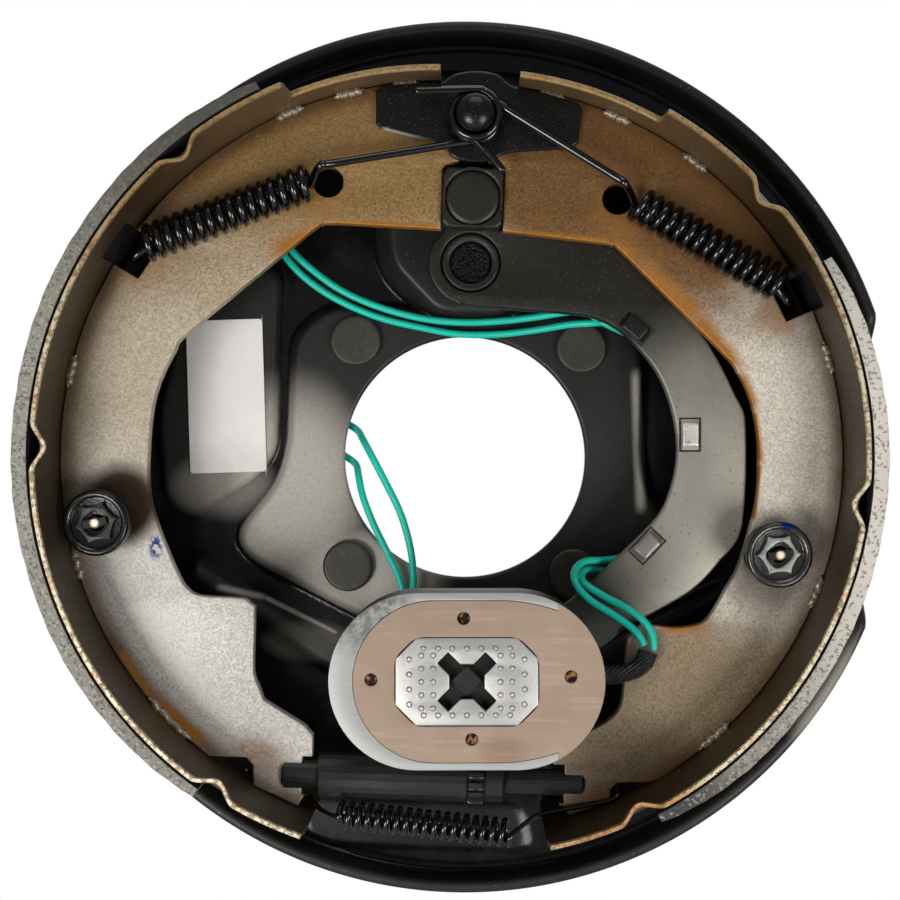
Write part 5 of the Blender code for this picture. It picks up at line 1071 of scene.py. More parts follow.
def pressed(loops, front, back, edge, steps=3):
    """Points and faces of a plate: each outline is carried round its rolled edges, a quarter circle
    at the front and one at the back, and the two flat faces are filled between the outlines."""
    loops = [loop if winding(loop) > 0 else loop[::-1] for loop in loops[:1]] + [
        loop if winding(loop) < 0 else loop[::-1] for loop in loops[1:]]
    turn = np.linspace(90.0, 0.0, steps + 1)
    sunk = edge * (1 - np.cos(np.radians(turn)))
    deep = edge * (1 - np.sin(np.radians(turn)))
    sunk = np.concatenate([sunk, sunk[::-1]])
    depths = np.concatenate([front + deep, back - deep[::-1]])
    rows = len(depths)
    points, faces, start = [], [], 0
    front_loops, back_loops = [], []
    for loop in loops:
        rings = np.stack([inset(loop, distance) for distance in sunk])
        ring = np.stack([rings[..., 0], np.broadcast_to(depths[:, None], rings.shape[:2]), rings[..., 1]],
                        axis=-1)
        points.append(ring.reshape(-1, 3))
        faces += (grid_faces(rows, len(loop), wrap_columns=True) + start).tolist()
        front_loops.append(start + np.arange(len(loop)))
        back_loops.append(start + (rows - 1) * len(loop) + np.arange(len(loop)))
        start += rows * len(loop)
    points = np.vstack(points)
    for group in (front_loops, back_loops):
        order = np.concatenate(group)
        fill = tessellate_polygon([[(float(x), float(z), 0.0) for x,
                                    z in points[ids][:, [0, 2]]] for ids in group])
        faces += [[int(order[corner]) for corner in face] for face in fill]
    return points, faces


def pressed_copy(node, name, edge, material, at_back=False):
    """A solid's outline with rolled edges, in the solid's own place."""
    low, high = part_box(node)
    loops = [finer(loop) for loop in face_outlines(node, high.y if at_back else low.y)]
    points, faces = pressed(loops, low.y, high.y, edge)
    piece = make_piece(name, points, faces, material, smooth=38.0, weld=None)
    dress(piece, node)
    print(name, len(loops), "outlines,", len(piece.data.polygons), "faces")
    return piece

# %% [markdown]
# ## The two leads
#
# Two green leads come out of the magnet's sleeve, run up behind the lever arm, cross the top of the
# pilot hole, go through the grommet to the back of the plate, come out again through the pilot hole
# and end behind the magnet. They are limp wires 2.3 mm thick. Each is a curve with a round section
# on the route of its solid, in two runs: one goes with the arm and one stays on the plate.

# %% Leads
LEAD_DIAMETER = 2.3 * MM
PLATE_RUNS = {
    "lead_1": [
        (40.6, -18.0, 44.6), (36.5, -17.4, 47.0), (31, -14.5, 47.0), (22, -10.5, 45.6), (10, -8.6, 44.0),
        (-3, -8.2, 43.2), (-16, -8.0, 44.2), (-30, -7.6, 47.6), (-42, -7.0, 52.6), (-52, -6.4, 59.4),
        (-58.8, -5.8, 65.6), (-64, -5.0, 72.6), (-66.4, -1.6, 76.4), (-66.3, 4.0, 77.8),
        (-66.2, 10.2, 78.2), (-68.2, 14.0, 76.0), (-72.2, 13.0, 67), (-72.8, 11.2, 53), (-68.6, 10.0, 38),
        (-60.6, 9.6, 26), (-52, 7.4, 17.5), (-44.4, 3.6, 12.2), (-38.8, 3.0, 9.6), (-35.2, 0.8, 7.4),
        (-33.4, -3.6, 5.0), (-30.2, -8.2, 0), (-25.4, -9.6, -8.3), (-20, -9.6, -18.5),
        (-16.6, -9.2, -28.9), (-15.2, -8.6, -38), (-15.4, -8.0, -46), (-17, -7.4, -54)],
    "lead_2": [
        (44.2, -15.5, 44.6), (41.2, -15.2, 43.9), (37.5, -14.9, 43.6), (31.5, -12.4, 43.2),
        (22, -8.2, 41.6), (10, -6.0, 40.0), (-3, -5.6, 39.6), (-16, -5.4, 41.4), (-30, -5.2, 44.4),
        (-43.5, -5.0, 49.8), (-54, -4.6, 56.6), (-61.4, -4.2, 64.2), (-66.6, -3.6, 71.0),
        (-68.7, -1.0, 75.0), (-68.9, 4.0, 75.3), (-68.9, 8.2, 75.2), (-71.2, 10.8, 73.2), (-76.8, 9.2, 63),
        (-76.4, 8.0, 48), (-72, 7.8, 33), (-64, 8.2, 20), (-56.6, 7.6, 11.4), (-50.4, 5.6, 6.4),
        (-45, 3.4, 2.6), (-39.6, 2.6, -0.8), (-35.6, 0.6, -3.4), (-34.2, -4.0, -7.0),
        (-32.4, -6.6, -13.6), (-28.6, -6.8, -22.6), (-23.6, -6.8, -32), (-19.6, -6.6, -40),
        (-18.6, -6.4, -46), (-20.6, -6.2, -54)]}
ARM_RUNS = {
    "lead_1": [
        (41.6, -18.1, 43.9), (45.6, -18.2, 42.2), (53.8, -18.2, 38.0), (61.6, -18.2, 28.8),
        (66.8, -18.2, 17), (69.2, -18.2, 4), (67.6, -18.2, -9), (62.8, -18.2, -19.6), (56.6, -18.2, -26.4),
        (50.6, -18.5, -29.8), (44.8, -19.6, -30.9), (38.8, -22.2, -31.2), (35.4, -25.6, -33.8),
        (35.6, -29.6, -38.0), (40.2, -31.8, -42.6), (46.2, -33.0, -46.0), (51.6, -34.0, -49.4),
        (54.8, -34.8, -52.2), (56.4, -34.8, -55.2)],
    "lead_2": [
        (45.4, -16.0, 45.2), (49.4, -17.4, 44.6), (57.0, -18.2, 40.0), (65.2, -18.2, 30.4),
        (70.6, -18.2, 17.6), (73.0, -18.2, 4), (71.4, -18.2, -10.2), (66.4, -18.2, -21.6),
        (59.8, -18.2, -29.0), (53.2, -18.3, -32.8), (47.0, -18.5, -34.2), (42.0, -19.0, -33.9),
        (38.6, -21.6, -34.0), (37.4, -25.4, -36.0), (38.4, -28.2, -37.8), (41.4, -29.4, -39.6),
        (45.6, -30.8, -41.8), (50.8, -32.4, -44.2), (55.8, -34.0, -47.6), (58.9, -34.7, -51.8),
        (59.4, -34.8, -56.6)]}
SLEEVE_ROUTE = [(57.6, -34.8, -57.2), (56.6, -34.8, -60.4), (53.4, -34.8, -63.0),
                (48.0, -34.8, -64.4), (42.0, -34.8, -64.7), (36.0, -34.8, -64.8)]


def lead(name, route, body, node, exit_at_start):
    """A lead as one open curve with a round section."""
    points = flowing(np.array(route) * MM, 2.2 * MM)
    if not exit_at_start:
        points = points[::-1]
    data = bpy.data.curves.new(name, "CURVE")
    data.dimensions = "3D"
    data.bevel_depth = LEAD_DIAMETER / 2
    data.bevel_resolution = 5
    data.use_fill_caps = True
    spline = data.splines.new("POLY")
    spline.points.add(len(points) - 1)
    spline.points.foreach_set("co", np.hstack([points, np.ones((len(points), 1))]).ravel())
    spline.use_smooth = True
    data.materials.append(LEAD_PLASTIC)
    made = bpy.data.objects.new(name, data)
    bpy.context.scene.collection.objects.link(made)
    stand_for(made, body, slot_of(node), node)
    return made


for key in ("lead_1", "lead_2"):
    lead(key + "_behind_arm", ARM_RUNS[key], "lever", key + "_on_arm", False)
    lead(key + "_over_plate", PLATE_RUNS[key], "backing", key + "_on_plate", True)

# %% [markdown]
# The sleeve is a short black tube where both leads enter the magnet. It swells a little at its
# mouth and is pinched where it bends.

# %% Sleeve
sleeve_path = flowing(np.array(SLEEVE_ROUTE) * MM, 0.7 * MM)
share = np.linspace(0.0, 1.0, len(sleeve_path))
sleeve_radius = 3.1 * MM * (0.93 + 0.07 * np.exp(-(share / 0.05) ** 2) - 0.05
                            * np.exp(-((share - 0.35) / 0.12) ** 2))
sleeve = tube_piece("lead_sleeve_tube", sleeve_path, sleeve_radius, SLEEVE_PLASTIC, around=20, domed=False)
dress(sleeve, "lead_sleeve")
print("sleeve length, mm:", round(float(np.linalg.norm(np.diff(sleeve_path, axis=0), axis=1).sum()) / MM,
                                  1))

# %% [markdown]
# ## The backing plate
#
# The plate is one sheet, pressed and turned up at its rim. Seen as a surface, its depth is a
# function of the place: the flat floor, with the hub, the seat for the pivot and anchor, the label
# pad and a long bead raised from it over sloping walls. Each raised field is a closed outline, and
# the height follows from the signed distance to that outline through a smooth step, which gives
# the rounded edges that a press tool leaves. The sheet is then carried round the rim and back
# behind itself, so the piece is one closed skin with the pilot hole in its middle.

# %% Sizes of the plate
PLATE_FRONT = 2.0 * MM
SHEET = 3.5 * MM
PLATE_RADIUS = 139.5 * MM
PILOT_RADIUS = 38.95 * MM
LIP_FRONT = -10.0 * MM
LIP_BEND = 3.0 * MM
FLAT_SIDE_X = 130.3 * MM
HUB_FRONT = -3.5 * MM
PEDESTAL_FRONT = -9.0 * MM
LABEL_PAD_FRONT = -2.0 * MM
ANCHOR_PLACE = (0.0, 102.5 * MM)
PIVOT_PLACE = (0.0, 60.2 * MM)
SHOE_WIDTH = 57.15 * MM
SHOES = {
    "secondary": {"centre": (-8.8 * MM, -0.3 * MM), "radius": 117.0 * MM, "table": (113.7, 253.0),
                  "neck": 91.0, "lining": (117.2, 236.6), "nibs": (131.6, 180.4, 238.5), "hook": (144.6,
                                                                                                  150.9)},
    "primary": {"centre": (2.2 * MM, 0.0), "radius": 115.9 * MM, "table": (-77.0, 62.5),
                "neck": 84.6, "lining": (-60.5, 31.0), "nibs": (-62.5, -5.0, 43.5), "hook": (25.2, 31.5)}}
HUB = [(-45, 46), (-55.2, 37), (-55.2, 2), (-58.5, -11), (-71.6, -28.3), (-66, -34), (-31, -51), (-12, -56)]
PEDESTAL = [(-9.5, 47.6), (-24, 62), (-25.4, 72), (-25.4, 108), (-13, 119)]
LABEL_PAD = [(-63.5, 58), (-63.3, 0), (-69.3, -8), (-88, -21.5), (-96, -17), (-99, 10), (-93, 40),
             (-80, 60)]


def closed_outline(points, both_sides, radius):
    """Outline in metres, mirrored about X = 0 where asked, with rounded corners."""
    points = np.array(points, float) * MM
    if both_sides:
        points = np.vstack([points, points[::-1] * (-1, 1)])
    ring = np.vstack([points[-1:], points, points[:1]])
    return rounded_profile(ring, radius, steps=5)[1:-1]


def inside_distance(x, z, outline):
    """Signed distance to a closed outline, positive inside: the least distance to its edges, with
    the sign from how often a level ray crosses them."""
    start, end = outline, np.roll(outline, -1, axis=0)
    run = end - start
    nearest = np.full(x.shape, np.inf)
    crossings = np.zeros(x.shape, dtype=int)
    for (ax, az), (rx, rz) in zip(start, run):
        share = np.clip(((x - ax) * rx + (z - az) * rz) / (rx * rx + rz * rz + 1e-18), 0.0, 1.0)
        nearest = np.minimum(nearest, np.hypot(x - ax - share * rx, z - az - share * rz))
        straddles = (az > z) != (az + rz > z)
        reach = ax + (z - az) * rx / np.where(abs(rz) < 1e-12, 1e-12, rz)
        crossings += straddles & (x < reach)
    return np.where(crossings % 2 == 1, nearest, -nearest)


def step(value):
    """Smooth step: three t squared minus two t cubed."""
    t = np.clip(value, 0.0, 1.0)
    return t * t * (3 - 2 * t)


def raised_field(x, z, outline, front, wall):
    """Depth of one raised field: the floor, then a wall of that width, then the field."""
    share = step((inside_distance(x, z, outline) + wall) / wall)
    return PLATE_FRONT + (front - PLATE_FRONT) * share


def nearer(first, second, blend=0.8 * MM):
    """The nearer of two depths, blended where they meet."""
    gap = np.clip(0.5 + 0.5 * (second - first) / blend, 0.0, 1.0)
    return second + (first - second) * gap - blend * gap * (1 - gap)


def bead(x, z, start, end, half_width, rise):
    """A long raised rib between two places: a rounded section that dies out at its ends."""
    start, end = np.array(start) * MM, np.array(end) * MM
    run = end - start
    share = np.clip(((x - start[0]) * run[0] + (z - start[1]) * run[1]) / (run @ run), 0.0, 1.0)
    away = np.hypot(x - start[0] - share * run[0], z - start[1] - share * run[1])
    return PLATE_FRONT - rise * MM * step(1 - away / (half_width * MM))


def plate_depth(x, z):
    """The front of the plate at a place: floor, fields, beads, bearing pads and seats."""
    depth = raised_field(x, z, closed_outline(HUB, True, 6 * MM), HUB_FRONT, 4.2 * MM)
    depth = nearer(raised_field(x, z, closed_outline(LABEL_PAD, False, 5 * MM), LABEL_PAD_FRONT, 3.2 * MM),
                   depth)
    depth = nearer(bead(x, z, (-86, -42), (-36, -70.5), 6.5, 2.6), depth)
    depth = nearer(bead(x, z, (36, -70.5), (86, -42), 6.5, 2.6), depth)
    tray = closed_outline([(-50, -114), (21, -114), (24, -127), (-46, -127)], False, 3 * MM)
    depth = nearer(raised_field(x, z, tray, PLATE_FRONT - 1.4 * MM, 2.4 * MM), depth)
    depth = nearer(raised_field(x, z, closed_outline(PEDESTAL, True, 4 * MM), PEDESTAL_FRONT, 7.8 * MM),
                   depth)
    for shoe in SHOES.values():
        for angle in np.radians(shoe["nibs"]):
            reach = shoe["radius"] - 2.8 * MM
            away = np.hypot(x - shoe["centre"][0] - reach * math.cos(angle), z - shoe["centre"][1] - reach
                            * math.sin(angle))
            depth = nearer(PLATE_FRONT - 1.7 * MM * step((9.0 * MM - away) / (2.0 * MM)), depth, 0.3 * MM)
    for side in (-1, 1):
        hole = closed_outline([(side * 19 - 11, -95), (side * 19 + 11, -95), (side * 19 + 11, -103),
                               (side * 19 - 11, -103)],
                              False, 3 * MM)
        depth = depth + 0.5 * MM * step((inside_distance(x, z, hole) + 0.4 * MM) / (0.4 * MM))
    return depth


# %% The plate's skin
PLATE_COLUMNS = 460
PLATE_ROWS = 92


def plate_skin():
    """Rows run from the pilot hole to the rim, round the lip, and back behind the sheet."""
    angle = np.linspace(0.0, math.tau, PLATE_COLUMNS, endpoint=False)[None, :]
    chord = FLAT_SIDE_X / np.maximum(np.cos(angle), 1e-6)
    chord = np.where(np.cos(angle) > 0, chord, 1.0)
    outer = np.minimum(PLATE_RADIUS, chord)
    cut = step((PLATE_RADIUS - outer) / (5.5 * MM))
    lip = (PLATE_FRONT - LIP_FRONT) * (1 - cut)
    bend = np.minimum(LIP_BEND, lip)
    roll = 0.7 * MM
    share = np.linspace(0.0, 1.0, PLATE_ROWS)[:, None]
    inner_floor = outer - SHEET * (1 - cut) - bend
    ease = 1.2 * MM
    radius = PILOT_RADIUS + ease + (inner_floor - PILOT_RADIUS - ease) * share
    x, z = radius * np.cos(angle), radius * np.sin(angle)
    depth = plate_depth(x, z)
    quarter = np.radians(np.linspace(0.0, 90.0, 5))
    rows = [(PILOT_RADIUS + ease * (1 - math.sin(turn)) + 0 * angle, depth[:1] + ease
             * (1 - math.cos(turn)))
            for turn in quarter[:0:-1]]
    front = [(r[None], y[None]) for r, y in zip(radius, depth)]
    lips = []
    for turn in np.radians((22.0, 45.0, 68.0, 90.0)):
        lips.append((inner_floor + bend * math.sin(turn), PLATE_FRONT - bend * (1 - math.cos(turn))))
    top = PLATE_FRONT - lip
    inside = inner_floor + bend
    lips.append((inside, top + roll + 0 * angle))
    for turn in np.radians((30.0, 60.0, 90.0)):
        lips.append((inside + roll * math.sin(turn), top + roll * (1 - math.sin(turn)) * (1 - cut)))
    for turn in np.radians((30.0, 60.0, 90.0)):
        lips.append((outer - roll * math.cos(turn), top + roll * (1 - math.cos(turn)) * (1 - cut)))
    back_bend = 2.6 * MM
    for turn in np.radians((0.0, 25.0, 50.0, 75.0)):
        lips.append((outer - back_bend * (1 - math.cos(turn)), PLATE_FRONT + SHEET - back_bend
                     * (1 - math.sin(turn))))
    behind_radius = PILOT_RADIUS + ease + (outer - back_bend - PILOT_RADIUS - ease) * share[::-1]
    behind_depth = plate_depth(behind_radius * np.cos(angle), behind_radius * np.sin(angle)) + SHEET
    behind = [(r[None], y[None]) for r, y in zip(behind_radius, behind_depth)]
    close = [(PILOT_RADIUS + ease * (1 - math.sin(turn)) + 0 * angle, behind_depth[-1:] - ease
              * (1 - math.cos(turn)))
             for turn in quarter[1:]]
    rings = rows + front + lips + behind + close
    radius = np.vstack([np.broadcast_to(r, angle.shape) for r, _ in rings])
    depth = np.vstack([np.broadcast_to(y, angle.shape) for _, y in rings])
    return np.stack([radius * np.cos(angle), depth, radius * np.sin(angle)], axis=-1)


skin = plate_skin()
plate = make_piece("pressed_plate", skin, grid_faces(*skin.shape[:2], wrap_rows=True, wrap_columns=True),
                   PLATE_PAINT,
                   smooth=50.0)
dress(plate, "backing_plate")
print("plate faces:", len(plate.data.polygons))

# %% [markdown]
# ## Flat pieces with rolled edges
#
# The webs of the shoes, the guide plate, the cam block and the lever arm are cut from flat steel.
# A cutting press rolls the edge over a little on one side and leaves a burr on the other, and the
# rolled edge is what catches the light. Each piece takes its outline from its solid's own face, so
# holes and notches stay where they are, and carries it round a small quarter circle.

# %% Webs, guide plate, cam block and label
pressed_copy("secondary_shoe_web", "secondary_web_plate", 0.45 * MM, SHOE_LACQUER)
pressed_copy("primary_shoe_web", "primary_web_plate", 0.45 * MM, SHOE_LACQUER)
pressed_copy("shoe_guide_plate", "guide_plate", 0.75 * MM, GUIDE_STEEL)
pressed_copy("cam_block", "cam_block_plate", 0.9 * MM, BLOCK_STEEL)

# %% [markdown]
# ## The lever arm and its clips
#
# Three clips hold the leads on the arm's far side. Each is lanced from the arm: two cuts free a
# strip, and a punch bulges it towards the viewer, which leaves a bridge with a dark gap at either
# side of it. The gaps are painted shade, a thin black frame sunk into the arm, and the three
# bridges are one steel coloured dark, bright and middle grey as painted shade and highlight.

# %% Lever arm
ARM_FRONT = -25.475 * MM
ARM_BACK = -20.475 * MM
CLIPS = ((51.5, 41.8, -38.0), (69.6, 9.2, -88.0), (57.4, -25.6, 48.0))
CLIP_HALF = (4.75 * MM, 4.0 * MM)
CLIP_RISE = 1.8 * MM
arm_loops = [finer(loop) for loop in face_outlines("lever_arm", ARM_BACK)]
points, faces = pressed(arm_loops, ARM_FRONT, ARM_BACK, 0.9 * MM)
arm = make_piece("lever_arm_plate", points, faces, ARM_STEEL, smooth=38.0, weld=None)
dress(arm, "lever_arm")
print("arm outlines:", len(arm_loops), "faces:", len(arm.data.polygons))


# %% Clips
def clip_bridge(name, x, z, degrees, finish):
    """A strip bulged from the arm: along its length the height is a flat-topped smooth hump, and
    across it the section is a rounded bar."""
    along = np.linspace(-1.0, 1.0, 29)
    hump = step((1.0 - np.abs(along)) / 0.34)
    around = np.linspace(0.0, math.tau, 24, endpoint=False)
    half_width = CLIP_HALF[1] * 0.62
    thick = 1.3 * MM
    across = half_width * np.sign(np.cos(around)) * np.abs(np.cos(around)) ** 0.35
    depth = thick / 2 * np.sign(np.sin(around)) * np.abs(np.sin(around)) ** 0.5
    u = np.broadcast_to(along[:, None] * CLIP_HALF[0], (29, 24))
    v = np.broadcast_to(across[None, :], (29, 24))
    y = ARM_FRONT + thick / 2 - hump[:, None] * CLIP_RISE + depth[None, :]
    turn = math.radians(degrees)
    shown = np.stack([x * MM + u * math.cos(turn) - v * math.sin(turn), y,
                      z * MM + u * math.sin(turn) + v * math.cos(turn)], axis=-1)
    faces = grid_faces(29, 24, wrap_columns=True).tolist() + [list(range(24)),
                                                              list(range(28 * 24, 29 * 24))]
    piece = make_piece(name, shown, faces, finish, smooth=50.0)
    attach(piece, "lever")
    return piece


def clip_window(name, x, z, degrees):
    """Painted shade: the dark opening round a bridge, drawn as a thin black sunk frame on the arm."""
    turn = math.radians(degrees)
    rows = []
    for grow, depth in ((0.9, 0.0), (0.9, -0.12), (0.35, -0.12), (0.35, 0.0)):
        half = (CLIP_HALF[0] + (grow - 0.35) * MM, CLIP_HALF[1] * 0.62 + grow * MM)
        u = np.array([-half[0], half[0], half[0], -half[0]])
        v = np.array([-half[1], -half[1], half[1], half[1]])
        rows.append(np.stack([x * MM + u * math.cos(turn) - v * math.sin(turn),
                              np.full(4, ARM_FRONT + depth * MM),
                              z * MM + u * math.sin(turn) + v * math.cos(turn)], axis=-1))
    piece = make_piece(name, np.array(rows), grid_faces(4, 4, wrap_rows=True, wrap_columns=True), PAINTED_GAP_SHADE)
    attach(piece, "lever")
    return piece


# painted light and shade: the three clips are one steel, given dark, bright and middle grey copies
CLIP_LIT_AND_SHADED_STEELS = (oiled_steel("clip_painted_shade", (0.012, 0.012, 0.010), 0.22, speckle=0.5),
               oiled_steel("clip_painted_highlight", (0.46, 0.44, 0.41), 0.30, speckle=0.5),
               oiled_steel("clip_painted_half_light", (0.17, 0.16, 0.14), 0.26, speckle=0.6))
# painted shade: a black frame stands in for the dark openings round the clips
PAINTED_GAP_SHADE = soft_plastic("painted_gap_shade", (0.006, 0.006, 0.006), 0.6, film_share=0.0)
for index, (x, z, degrees) in enumerate(CLIPS):
    clip_bridge(f"lead_clip_{index + 1}", x, z, degrees, CLIP_LIT_AND_SHADED_STEELS[index])
    clip_window(f"lead_clip_gap_{index + 1}", x, z, degrees)
print("clips:", len(CLIPS))

# %% [markdown]
# ## The magnet
#
# The magnet is an oval steel cup with a winding inside, closed by a tan friction face round a
# steel pole. The cup stands out past the face as a bright crescent on the left and along both long
# sides, and ends in two small square steps where the face reaches the edge. All outlines come from
# the solids. The dimples of the pole are in its material.

# %% Outlines about the magnet's centre
MAGNET_FRONT = -57.95 * MM
MAGNET_BACK = -41.45 * MM
FACE_THICKNESS = 3.0 * MM
MAGNET_HALF = (39.9 * MM, 25.5 * MM)
FACE_MARGIN = 2.1 * MM
FACE_SHIFT = 6.9 * MM
RIM_END_X = 26.3 * MM
SCREWS = ((-0.9, 18.2), (-27.6, 0.6), (30.0, 1.4), (1.4, -16.6))
SCREW_RADIUS = 1.7 * MM


def round_run(centre_x, radius, start, end, count):
    """Points on an arc about a place on the magnet's long axis."""
    angle = np.radians(np.linspace(start, end, count))
    return np.stack([centre_x + radius * np.cos(angle), radius * np.sin(angle)], axis=1)


def straight_run(start, end, count):
    """Even points between two places, without the last one."""
    share = np.linspace(0.0, 1.0, count, endpoint=False)[:, None]
    return np.array(start) * (1 - share) + np.array(end) * share


def soft_run(start, bend, end, count):
    """A quadratic curve from start to end, drawn towards the bend."""
    t = np.linspace(0.0, 1.0, count)[:, None]
    return np.array(start) * (1 - t) ** 2 + np.array(bend) * 2 * t * (1 - t) + np.array(end) * t ** 2


def on_magnet(loop):
    """Turn an outline by the magnet's tilt and move it to the magnet's place."""
    cos, sin = math.cos(MAGNET_TILT), math.sin(MAGNET_TILT)
    return np.stack([MAGNET_CENTRE[0] + loop[:, 0] * cos - loop[:, 1] * sin,
                     MAGNET_CENTRE[1] + loop[:, 0] * sin + loop[:, 1] * cos], axis=1)


RUN = MAGNET_HALF[0] - MAGNET_HALF[1]
RIM_END = math.degrees(math.acos((RIM_END_X - RUN) / MAGNET_HALF[1]))
RIM_END_Z = MAGNET_HALF[1] * math.sin(math.radians(RIM_END))
FACE_RADIUS = MAGNET_HALF[1] - FACE_MARGIN
FACE_LEFT_X = -MAGNET_HALF[0] + FACE_SHIFT + FACE_RADIUS


def face_left_side(gap):
    """The face's edge from the lower step round its left end to the upper step, shrunk by a gap."""
    radius = FACE_RADIUS - gap
    low = soft_run((RIM_END_X, -RIM_END_Z + FACE_MARGIN + gap), (RIM_END_X - 9 * MM, -radius),
                   (RIM_END_X - 16 * MM, -radius), 12)
    high = low[::-1] * (1, -1)
    return np.vstack([low, round_run(FACE_LEFT_X, radius, 270, 90, 60), high])


def stadium_outline(grow=0.0):
    """Two half circles joined by straight sides."""
    radius = MAGNET_HALF[1] + grow
    return np.vstack([round_run(RUN, radius, -90, 90, 48), round_run(-RUN, radius, 90, 270, 48)])


# %% Cup, friction face and pole
def joined(*shells):
    """Several closed shells as one set of points and faces."""
    points, faces, start = [], [], 0
    for some, group in shells:
        points.append(some)
        faces += [[corner + start for corner in face] for face in group]
        start += len(some)
    return np.vstack(points), faces


rim_outer = np.vstack([round_run(RUN, MAGNET_HALF[1], RIM_END, 90, 10),
                       round_run(-RUN, MAGNET_HALF[1], 90, 270, 72),
                       round_run(RUN, MAGNET_HALF[1], -90, -RIM_END, 10)])
rim_loop = on_magnet(np.vstack([rim_outer, face_left_side(0.0)]))
seam = MAGNET_FRONT + FACE_THICKNESS + 0.3 * MM
cup_points, cup_faces = joined(pressed([rim_loop], MAGNET_FRONT, seam, 0.12 * MM),
                               pressed([on_magnet(stadium_outline())], seam, MAGNET_BACK, 0.02 * MM))
cup = make_piece("magnet_cup_shell", cup_points, cup_faces, MAGNET_STEEL, smooth=38.0, weld=None)
dress(cup, "magnet_cup")

face_loop = np.vstack([face_left_side(0.12 * MM), straight_run((RIM_END_X, RIM_END_Z - FACE_MARGIN - 0.12
                                                                * MM),
                                                               (RIM_END_X, RIM_END_Z), 3)[1:],
                       round_run(RUN, MAGNET_HALF[1] - 0.02 * MM, RIM_END, -RIM_END, 60)])
x, z, cut = CORE_HALF[0] + 0.25 * MM, CORE_HALF[1] + 0.25 * MM, 6.0 * MM
core_corners = np.array([(x - cut, -z), (x, cut - z), (x, z - cut), (x - cut, z), (cut - x, z),
                         (-x, z - cut),
                         (-x, cut - z), (cut - x, -z)])
core_ring = rounded_profile(np.vstack([core_corners[-1:], core_corners, core_corners[:1]]), 2.4 * MM,
                            steps=5)[1:-1]
turn = np.linspace(0.0, math.tau, 28, endpoint=False)
screw_rings = [np.stack([a * MM + (SCREW_RADIUS + 0.15 * MM) * np.cos(turn),
                         b * MM + (SCREW_RADIUS + 0.15 * MM) * np.sin(turn)], axis=1) for a, b in SCREWS]
face_loops = [on_magnet(ring) for ring in [face_loop, core_ring] + screw_rings]
points, faces = pressed(face_loops, MAGNET_FRONT - 0.15 * MM, MAGNET_FRONT + FACE_THICKNESS, 0.2 * MM)
face = make_piece("magnet_face", points, faces, RESIN, smooth=38.0, weld=None)
dress(face, "magnet_friction_face")
pressed_copy("magnet_core", "magnet_pole", 0.35 * MM, POLE)
pressed_copy("label", "bare_label", 0.05 * MM, LABEL)
print("magnet cup and face:", len(cup.data.polygons), len(face.data.polygons), "faces")

# %% [markdown]
# ## The shoes' tables and linings
#
# A shoe's table is a strip of steel rolled to an arc. It is pushed inwards at three nibs on each
# edge, where the shoe rides on the plate, and it narrows near the anchor, where the lining ends.
# As a surface it is a closed section, a long thin rectangle with rounded edges, carried along the
# arc: one parameter is the angle and the other runs round the section. The push of the nibs is a
# raised cosine along the arc that fades with the distance from the edge.

# %% Tables
TABLE_THICKNESS = 1.9 * MM
NECK_WIDTH = 30.0 * MM
WEB_MIDDLE = -28.575 * MM
NIB_DEPTH = 3.7 * MM
NIB_HALF_LENGTH = 7.5 * MM
NIB_REACH = 11.0 * MM
SHOE_TOUCH = 0.3 * MM


def table_section(columns):
    """Across (-0.5 to 0.5 of the width) and inward depth (0 to 1 of the thickness) round the
    section, with small quarter circles at the four corners."""
    flat = np.linspace(-0.5, 0.5, columns)
    turn = np.linspace(0.0, 1.0, 4)[1:-1]
    across = np.concatenate([flat, np.full(2, 0.5), flat[::-1], np.full(2, -0.5)])
    inward = np.concatenate([np.zeros(columns), turn, np.ones(columns), turn[::-1]])
    return across, inward


def table_points(shoe, rows=420, columns=60):
    """The strip: radius, less the nib's push, less the inward share of the thickness."""
    low, high = sorted((min(shoe["table"][0], shoe["neck"]), max(shoe["table"][1], shoe["neck"])))
    angle = np.linspace(low, high, rows)[:, None]
    past = np.maximum(shoe["table"][0] - angle, angle - shoe["table"][1])
    narrow = step((past + 0.25) / 0.5)
    width = SHOE_WIDTH + (NECK_WIDTH - SHOE_WIDTH) * narrow
    across, inward = table_section(columns)
    edge = (0.5 - np.abs(across))[None, :] * width
    reach = math.degrees(NIB_HALF_LENGTH / shoe["radius"])
    push = np.zeros_like(edge)
    for nib in shoe["nibs"]:
        share = np.clip(np.abs(angle - nib) / reach, 0.0, 1.0)
        push += NIB_DEPTH * (0.5 + 0.5 * np.cos(np.pi * share)) * np.clip(1 - edge / NIB_REACH, 0.0, 1.0)
    soft = 0.45 * MM
    rounding = soft * (1 - np.sqrt(np.clip(1 - (1 - np.clip(edge / soft, 0.0, 1.0)) ** 2, 0.0, 1.0)))
    side = np.where(inward > 0.5, -1.0, 1.0)[None, :] * (np.abs(inward - 0.5) == 0.5)[None, :]
    radius = shoe["radius"] - inward[None, :] * TABLE_THICKNESS - push * (1 - narrow) - rounding * side
    depth = WEB_MIDDLE + across[None, :] * width
    turn = np.radians(angle)
    x = shoe["centre"][0] + radius * np.cos(turn)
    z = shoe["centre"][1] + radius * np.sin(turn)
    return np.stack([x, np.broadcast_to(depth, x.shape), z], axis=-1)


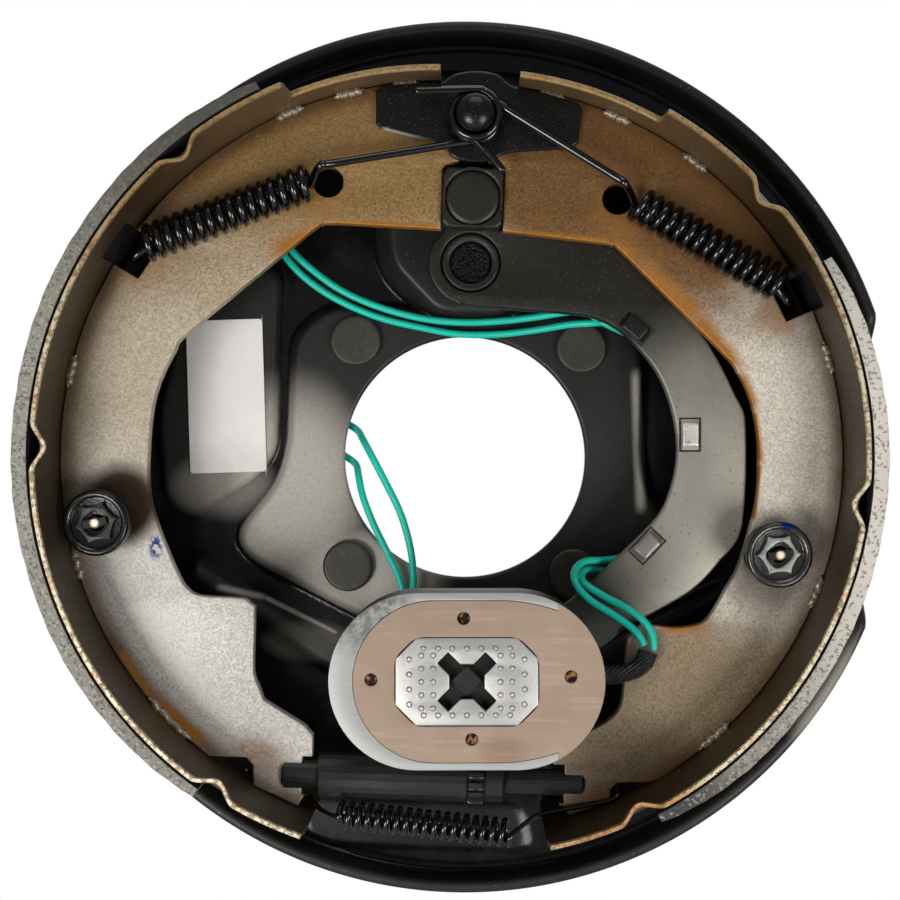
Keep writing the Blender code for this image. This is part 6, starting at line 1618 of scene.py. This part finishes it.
def cut_window(piece, shoe):
    """Open the small window in the table where the retractor spring hooks through."""
    low, high = shoe["hook"]
    turn = np.radians([low, high])
    rows = []
    for reach in (shoe["radius"] + 2 * MM, shoe["radius"] - 4 * MM):
        for across in (-NECK_WIDTH / 2, NECK_WIDTH / 2):
            rows.append([(shoe["centre"][0] + reach * math.cos(t), WEB_MIDDLE + across,
                          shoe["centre"][1] + reach * math.sin(t)) for t in turn])
    rows = np.array(rows)[[0, 1, 3, 2]]
    faces = grid_faces(4, 2, wrap_rows=True).tolist() + [[0, 2, 4, 6], [1, 3, 5, 7]]
    helper = make_piece(piece.name + "_window", rows, faces, PAINTED_GAP_SHADE)
    cut = piece.modifiers.new("window", "BOOLEAN")
    cut.object = helper
    cut.operation = "DIFFERENCE"
    cut.solver = "EXACT"
    bpy.context.view_layer.objects.active = piece
    piece.select_set(True)
    bpy.ops.object.modifier_apply(modifier=cut.name)
    bpy.data.objects.remove(helper)


def shoe_table(key):
    """Make one table and put it in its solid's place."""
    points = table_points(SHOES[key])
    faces = grid_faces(*points.shape[:2], wrap_columns=True).tolist()
    count = points.shape[1]
    total = points.shape[0] * count
    faces += [list(range(count)), list(range(total - count, total))]
    piece = make_piece(key + "_table_strip", points, faces, TABLE_LACQUER, smooth=50.0)
    cut_window(piece, SHOES[key])
    dress(piece, key + "_shoe_table")
    print(piece.name, len(piece.data.polygons), "faces")
    return piece


for key in SHOES:
    shoe_table(key)

# %% [markdown]
# The lining is a block bonded to the table. Its ends thin out, its front and back edges are ground
# square, and it has worn slightly uneven at its outer edge. It is the same closed section idea, with
# four rounded corners and a little noise from a sum of sines in the outer radius.

# %% Linings
LINING_THICKNESS = 4.6 * MM
LINING_END_TAPER = 1.8 * MM


def lining_points(shoe, rows=300):
    """A rounded rectangle carried along the arc; its outer side tapers with the sixth power of the
    distance from the middle."""
    low, high = shoe["lining"]
    share = np.linspace(0.0, 1.0, rows)[:, None]
    angle = np.radians(low + (high - low) * share)
    inner = shoe["radius"] + SHOE_TOUCH
    thick = LINING_THICKNESS - LINING_END_TAPER * np.abs(2 * share - 1) ** 6
    uneven = 0.12 * MM * (np.sin(37 * angle) * np.sin(23 * angle + 1.1) + 0.5
                          * np.sin(91 * angle)) - 0.12 * MM
    corner = 0.35 * MM
    quarter = np.radians(np.linspace(0, 90, 4))
    across, outward = [], []
    half = SHOE_WIDTH / 2
    for side_a, side_r, turn in ((-1, 1, quarter), (1, 1, quarter[::-1]), (1, -1, quarter),
                                 (-1, -1, quarter[::-1])):
        across.append(side_a * (half - corner + corner * np.cos(turn)))
        outward.append(side_r * (0.5 * thick - corner + corner * np.sin(turn)[None, :]))
    across = np.concatenate(across)[None, :]
    outward = np.concatenate(outward, axis=1)
    radius = inner + 0.5 * thick + outward + np.where(outward > 0, uneven, 0.0)
    x = shoe["centre"][0] + radius * np.cos(angle)
    z = shoe["centre"][1] + radius * np.sin(angle)
    return np.stack([x, np.broadcast_to(WEB_MIDDLE + across, x.shape), z], axis=-1)


def shoe_lining(key):
    """Make one lining and put it in its solid's place."""
    points = lining_points(SHOES[key])
    faces = grid_faces(*points.shape[:2], wrap_columns=True).tolist()
    count = points.shape[1]
    total = points.shape[0] * count
    faces += [list(range(count)), list(range(total - count, total))]
    piece = make_piece(key + "_lining_block", points, faces, LINING, smooth=45.0)
    # painted shade: the lining's inner faces, seen through the table's window, are near black
    piece.data.materials.append(LINING_INNER_SHADE)
    centres = np.empty(len(piece.data.polygons) * 3)
    piece.data.polygons.foreach_get("center", centres)
    centres = centres.reshape(-1, 3)
    reach = np.hypot(centres[:, 0] - SHOES[key]["centre"][0], centres[:, 2] - SHOES[key]["centre"][1])
    bonded = (reach < SHOES[key]["radius"] + SHOE_TOUCH + 0.15 * MM).astype(np.int32)
    piece.data.polygons.foreach_set("material_index", bonded)
    dress(piece, key + "_lining")
    return piece


# painted shade on the lining's inner faces: near black
LINING_INNER_SHADE = soft_plastic("lining_inner_shade", (0.006, 0.005, 0.004), 0.6, film_share=0.0)


linings = [shoe_lining(key) for key in SHOES]
print("linings:", [piece.name for piece in linings])

# %% [markdown]
# ## Welds
#
# Each web is welded inside its table with short beads. A weld bead is a lumpy sausage in the corner
# between the two: a tube along the arc whose radius swells and shrinks as the puddles froze.

# %% Weld beads
WELDS = {
    "secondary": ((94.5, 98.5), (103.0, 107.5), (112.5, 117.0), (166.0, 171.0), (196.0, 201.0),
                  (222.0, 231.0)),
    "primary": ((77.5, 81.5), (66.5, 71.0), (52.5, 57.0), (15.0, 20.0), (-22.0, -17.0), (-50.0, -44.0))}
WEB_FRONT = -30.975 * MM


def weld(key, index, start, end):
    """A lumpy tube in the corner of web and table."""
    shoe = SHOES[key]
    share = np.linspace(0.0, 1.0, 34)
    angle = np.radians(start + (end - start) * share)
    wobble = 0.25 * MM * np.sin(share * 23.0 + index * 1.7)
    reach = shoe["radius"] - TABLE_THICKNESS - 0.9 * MM + wobble
    path = np.stack([shoe["centre"][0] + reach * np.cos(angle), np.full(34, WEB_FRONT - 0.5 * MM) + 0.5
                     * wobble,
                     shoe["centre"][1] + reach * np.sin(angle)], axis=-1)
    radius = 1.25 * MM * (0.82 + 0.16 * np.abs(np.sin(share * 17.0 + index)) + 0.07 * np.sin(share * 61.0))
    radius = radius * np.clip(np.sin(np.pi * share) * 3.0, 0.35, 1.0)
    piece = tube_piece(f"{key}_weld_{index + 1}", path, radius, WELD, around=14)
    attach(piece, body_of(key + "_shoe_web"))
    return piece


WELD = oiled_steel("weld_bead", (0.20, 0.165, 0.12), 0.30, speckle=0.5)
for key, places in WELDS.items():
    for index, (start, end) in enumerate(places):
        weld(key, index, start, end)
print("welds:", sum(len(places) for places in WELDS.values()))

# %% [markdown]
# ## Turned and headed pieces
#
# The anchor post, its ring, the studs, the pivot and the rivet are all headed or turned, so each is
# a profile carried round its axis. The corners of the profile are softened, because the forming
# dies leave a small radius there, and that radius is what shines.

# %% Anchor post, studs, rivet and pivot
GUIDE_FRONT = -33.675 * MM
NECK_FRONT = -43.675 * MM
WEB_BACK = -26.175 * MM
POST_RADIUS = 8.0 * MM
NECK_RADIUS = 5.2 * MM
NECK_FOOT = -31.4 * MM
DOME_RADIUS = 5.8 * MM
DOME_HEIGHT = 3.6 * MM
FLANGE_RADIUS = 12.0 * MM
FLANGE_DEPTHS = (-25.9 * MM, -9.3 * MM)
RIVET_RADIUS = 11.0 * MM
STUD_RADIUS = 4.7 * MM
STUD_HEAD_RADIUS = 8.15 * MM
STUD_HEAD_FOOT = -3.8 * MM
STUD_END = 25.0 * MM


def anchor_profile():
    """From the dome's top to the rivet behind the pedestal."""
    dome = np.radians(np.linspace(90.0, 0.0, 12))
    front, back = FLANGE_DEPTHS
    head = list(zip(DOME_RADIUS * np.cos(dome), NECK_FRONT - 0.3 * MM - DOME_HEIGHT * np.sin(dome)))
    neck = [(NECK_RADIUS, NECK_FRONT + 0.1 * MM), (NECK_RADIUS, NECK_FOOT), (POST_RADIUS, NECK_FOOT)]
    flange = [(POST_RADIUS, front), (FLANGE_RADIUS, front), (FLANGE_RADIUS, back), (POST_RADIUS, back)]
    rivet = [(POST_RADIUS, -5.2 * MM), (RIVET_RADIUS, -5.2 * MM), (RIVET_RADIUS, -3.9 * MM),
             (9.5 * MM, -2.7 * MM), (0.0, -2.7 * MM)]
    return head + neck + flange + rivet


def stud_profile():
    """A flat head with a faint dish, a shank and a chamfered tip at the back."""
    head = [(0.0, -6.02 * MM), (5.6 * MM, -6.1 * MM), (7.5 * MM, -6.1 * MM),
            (STUD_HEAD_RADIUS, -5.5 * MM), (STUD_HEAD_RADIUS, STUD_HEAD_FOOT)]
    tip = [(3.9 * MM, STUD_END), (0.0, STUD_END)]
    return head + [(STUD_RADIUS, STUD_HEAD_FOOT), (STUD_RADIUS, 24.2 * MM)] + tip


post = turned_piece("anchor_pin", anchor_profile(), ANCHOR_PLACE, GUIDE_STEEL, edge=0.5 * MM)
dress(post, "anchor_post")
for index in range(4):
    low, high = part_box(f"mounting_stud_{index + 1}")
    middle = (low + high) / 2
    stud = turned_piece(f"pressed_stud_{index + 1}", stud_profile(), (middle.x, middle.z), STUD_STEEL,
                        edge=0.4 * MM)
    dress(stud, f"mounting_stud_{index + 1}")

bush_profile = [(6.5 * MM, -20.2 * MM), (8.8 * MM, -20.2 * MM), (8.8 * MM, -25.7 * MM),
                (8.0 * MM, -25.9 * MM), (6.5 * MM, -25.5 * MM)]
bush = turned_piece("pivot_bush", bush_profile, PIVOT_PLACE, ARM_STEEL, edge=0.4 * MM, closed=True)
dress(bush, "lever_bush")
pin_profile = [(0.0, -24.4 * MM), (2.0 * MM, -24.6 * MM), (4.6 * MM, -24.4 * MM), (6.2 * MM, -23.9 * MM),
               (6.2 * MM, -19.9 * MM),
               (11.0 * MM, -19.9 * MM), (11.0 * MM, -9.3 * MM), (6.2 * MM, -9.3 * MM), (6.2 * MM, -5.2
                                                                                        * MM),
               (7.8 * MM, -5.2 * MM), (7.8 * MM, -3.6 * MM), (0.0, -3.6 * MM)]
pin = turned_piece("pivot_pin", pin_profile, PIVOT_PLACE, GREASE, edge=0.5 * MM)
dress(pin, "lever_pivot_pin")
CAM_PLACE = (0.0, 79.0 * MM)
rivet_profile = [(0.0, -33.45 * MM), (7.0 * MM, -33.375 * MM), (8.1 * MM, -32.9 * MM),
                 (8.1 * MM, -31.375 * MM),
                 (4.0 * MM, -31.375 * MM), (4.0 * MM, -20.175 * MM), (6.0 * MM, -20.175 * MM), (6.0 * MM,
                                                                                                -18.475 * MM),
                 (0.0, -18.475 * MM)]
rivet = turned_piece("cam_rivet_head", rivet_profile, CAM_PLACE, BLOCK_STEEL, edge=0.3 * MM)
dress(rivet, "cam_rivet")
print("turned pieces: post, 4 studs, bush, pin, rivet")

# %% [markdown]
# ## Springs
#
# The return springs are wound from thick wire, nearly closed, with a hook that goes through the
# shoe's web and a straight end that wraps the anchor post. A spring is a tube along a helix: the
# helix's centre moves evenly from start to end while its angle turns by a full circle for each
# pitch. The hook, the coil, the straight run and the loop are one path, smoothed together.

# %% Spring paths
COIL_DEPTH = -37.155 * MM
WIRE = 1.22 * MM


def helix(start, end, radius, pitch, first_angle, per_turn=12):
    """Centre line of a coil: side and front directions square to its run, turned evenly."""
    start, end = np.array(start, float), np.array(end, float)
    along = end - start
    turns = round(np.linalg.norm(along) / pitch)
    forward = along / np.linalg.norm(along)
    side = np.cross(forward, (0.0, 1.0, 0.0))
    side /= np.linalg.norm(side)
    front = np.cross(side, forward)
    share = np.linspace(0.0, 1.0, turns * per_turn + 1)[:, None]
    angle = math.tau * turns * share + math.radians(first_angle)
    return start + along * share + side * radius * np.cos(angle) + front * radius * np.sin(angle)


def loop_round_post(start_angle, turn, depth, next_depth, steps=24):
    """One loop round the neck of the anchor post, moving forwards as it goes."""
    share = np.linspace(0.0, 1.0, steps + 1)
    angle = np.radians(start_angle + turn * share)
    return np.stack([6.9 * MM * np.cos(angle), depth + (next_depth - depth) * share,
                     ANCHOR_PLACE[1] + 6.9 * MM * np.sin(angle)], axis=-1)


def retractor(hook, start, end, knee, loop, tail):
    """The whole wire, from the hook in the web to the tail beyond the post."""
    turns = helix(np.array(start) * MM, np.array(end) * MM, 4.75 * MM, 3.3 * MM, 90.0)
    return np.vstack([np.array(hook) * MM, turns, np.array(knee) * MM, loop, np.array([tail]) * MM])


FIRST = GUIDE_FRONT / MM - 1.13 - 0.3
GAP = 2.56
SECOND = FIRST - 2 * GAP - 0.3
BEHIND = WEB_BACK / MM + 0.4
DEPTH = COIL_DEPTH / MM
HOOK_FRONT = WEB_FRONT / MM - 0.6
left_wire = retractor(
    [(-103, BEHIND, 57.4), (-103, WEB_MIDDLE / MM, 57.4), (-102.6, HOOK_FRONT, 57.8)],
    (-98.4, DEPTH, 60.8), (-49.4, DEPTH, 81.4),
    [(-46, DEPTH - 3.4, 85.6), (-40, DEPTH - 2.2, 87.2)],
    loop_round_post(-99, 372, FIRST * MM, (FIRST - GAP) * MM), (8.6, FIRST - GAP - 0.4, 86.8))
right_wire = retractor(
    [(97.4, BEHIND, 50.4), (97.4, WEB_MIDDLE / MM, 50.4), (97.0, HOOK_FRONT, 50.8)],
    (94.0, DEPTH, 54.8), (49.6, DEPTH, 78.2),
    [(45.6, DEPTH - 3.4, 83.2), (40.8, DEPTH - 3.2, 86.4)],
    loop_round_post(38, 415, SECOND * MM, (SECOND - GAP) * MM), (-17.6, SECOND - GAP - 0.3, 108.4))
left_spring = tube_piece("left_return_spring", flowing(left_wire, 0.55 * MM), WIRE, ENAMEL, around=14)
dress(left_spring, "secondary_retractor_spring")
right_spring = tube_piece("right_return_spring", flowing(right_wire, 0.55 * MM), WIRE, ENAMEL, around=14)
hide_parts("primary_retractor_spring")
print("return springs:", len(left_spring.data.polygons), len(right_spring.data.polygons), "faces")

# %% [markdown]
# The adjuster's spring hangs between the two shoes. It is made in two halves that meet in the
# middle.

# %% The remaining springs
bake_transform(right_spring)

ADJUSTER_Z = -99.0 * MM
adjuster_depth = WEB_FRONT / MM - 2.0
adjuster_behind = WEB_BACK / MM + 1.05
low_line = -107.3
hook_left = [(-63.6, WEB_FRONT / MM, -97.8), (-63.6, WEB_BACK / MM - 0.4, -98.2),
             (-61.2, adjuster_behind, -100.8), (-54, adjuster_behind, -104.2), (-50, adjuster_behind,
                                                                                -105.4),
             (-44.6, adjuster_behind + 0.2, low_line + 0.6), (-42.4, WEB_MIDDLE / MM, low_line - 0.8),
             (-38.8, adjuster_depth, low_line - 2.2)]
hook_right = [(22.5, adjuster_depth - 0.4, -110.6), (28, adjuster_depth + 0.6, -107.8),
              (46, WEB_FRONT / MM - 1.05, -103.8), (50.6, WEB_FRONT / MM - 0.2, -101.6),
              (51.0, WEB_BACK / MM, -100.8)]
turns = helix(np.array((-34.4, adjuster_depth, -110.0)) * MM, np.array((18.0, adjuster_depth, -114.0)) * MM,
              3.6 * MM, 3.0 * MM, -90.0)
wire = flowing(np.vstack([np.array(hook_left) * MM, turns, np.array(hook_right) * MM]), 0.45 * MM)
middle = int(np.argmin(np.abs(wire[:, 0] + 8.0 * MM)))
halves = (("adjuster_spring_left", wire[:middle + 1], "secondary_shoe", -44.0 * MM),
          ("adjuster_spring_right", wire[middle:], "primary_link", 36.0 * MM))
for name, run, body, far in halves:
    coiled = (run[:, 0] > -36.0 * MM) & (run[:, 0] < 20.0 * MM)
    half = tube_piece(name, run, np.where(coiled, 0.98 * MM, 0.75 * MM), ENAMEL, around=10)
    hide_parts("adjuster_spring")
    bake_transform(half)
print("adjuster spring points:", len(wire))

magnet_low, magnet_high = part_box("magnet_spring")
centre = (magnet_low + magnet_high) / 2
share = np.linspace(0.0, 1.0, 3 * 24 + 1)[:, None]
angle = math.tau * 3 * share
first, last = magnet_low.y + 0.9 * MM, magnet_high.y - 0.9 * MM
ring = 9.0 * MM
path = np.hstack([centre.x + ring * np.cos(angle), first + (last - first) * share, centre.z + ring
                  * np.sin(angle)])
magnet_spring = tube_piece("magnet_coil_spring", path, 0.9 * MM, ENAMEL, around=10)
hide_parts("magnet_spring")
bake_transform(magnet_spring)
print("magnet spring from", round(first / MM, 1), "to", round(last / MM, 1))

# %% [markdown]
# ## Hold-downs
#
# Each shoe is held against the plate by a pin, a spring and a pressed cup. The cup is black and
# glossy. Its rim stands proud, its floor is pierced so that a six-pointed star is left in the
# middle, and a neck in the star's centre takes the pin, whose flattened end has a painted
# highlight, a small warm pale spot. The star is an outline whose radius swings between two
# values, carried down over rolled edges.

# %% Cups
HOLD_PLACES = {"secondary": (-109.4 * MM, -23.3 * MM), "primary": (95.2 * MM, -26.1 * MM)}
CUP_FRONT = -41.575 * MM
STAR_TURN = {"secondary": 14.0, "primary": 4.0}


def cup_profile():
    """Rim, side wall and inside, as one closed section of (radius, depth)."""
    front, back = CUP_FRONT - 0.66 * MM, CUP_FRONT + 5.0 * MM
    return [(7.7 * MM, front + 0.5 * MM), (8.3 * MM, front), (9.3 * MM, front),
            (10.0 * MM, front + 0.9 * MM),
            (10.0 * MM, back), (8.9 * MM, back), (8.9 * MM, CUP_FRONT + 2.3 * MM), (2.4 * MM, CUP_FRONT
                                                                                    + 2.3 * MM),
            (2.4 * MM, CUP_FRONT + 1.5 * MM), (7.7 * MM, CUP_FRONT + 1.5 * MM)]


def star_loop(place, degrees, count=144):
    """Six points: the radius is the inner one, raised by a sharp peak every sixty degrees."""
    angle = np.linspace(0.0, math.tau, count, endpoint=False)
    peak = np.abs(((np.degrees(angle) + 30.0) % 60.0) - 30.0) / 30.0
    radius = 5.1 * MM + 1.5 * MM * (1.0 - peak) ** 3.0
    turn = angle + math.radians(degrees)
    return np.stack([place[0] + radius * np.cos(turn), place[1] + radius * np.sin(turn)], axis=1)


def neck_loop(place, degrees, half, count=48):
    """A rounded slot: a squashed circle that stays open for the pin's end."""
    angle = np.linspace(0.0, math.tau, count, endpoint=False)
    u = half[0] * np.sign(np.cos(angle)) * np.abs(np.cos(angle)) ** 0.7
    v = half[1] * np.sign(np.sin(angle)) * np.abs(np.sin(angle)) ** 0.7
    turn = math.radians(degrees)
    return np.stack([place[0] + u * math.cos(turn) - v * math.sin(turn),
                     place[1] + u * math.sin(turn) + v * math.cos(turn)], axis=1)


def hold_down(key):
    """Cup, star and coil of one hold-down. The pin keeps its solid's shape."""
    place = HOLD_PLACES[key]
    cup = turned_piece(key + "_cup_shell", cup_profile(), place, CUP_STEEL[key], edge=0.4 * MM, around=72,
                       closed=True)
    dress(cup, key + "_hold_down_cup")
    turn = STAR_TURN[key]
    points, faces = pressed([star_loop(place, turn), neck_loop(place, 42.0, (3.8 * MM, 3.3 * MM))[::-1]],
                            CUP_FRONT - 0.3 * MM, CUP_FRONT + 1.55 * MM, 0.3 * MM)
    star = make_piece(key + "_cup_star", points, faces, STAR_STEEL[key], smooth=40.0, weld=None)
    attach(star, body_of(key + "_hold_down_cup"))
    low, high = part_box(key + "_hold_down_spring")
    first, last = low.y + 0.9 * MM, high.y - 0.9 * MM
    share = np.linspace(0.0, 1.0, 3 * 24 + 1)[:, None]
    angle = math.tau * 3 * share
    path = np.hstack([place[0] + 6.4 * MM * np.cos(angle), last + (first - last) * share,
                      place[1] + 6.4 * MM * np.sin(angle)])
    coil = tube_piece(key + "_hold_coil", path, 0.9 * MM, ENAMEL, around=10)
    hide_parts(key + "_hold_down_spring")
    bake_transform(coil)
    return cup


CUP_STEEL = {"secondary": oiled_steel("cup_dark", (0.0045, 0.0045, 0.0045), 0.10, speckle=0.2, metal=0.0),
             "primary": oiled_steel("cup_bright", (0.060, 0.058, 0.055), 0.14, speckle=0.3, metal=0.8,
                                    marked=((97.4, -17.4), (2.6, 1.5)))}
STAR_STEEL = {"secondary": oiled_steel("star_dark", (0.026, 0.027, 0.022), 0.30, speckle=0.3),
              "primary": oiled_steel("star_bright", (0.22, 0.215, 0.205), 0.30, speckle=0.5)}
for key in HOLD_PLACES:
    hold_down(key)
print("hold-downs made")

# %% [markdown]
# ## The adjuster
#
# The adjuster is a screw between the shoes' lower ends: a long nut on the left, the star wheel in
# the middle and a socket on the right. Nut and socket keep their solids, which already have the
# right turned shape and slots. The wheel's teeth are cut square, and its collar is a turned ring.

# %% Star wheel
def star_wheel():
    """Teeth as a swept outline along X: the radius follows a squared-off wave round the axis."""
    angle = np.linspace(0.0, math.tau, 14 * 16, endpoint=False)
    wave = np.tanh(3.2 * np.cos(14 * angle)) * 0.5 + 0.5
    radius = 6.2 * MM + 1.2 * MM * wave
    profile = [(4.4, 0.0), (4.4, 0.94), (4.9, 1.0), (8.7, 1.0), (9.2, 0.94), (9.2, 0.86)]
    rows = []
    for x, scale in profile[1:]:
        rows.append((x * MM, radius * scale))
    for x, reach in ((9.3, 6.0), (9.6, 6.0), (9.9, 6.6), (14.9, 6.6), (15.4, 6.1), (15.4, 3.4)):
        rows.append((x * MM, np.full_like(angle, reach * MM)))
    x = np.stack([np.full_like(angle, place) for place, _ in rows])
    radius = np.stack([reach for _, reach in rows])
    points = np.stack([x, WEB_MIDDLE + radius * np.cos(angle), ADJUSTER_Z + radius * np.sin(angle)],
                      axis=-1)
    count = points.shape[1]
    total = points.shape[0] * count
    faces = grid_faces(*points.shape[:2], wrap_columns=True).tolist() + [list(range(count)),
                                                                         list(range(total - count, total))]
    piece = make_piece("star_wheel", points, faces, ADJUSTER_STEEL, smooth=35.0)
    dress(piece, "adjuster_screw")
    return piece


wheel = star_wheel()
print("star wheel faces:", len(wheel.data.polygons))

# %% [markdown]
# ## The solids that are already right
#
# Small plain pieces, and those mostly hidden, keep their solid's own shape. They only get their
# finish.

# %% Finishes for the remaining solids
NODE_FINISH = {
    "adjuster_nut": ADJUSTER_STEEL, "adjuster_socket": ADJUSTER_STEEL, "adjuster_screw": ADJUSTER_STEEL,
    "magnet_coil": COPPER, "magnet_post": ADJUSTER_STEEL, "magnet_cup": MAGNET_STEEL, "magnet_core": POLE,
    "magnet_friction_face": RESIN, "label": LABEL, "shoe_guide_plate": GUIDE_STEEL, "lever_arm": ARM_STEEL,
    "anchor_post": ARM_STEEL, "cam_block": ARM_STEEL, "cam_rivet": ARM_STEEL, "lever_bush": BRIGHT_STEEL,
    "lever_pivot_pin": BRIGHT_STEEL, "lead_grommet": RUBBER, "dust_plug_left": RUBBER,
    "dust_plug_right": RUBBER, "secondary_shoe_web": SHOE_LACQUER, "primary_shoe_web": SHOE_LACQUER,
    "secondary_shoe_table": TABLE_LACQUER, "primary_shoe_table": TABLE_LACQUER,
    "secondary_lining": LINING, "primary_lining": LINING}
for name, node in nodes.items():
    if name in NODE_FINISH:
        finish = NODE_FINISH[name]
    elif "stud" in name:
        finish = STUD_STEEL
    elif "magnet_screw" in name:
        finish = COPPER
    elif "hold_down_pin" in name:
        place = HOLD_PLACES[name.split("_")[0]]
        # painted highlight: a small warm pale spot on the end of each hold-down pin, given as worn
        finish = oiled_steel(name + "_steel", (0.010, 0.009, 0.008), 0.30, metal=0.6, worn=(
            (place[0] / MM, place[1] / MM), (1.6, 1.6), (0.95, 0.80, 0.62)))
    elif "cup" in name or "pin" in name:
        finish = BRIGHT_STEEL
    elif "spring" in name:
        finish = ENAMEL
    else:
        finish = LEAD_PLASTIC
    node.data.materials.clear()
    node.data.materials.append(finish)
print("solids with a finish:", len(nodes))
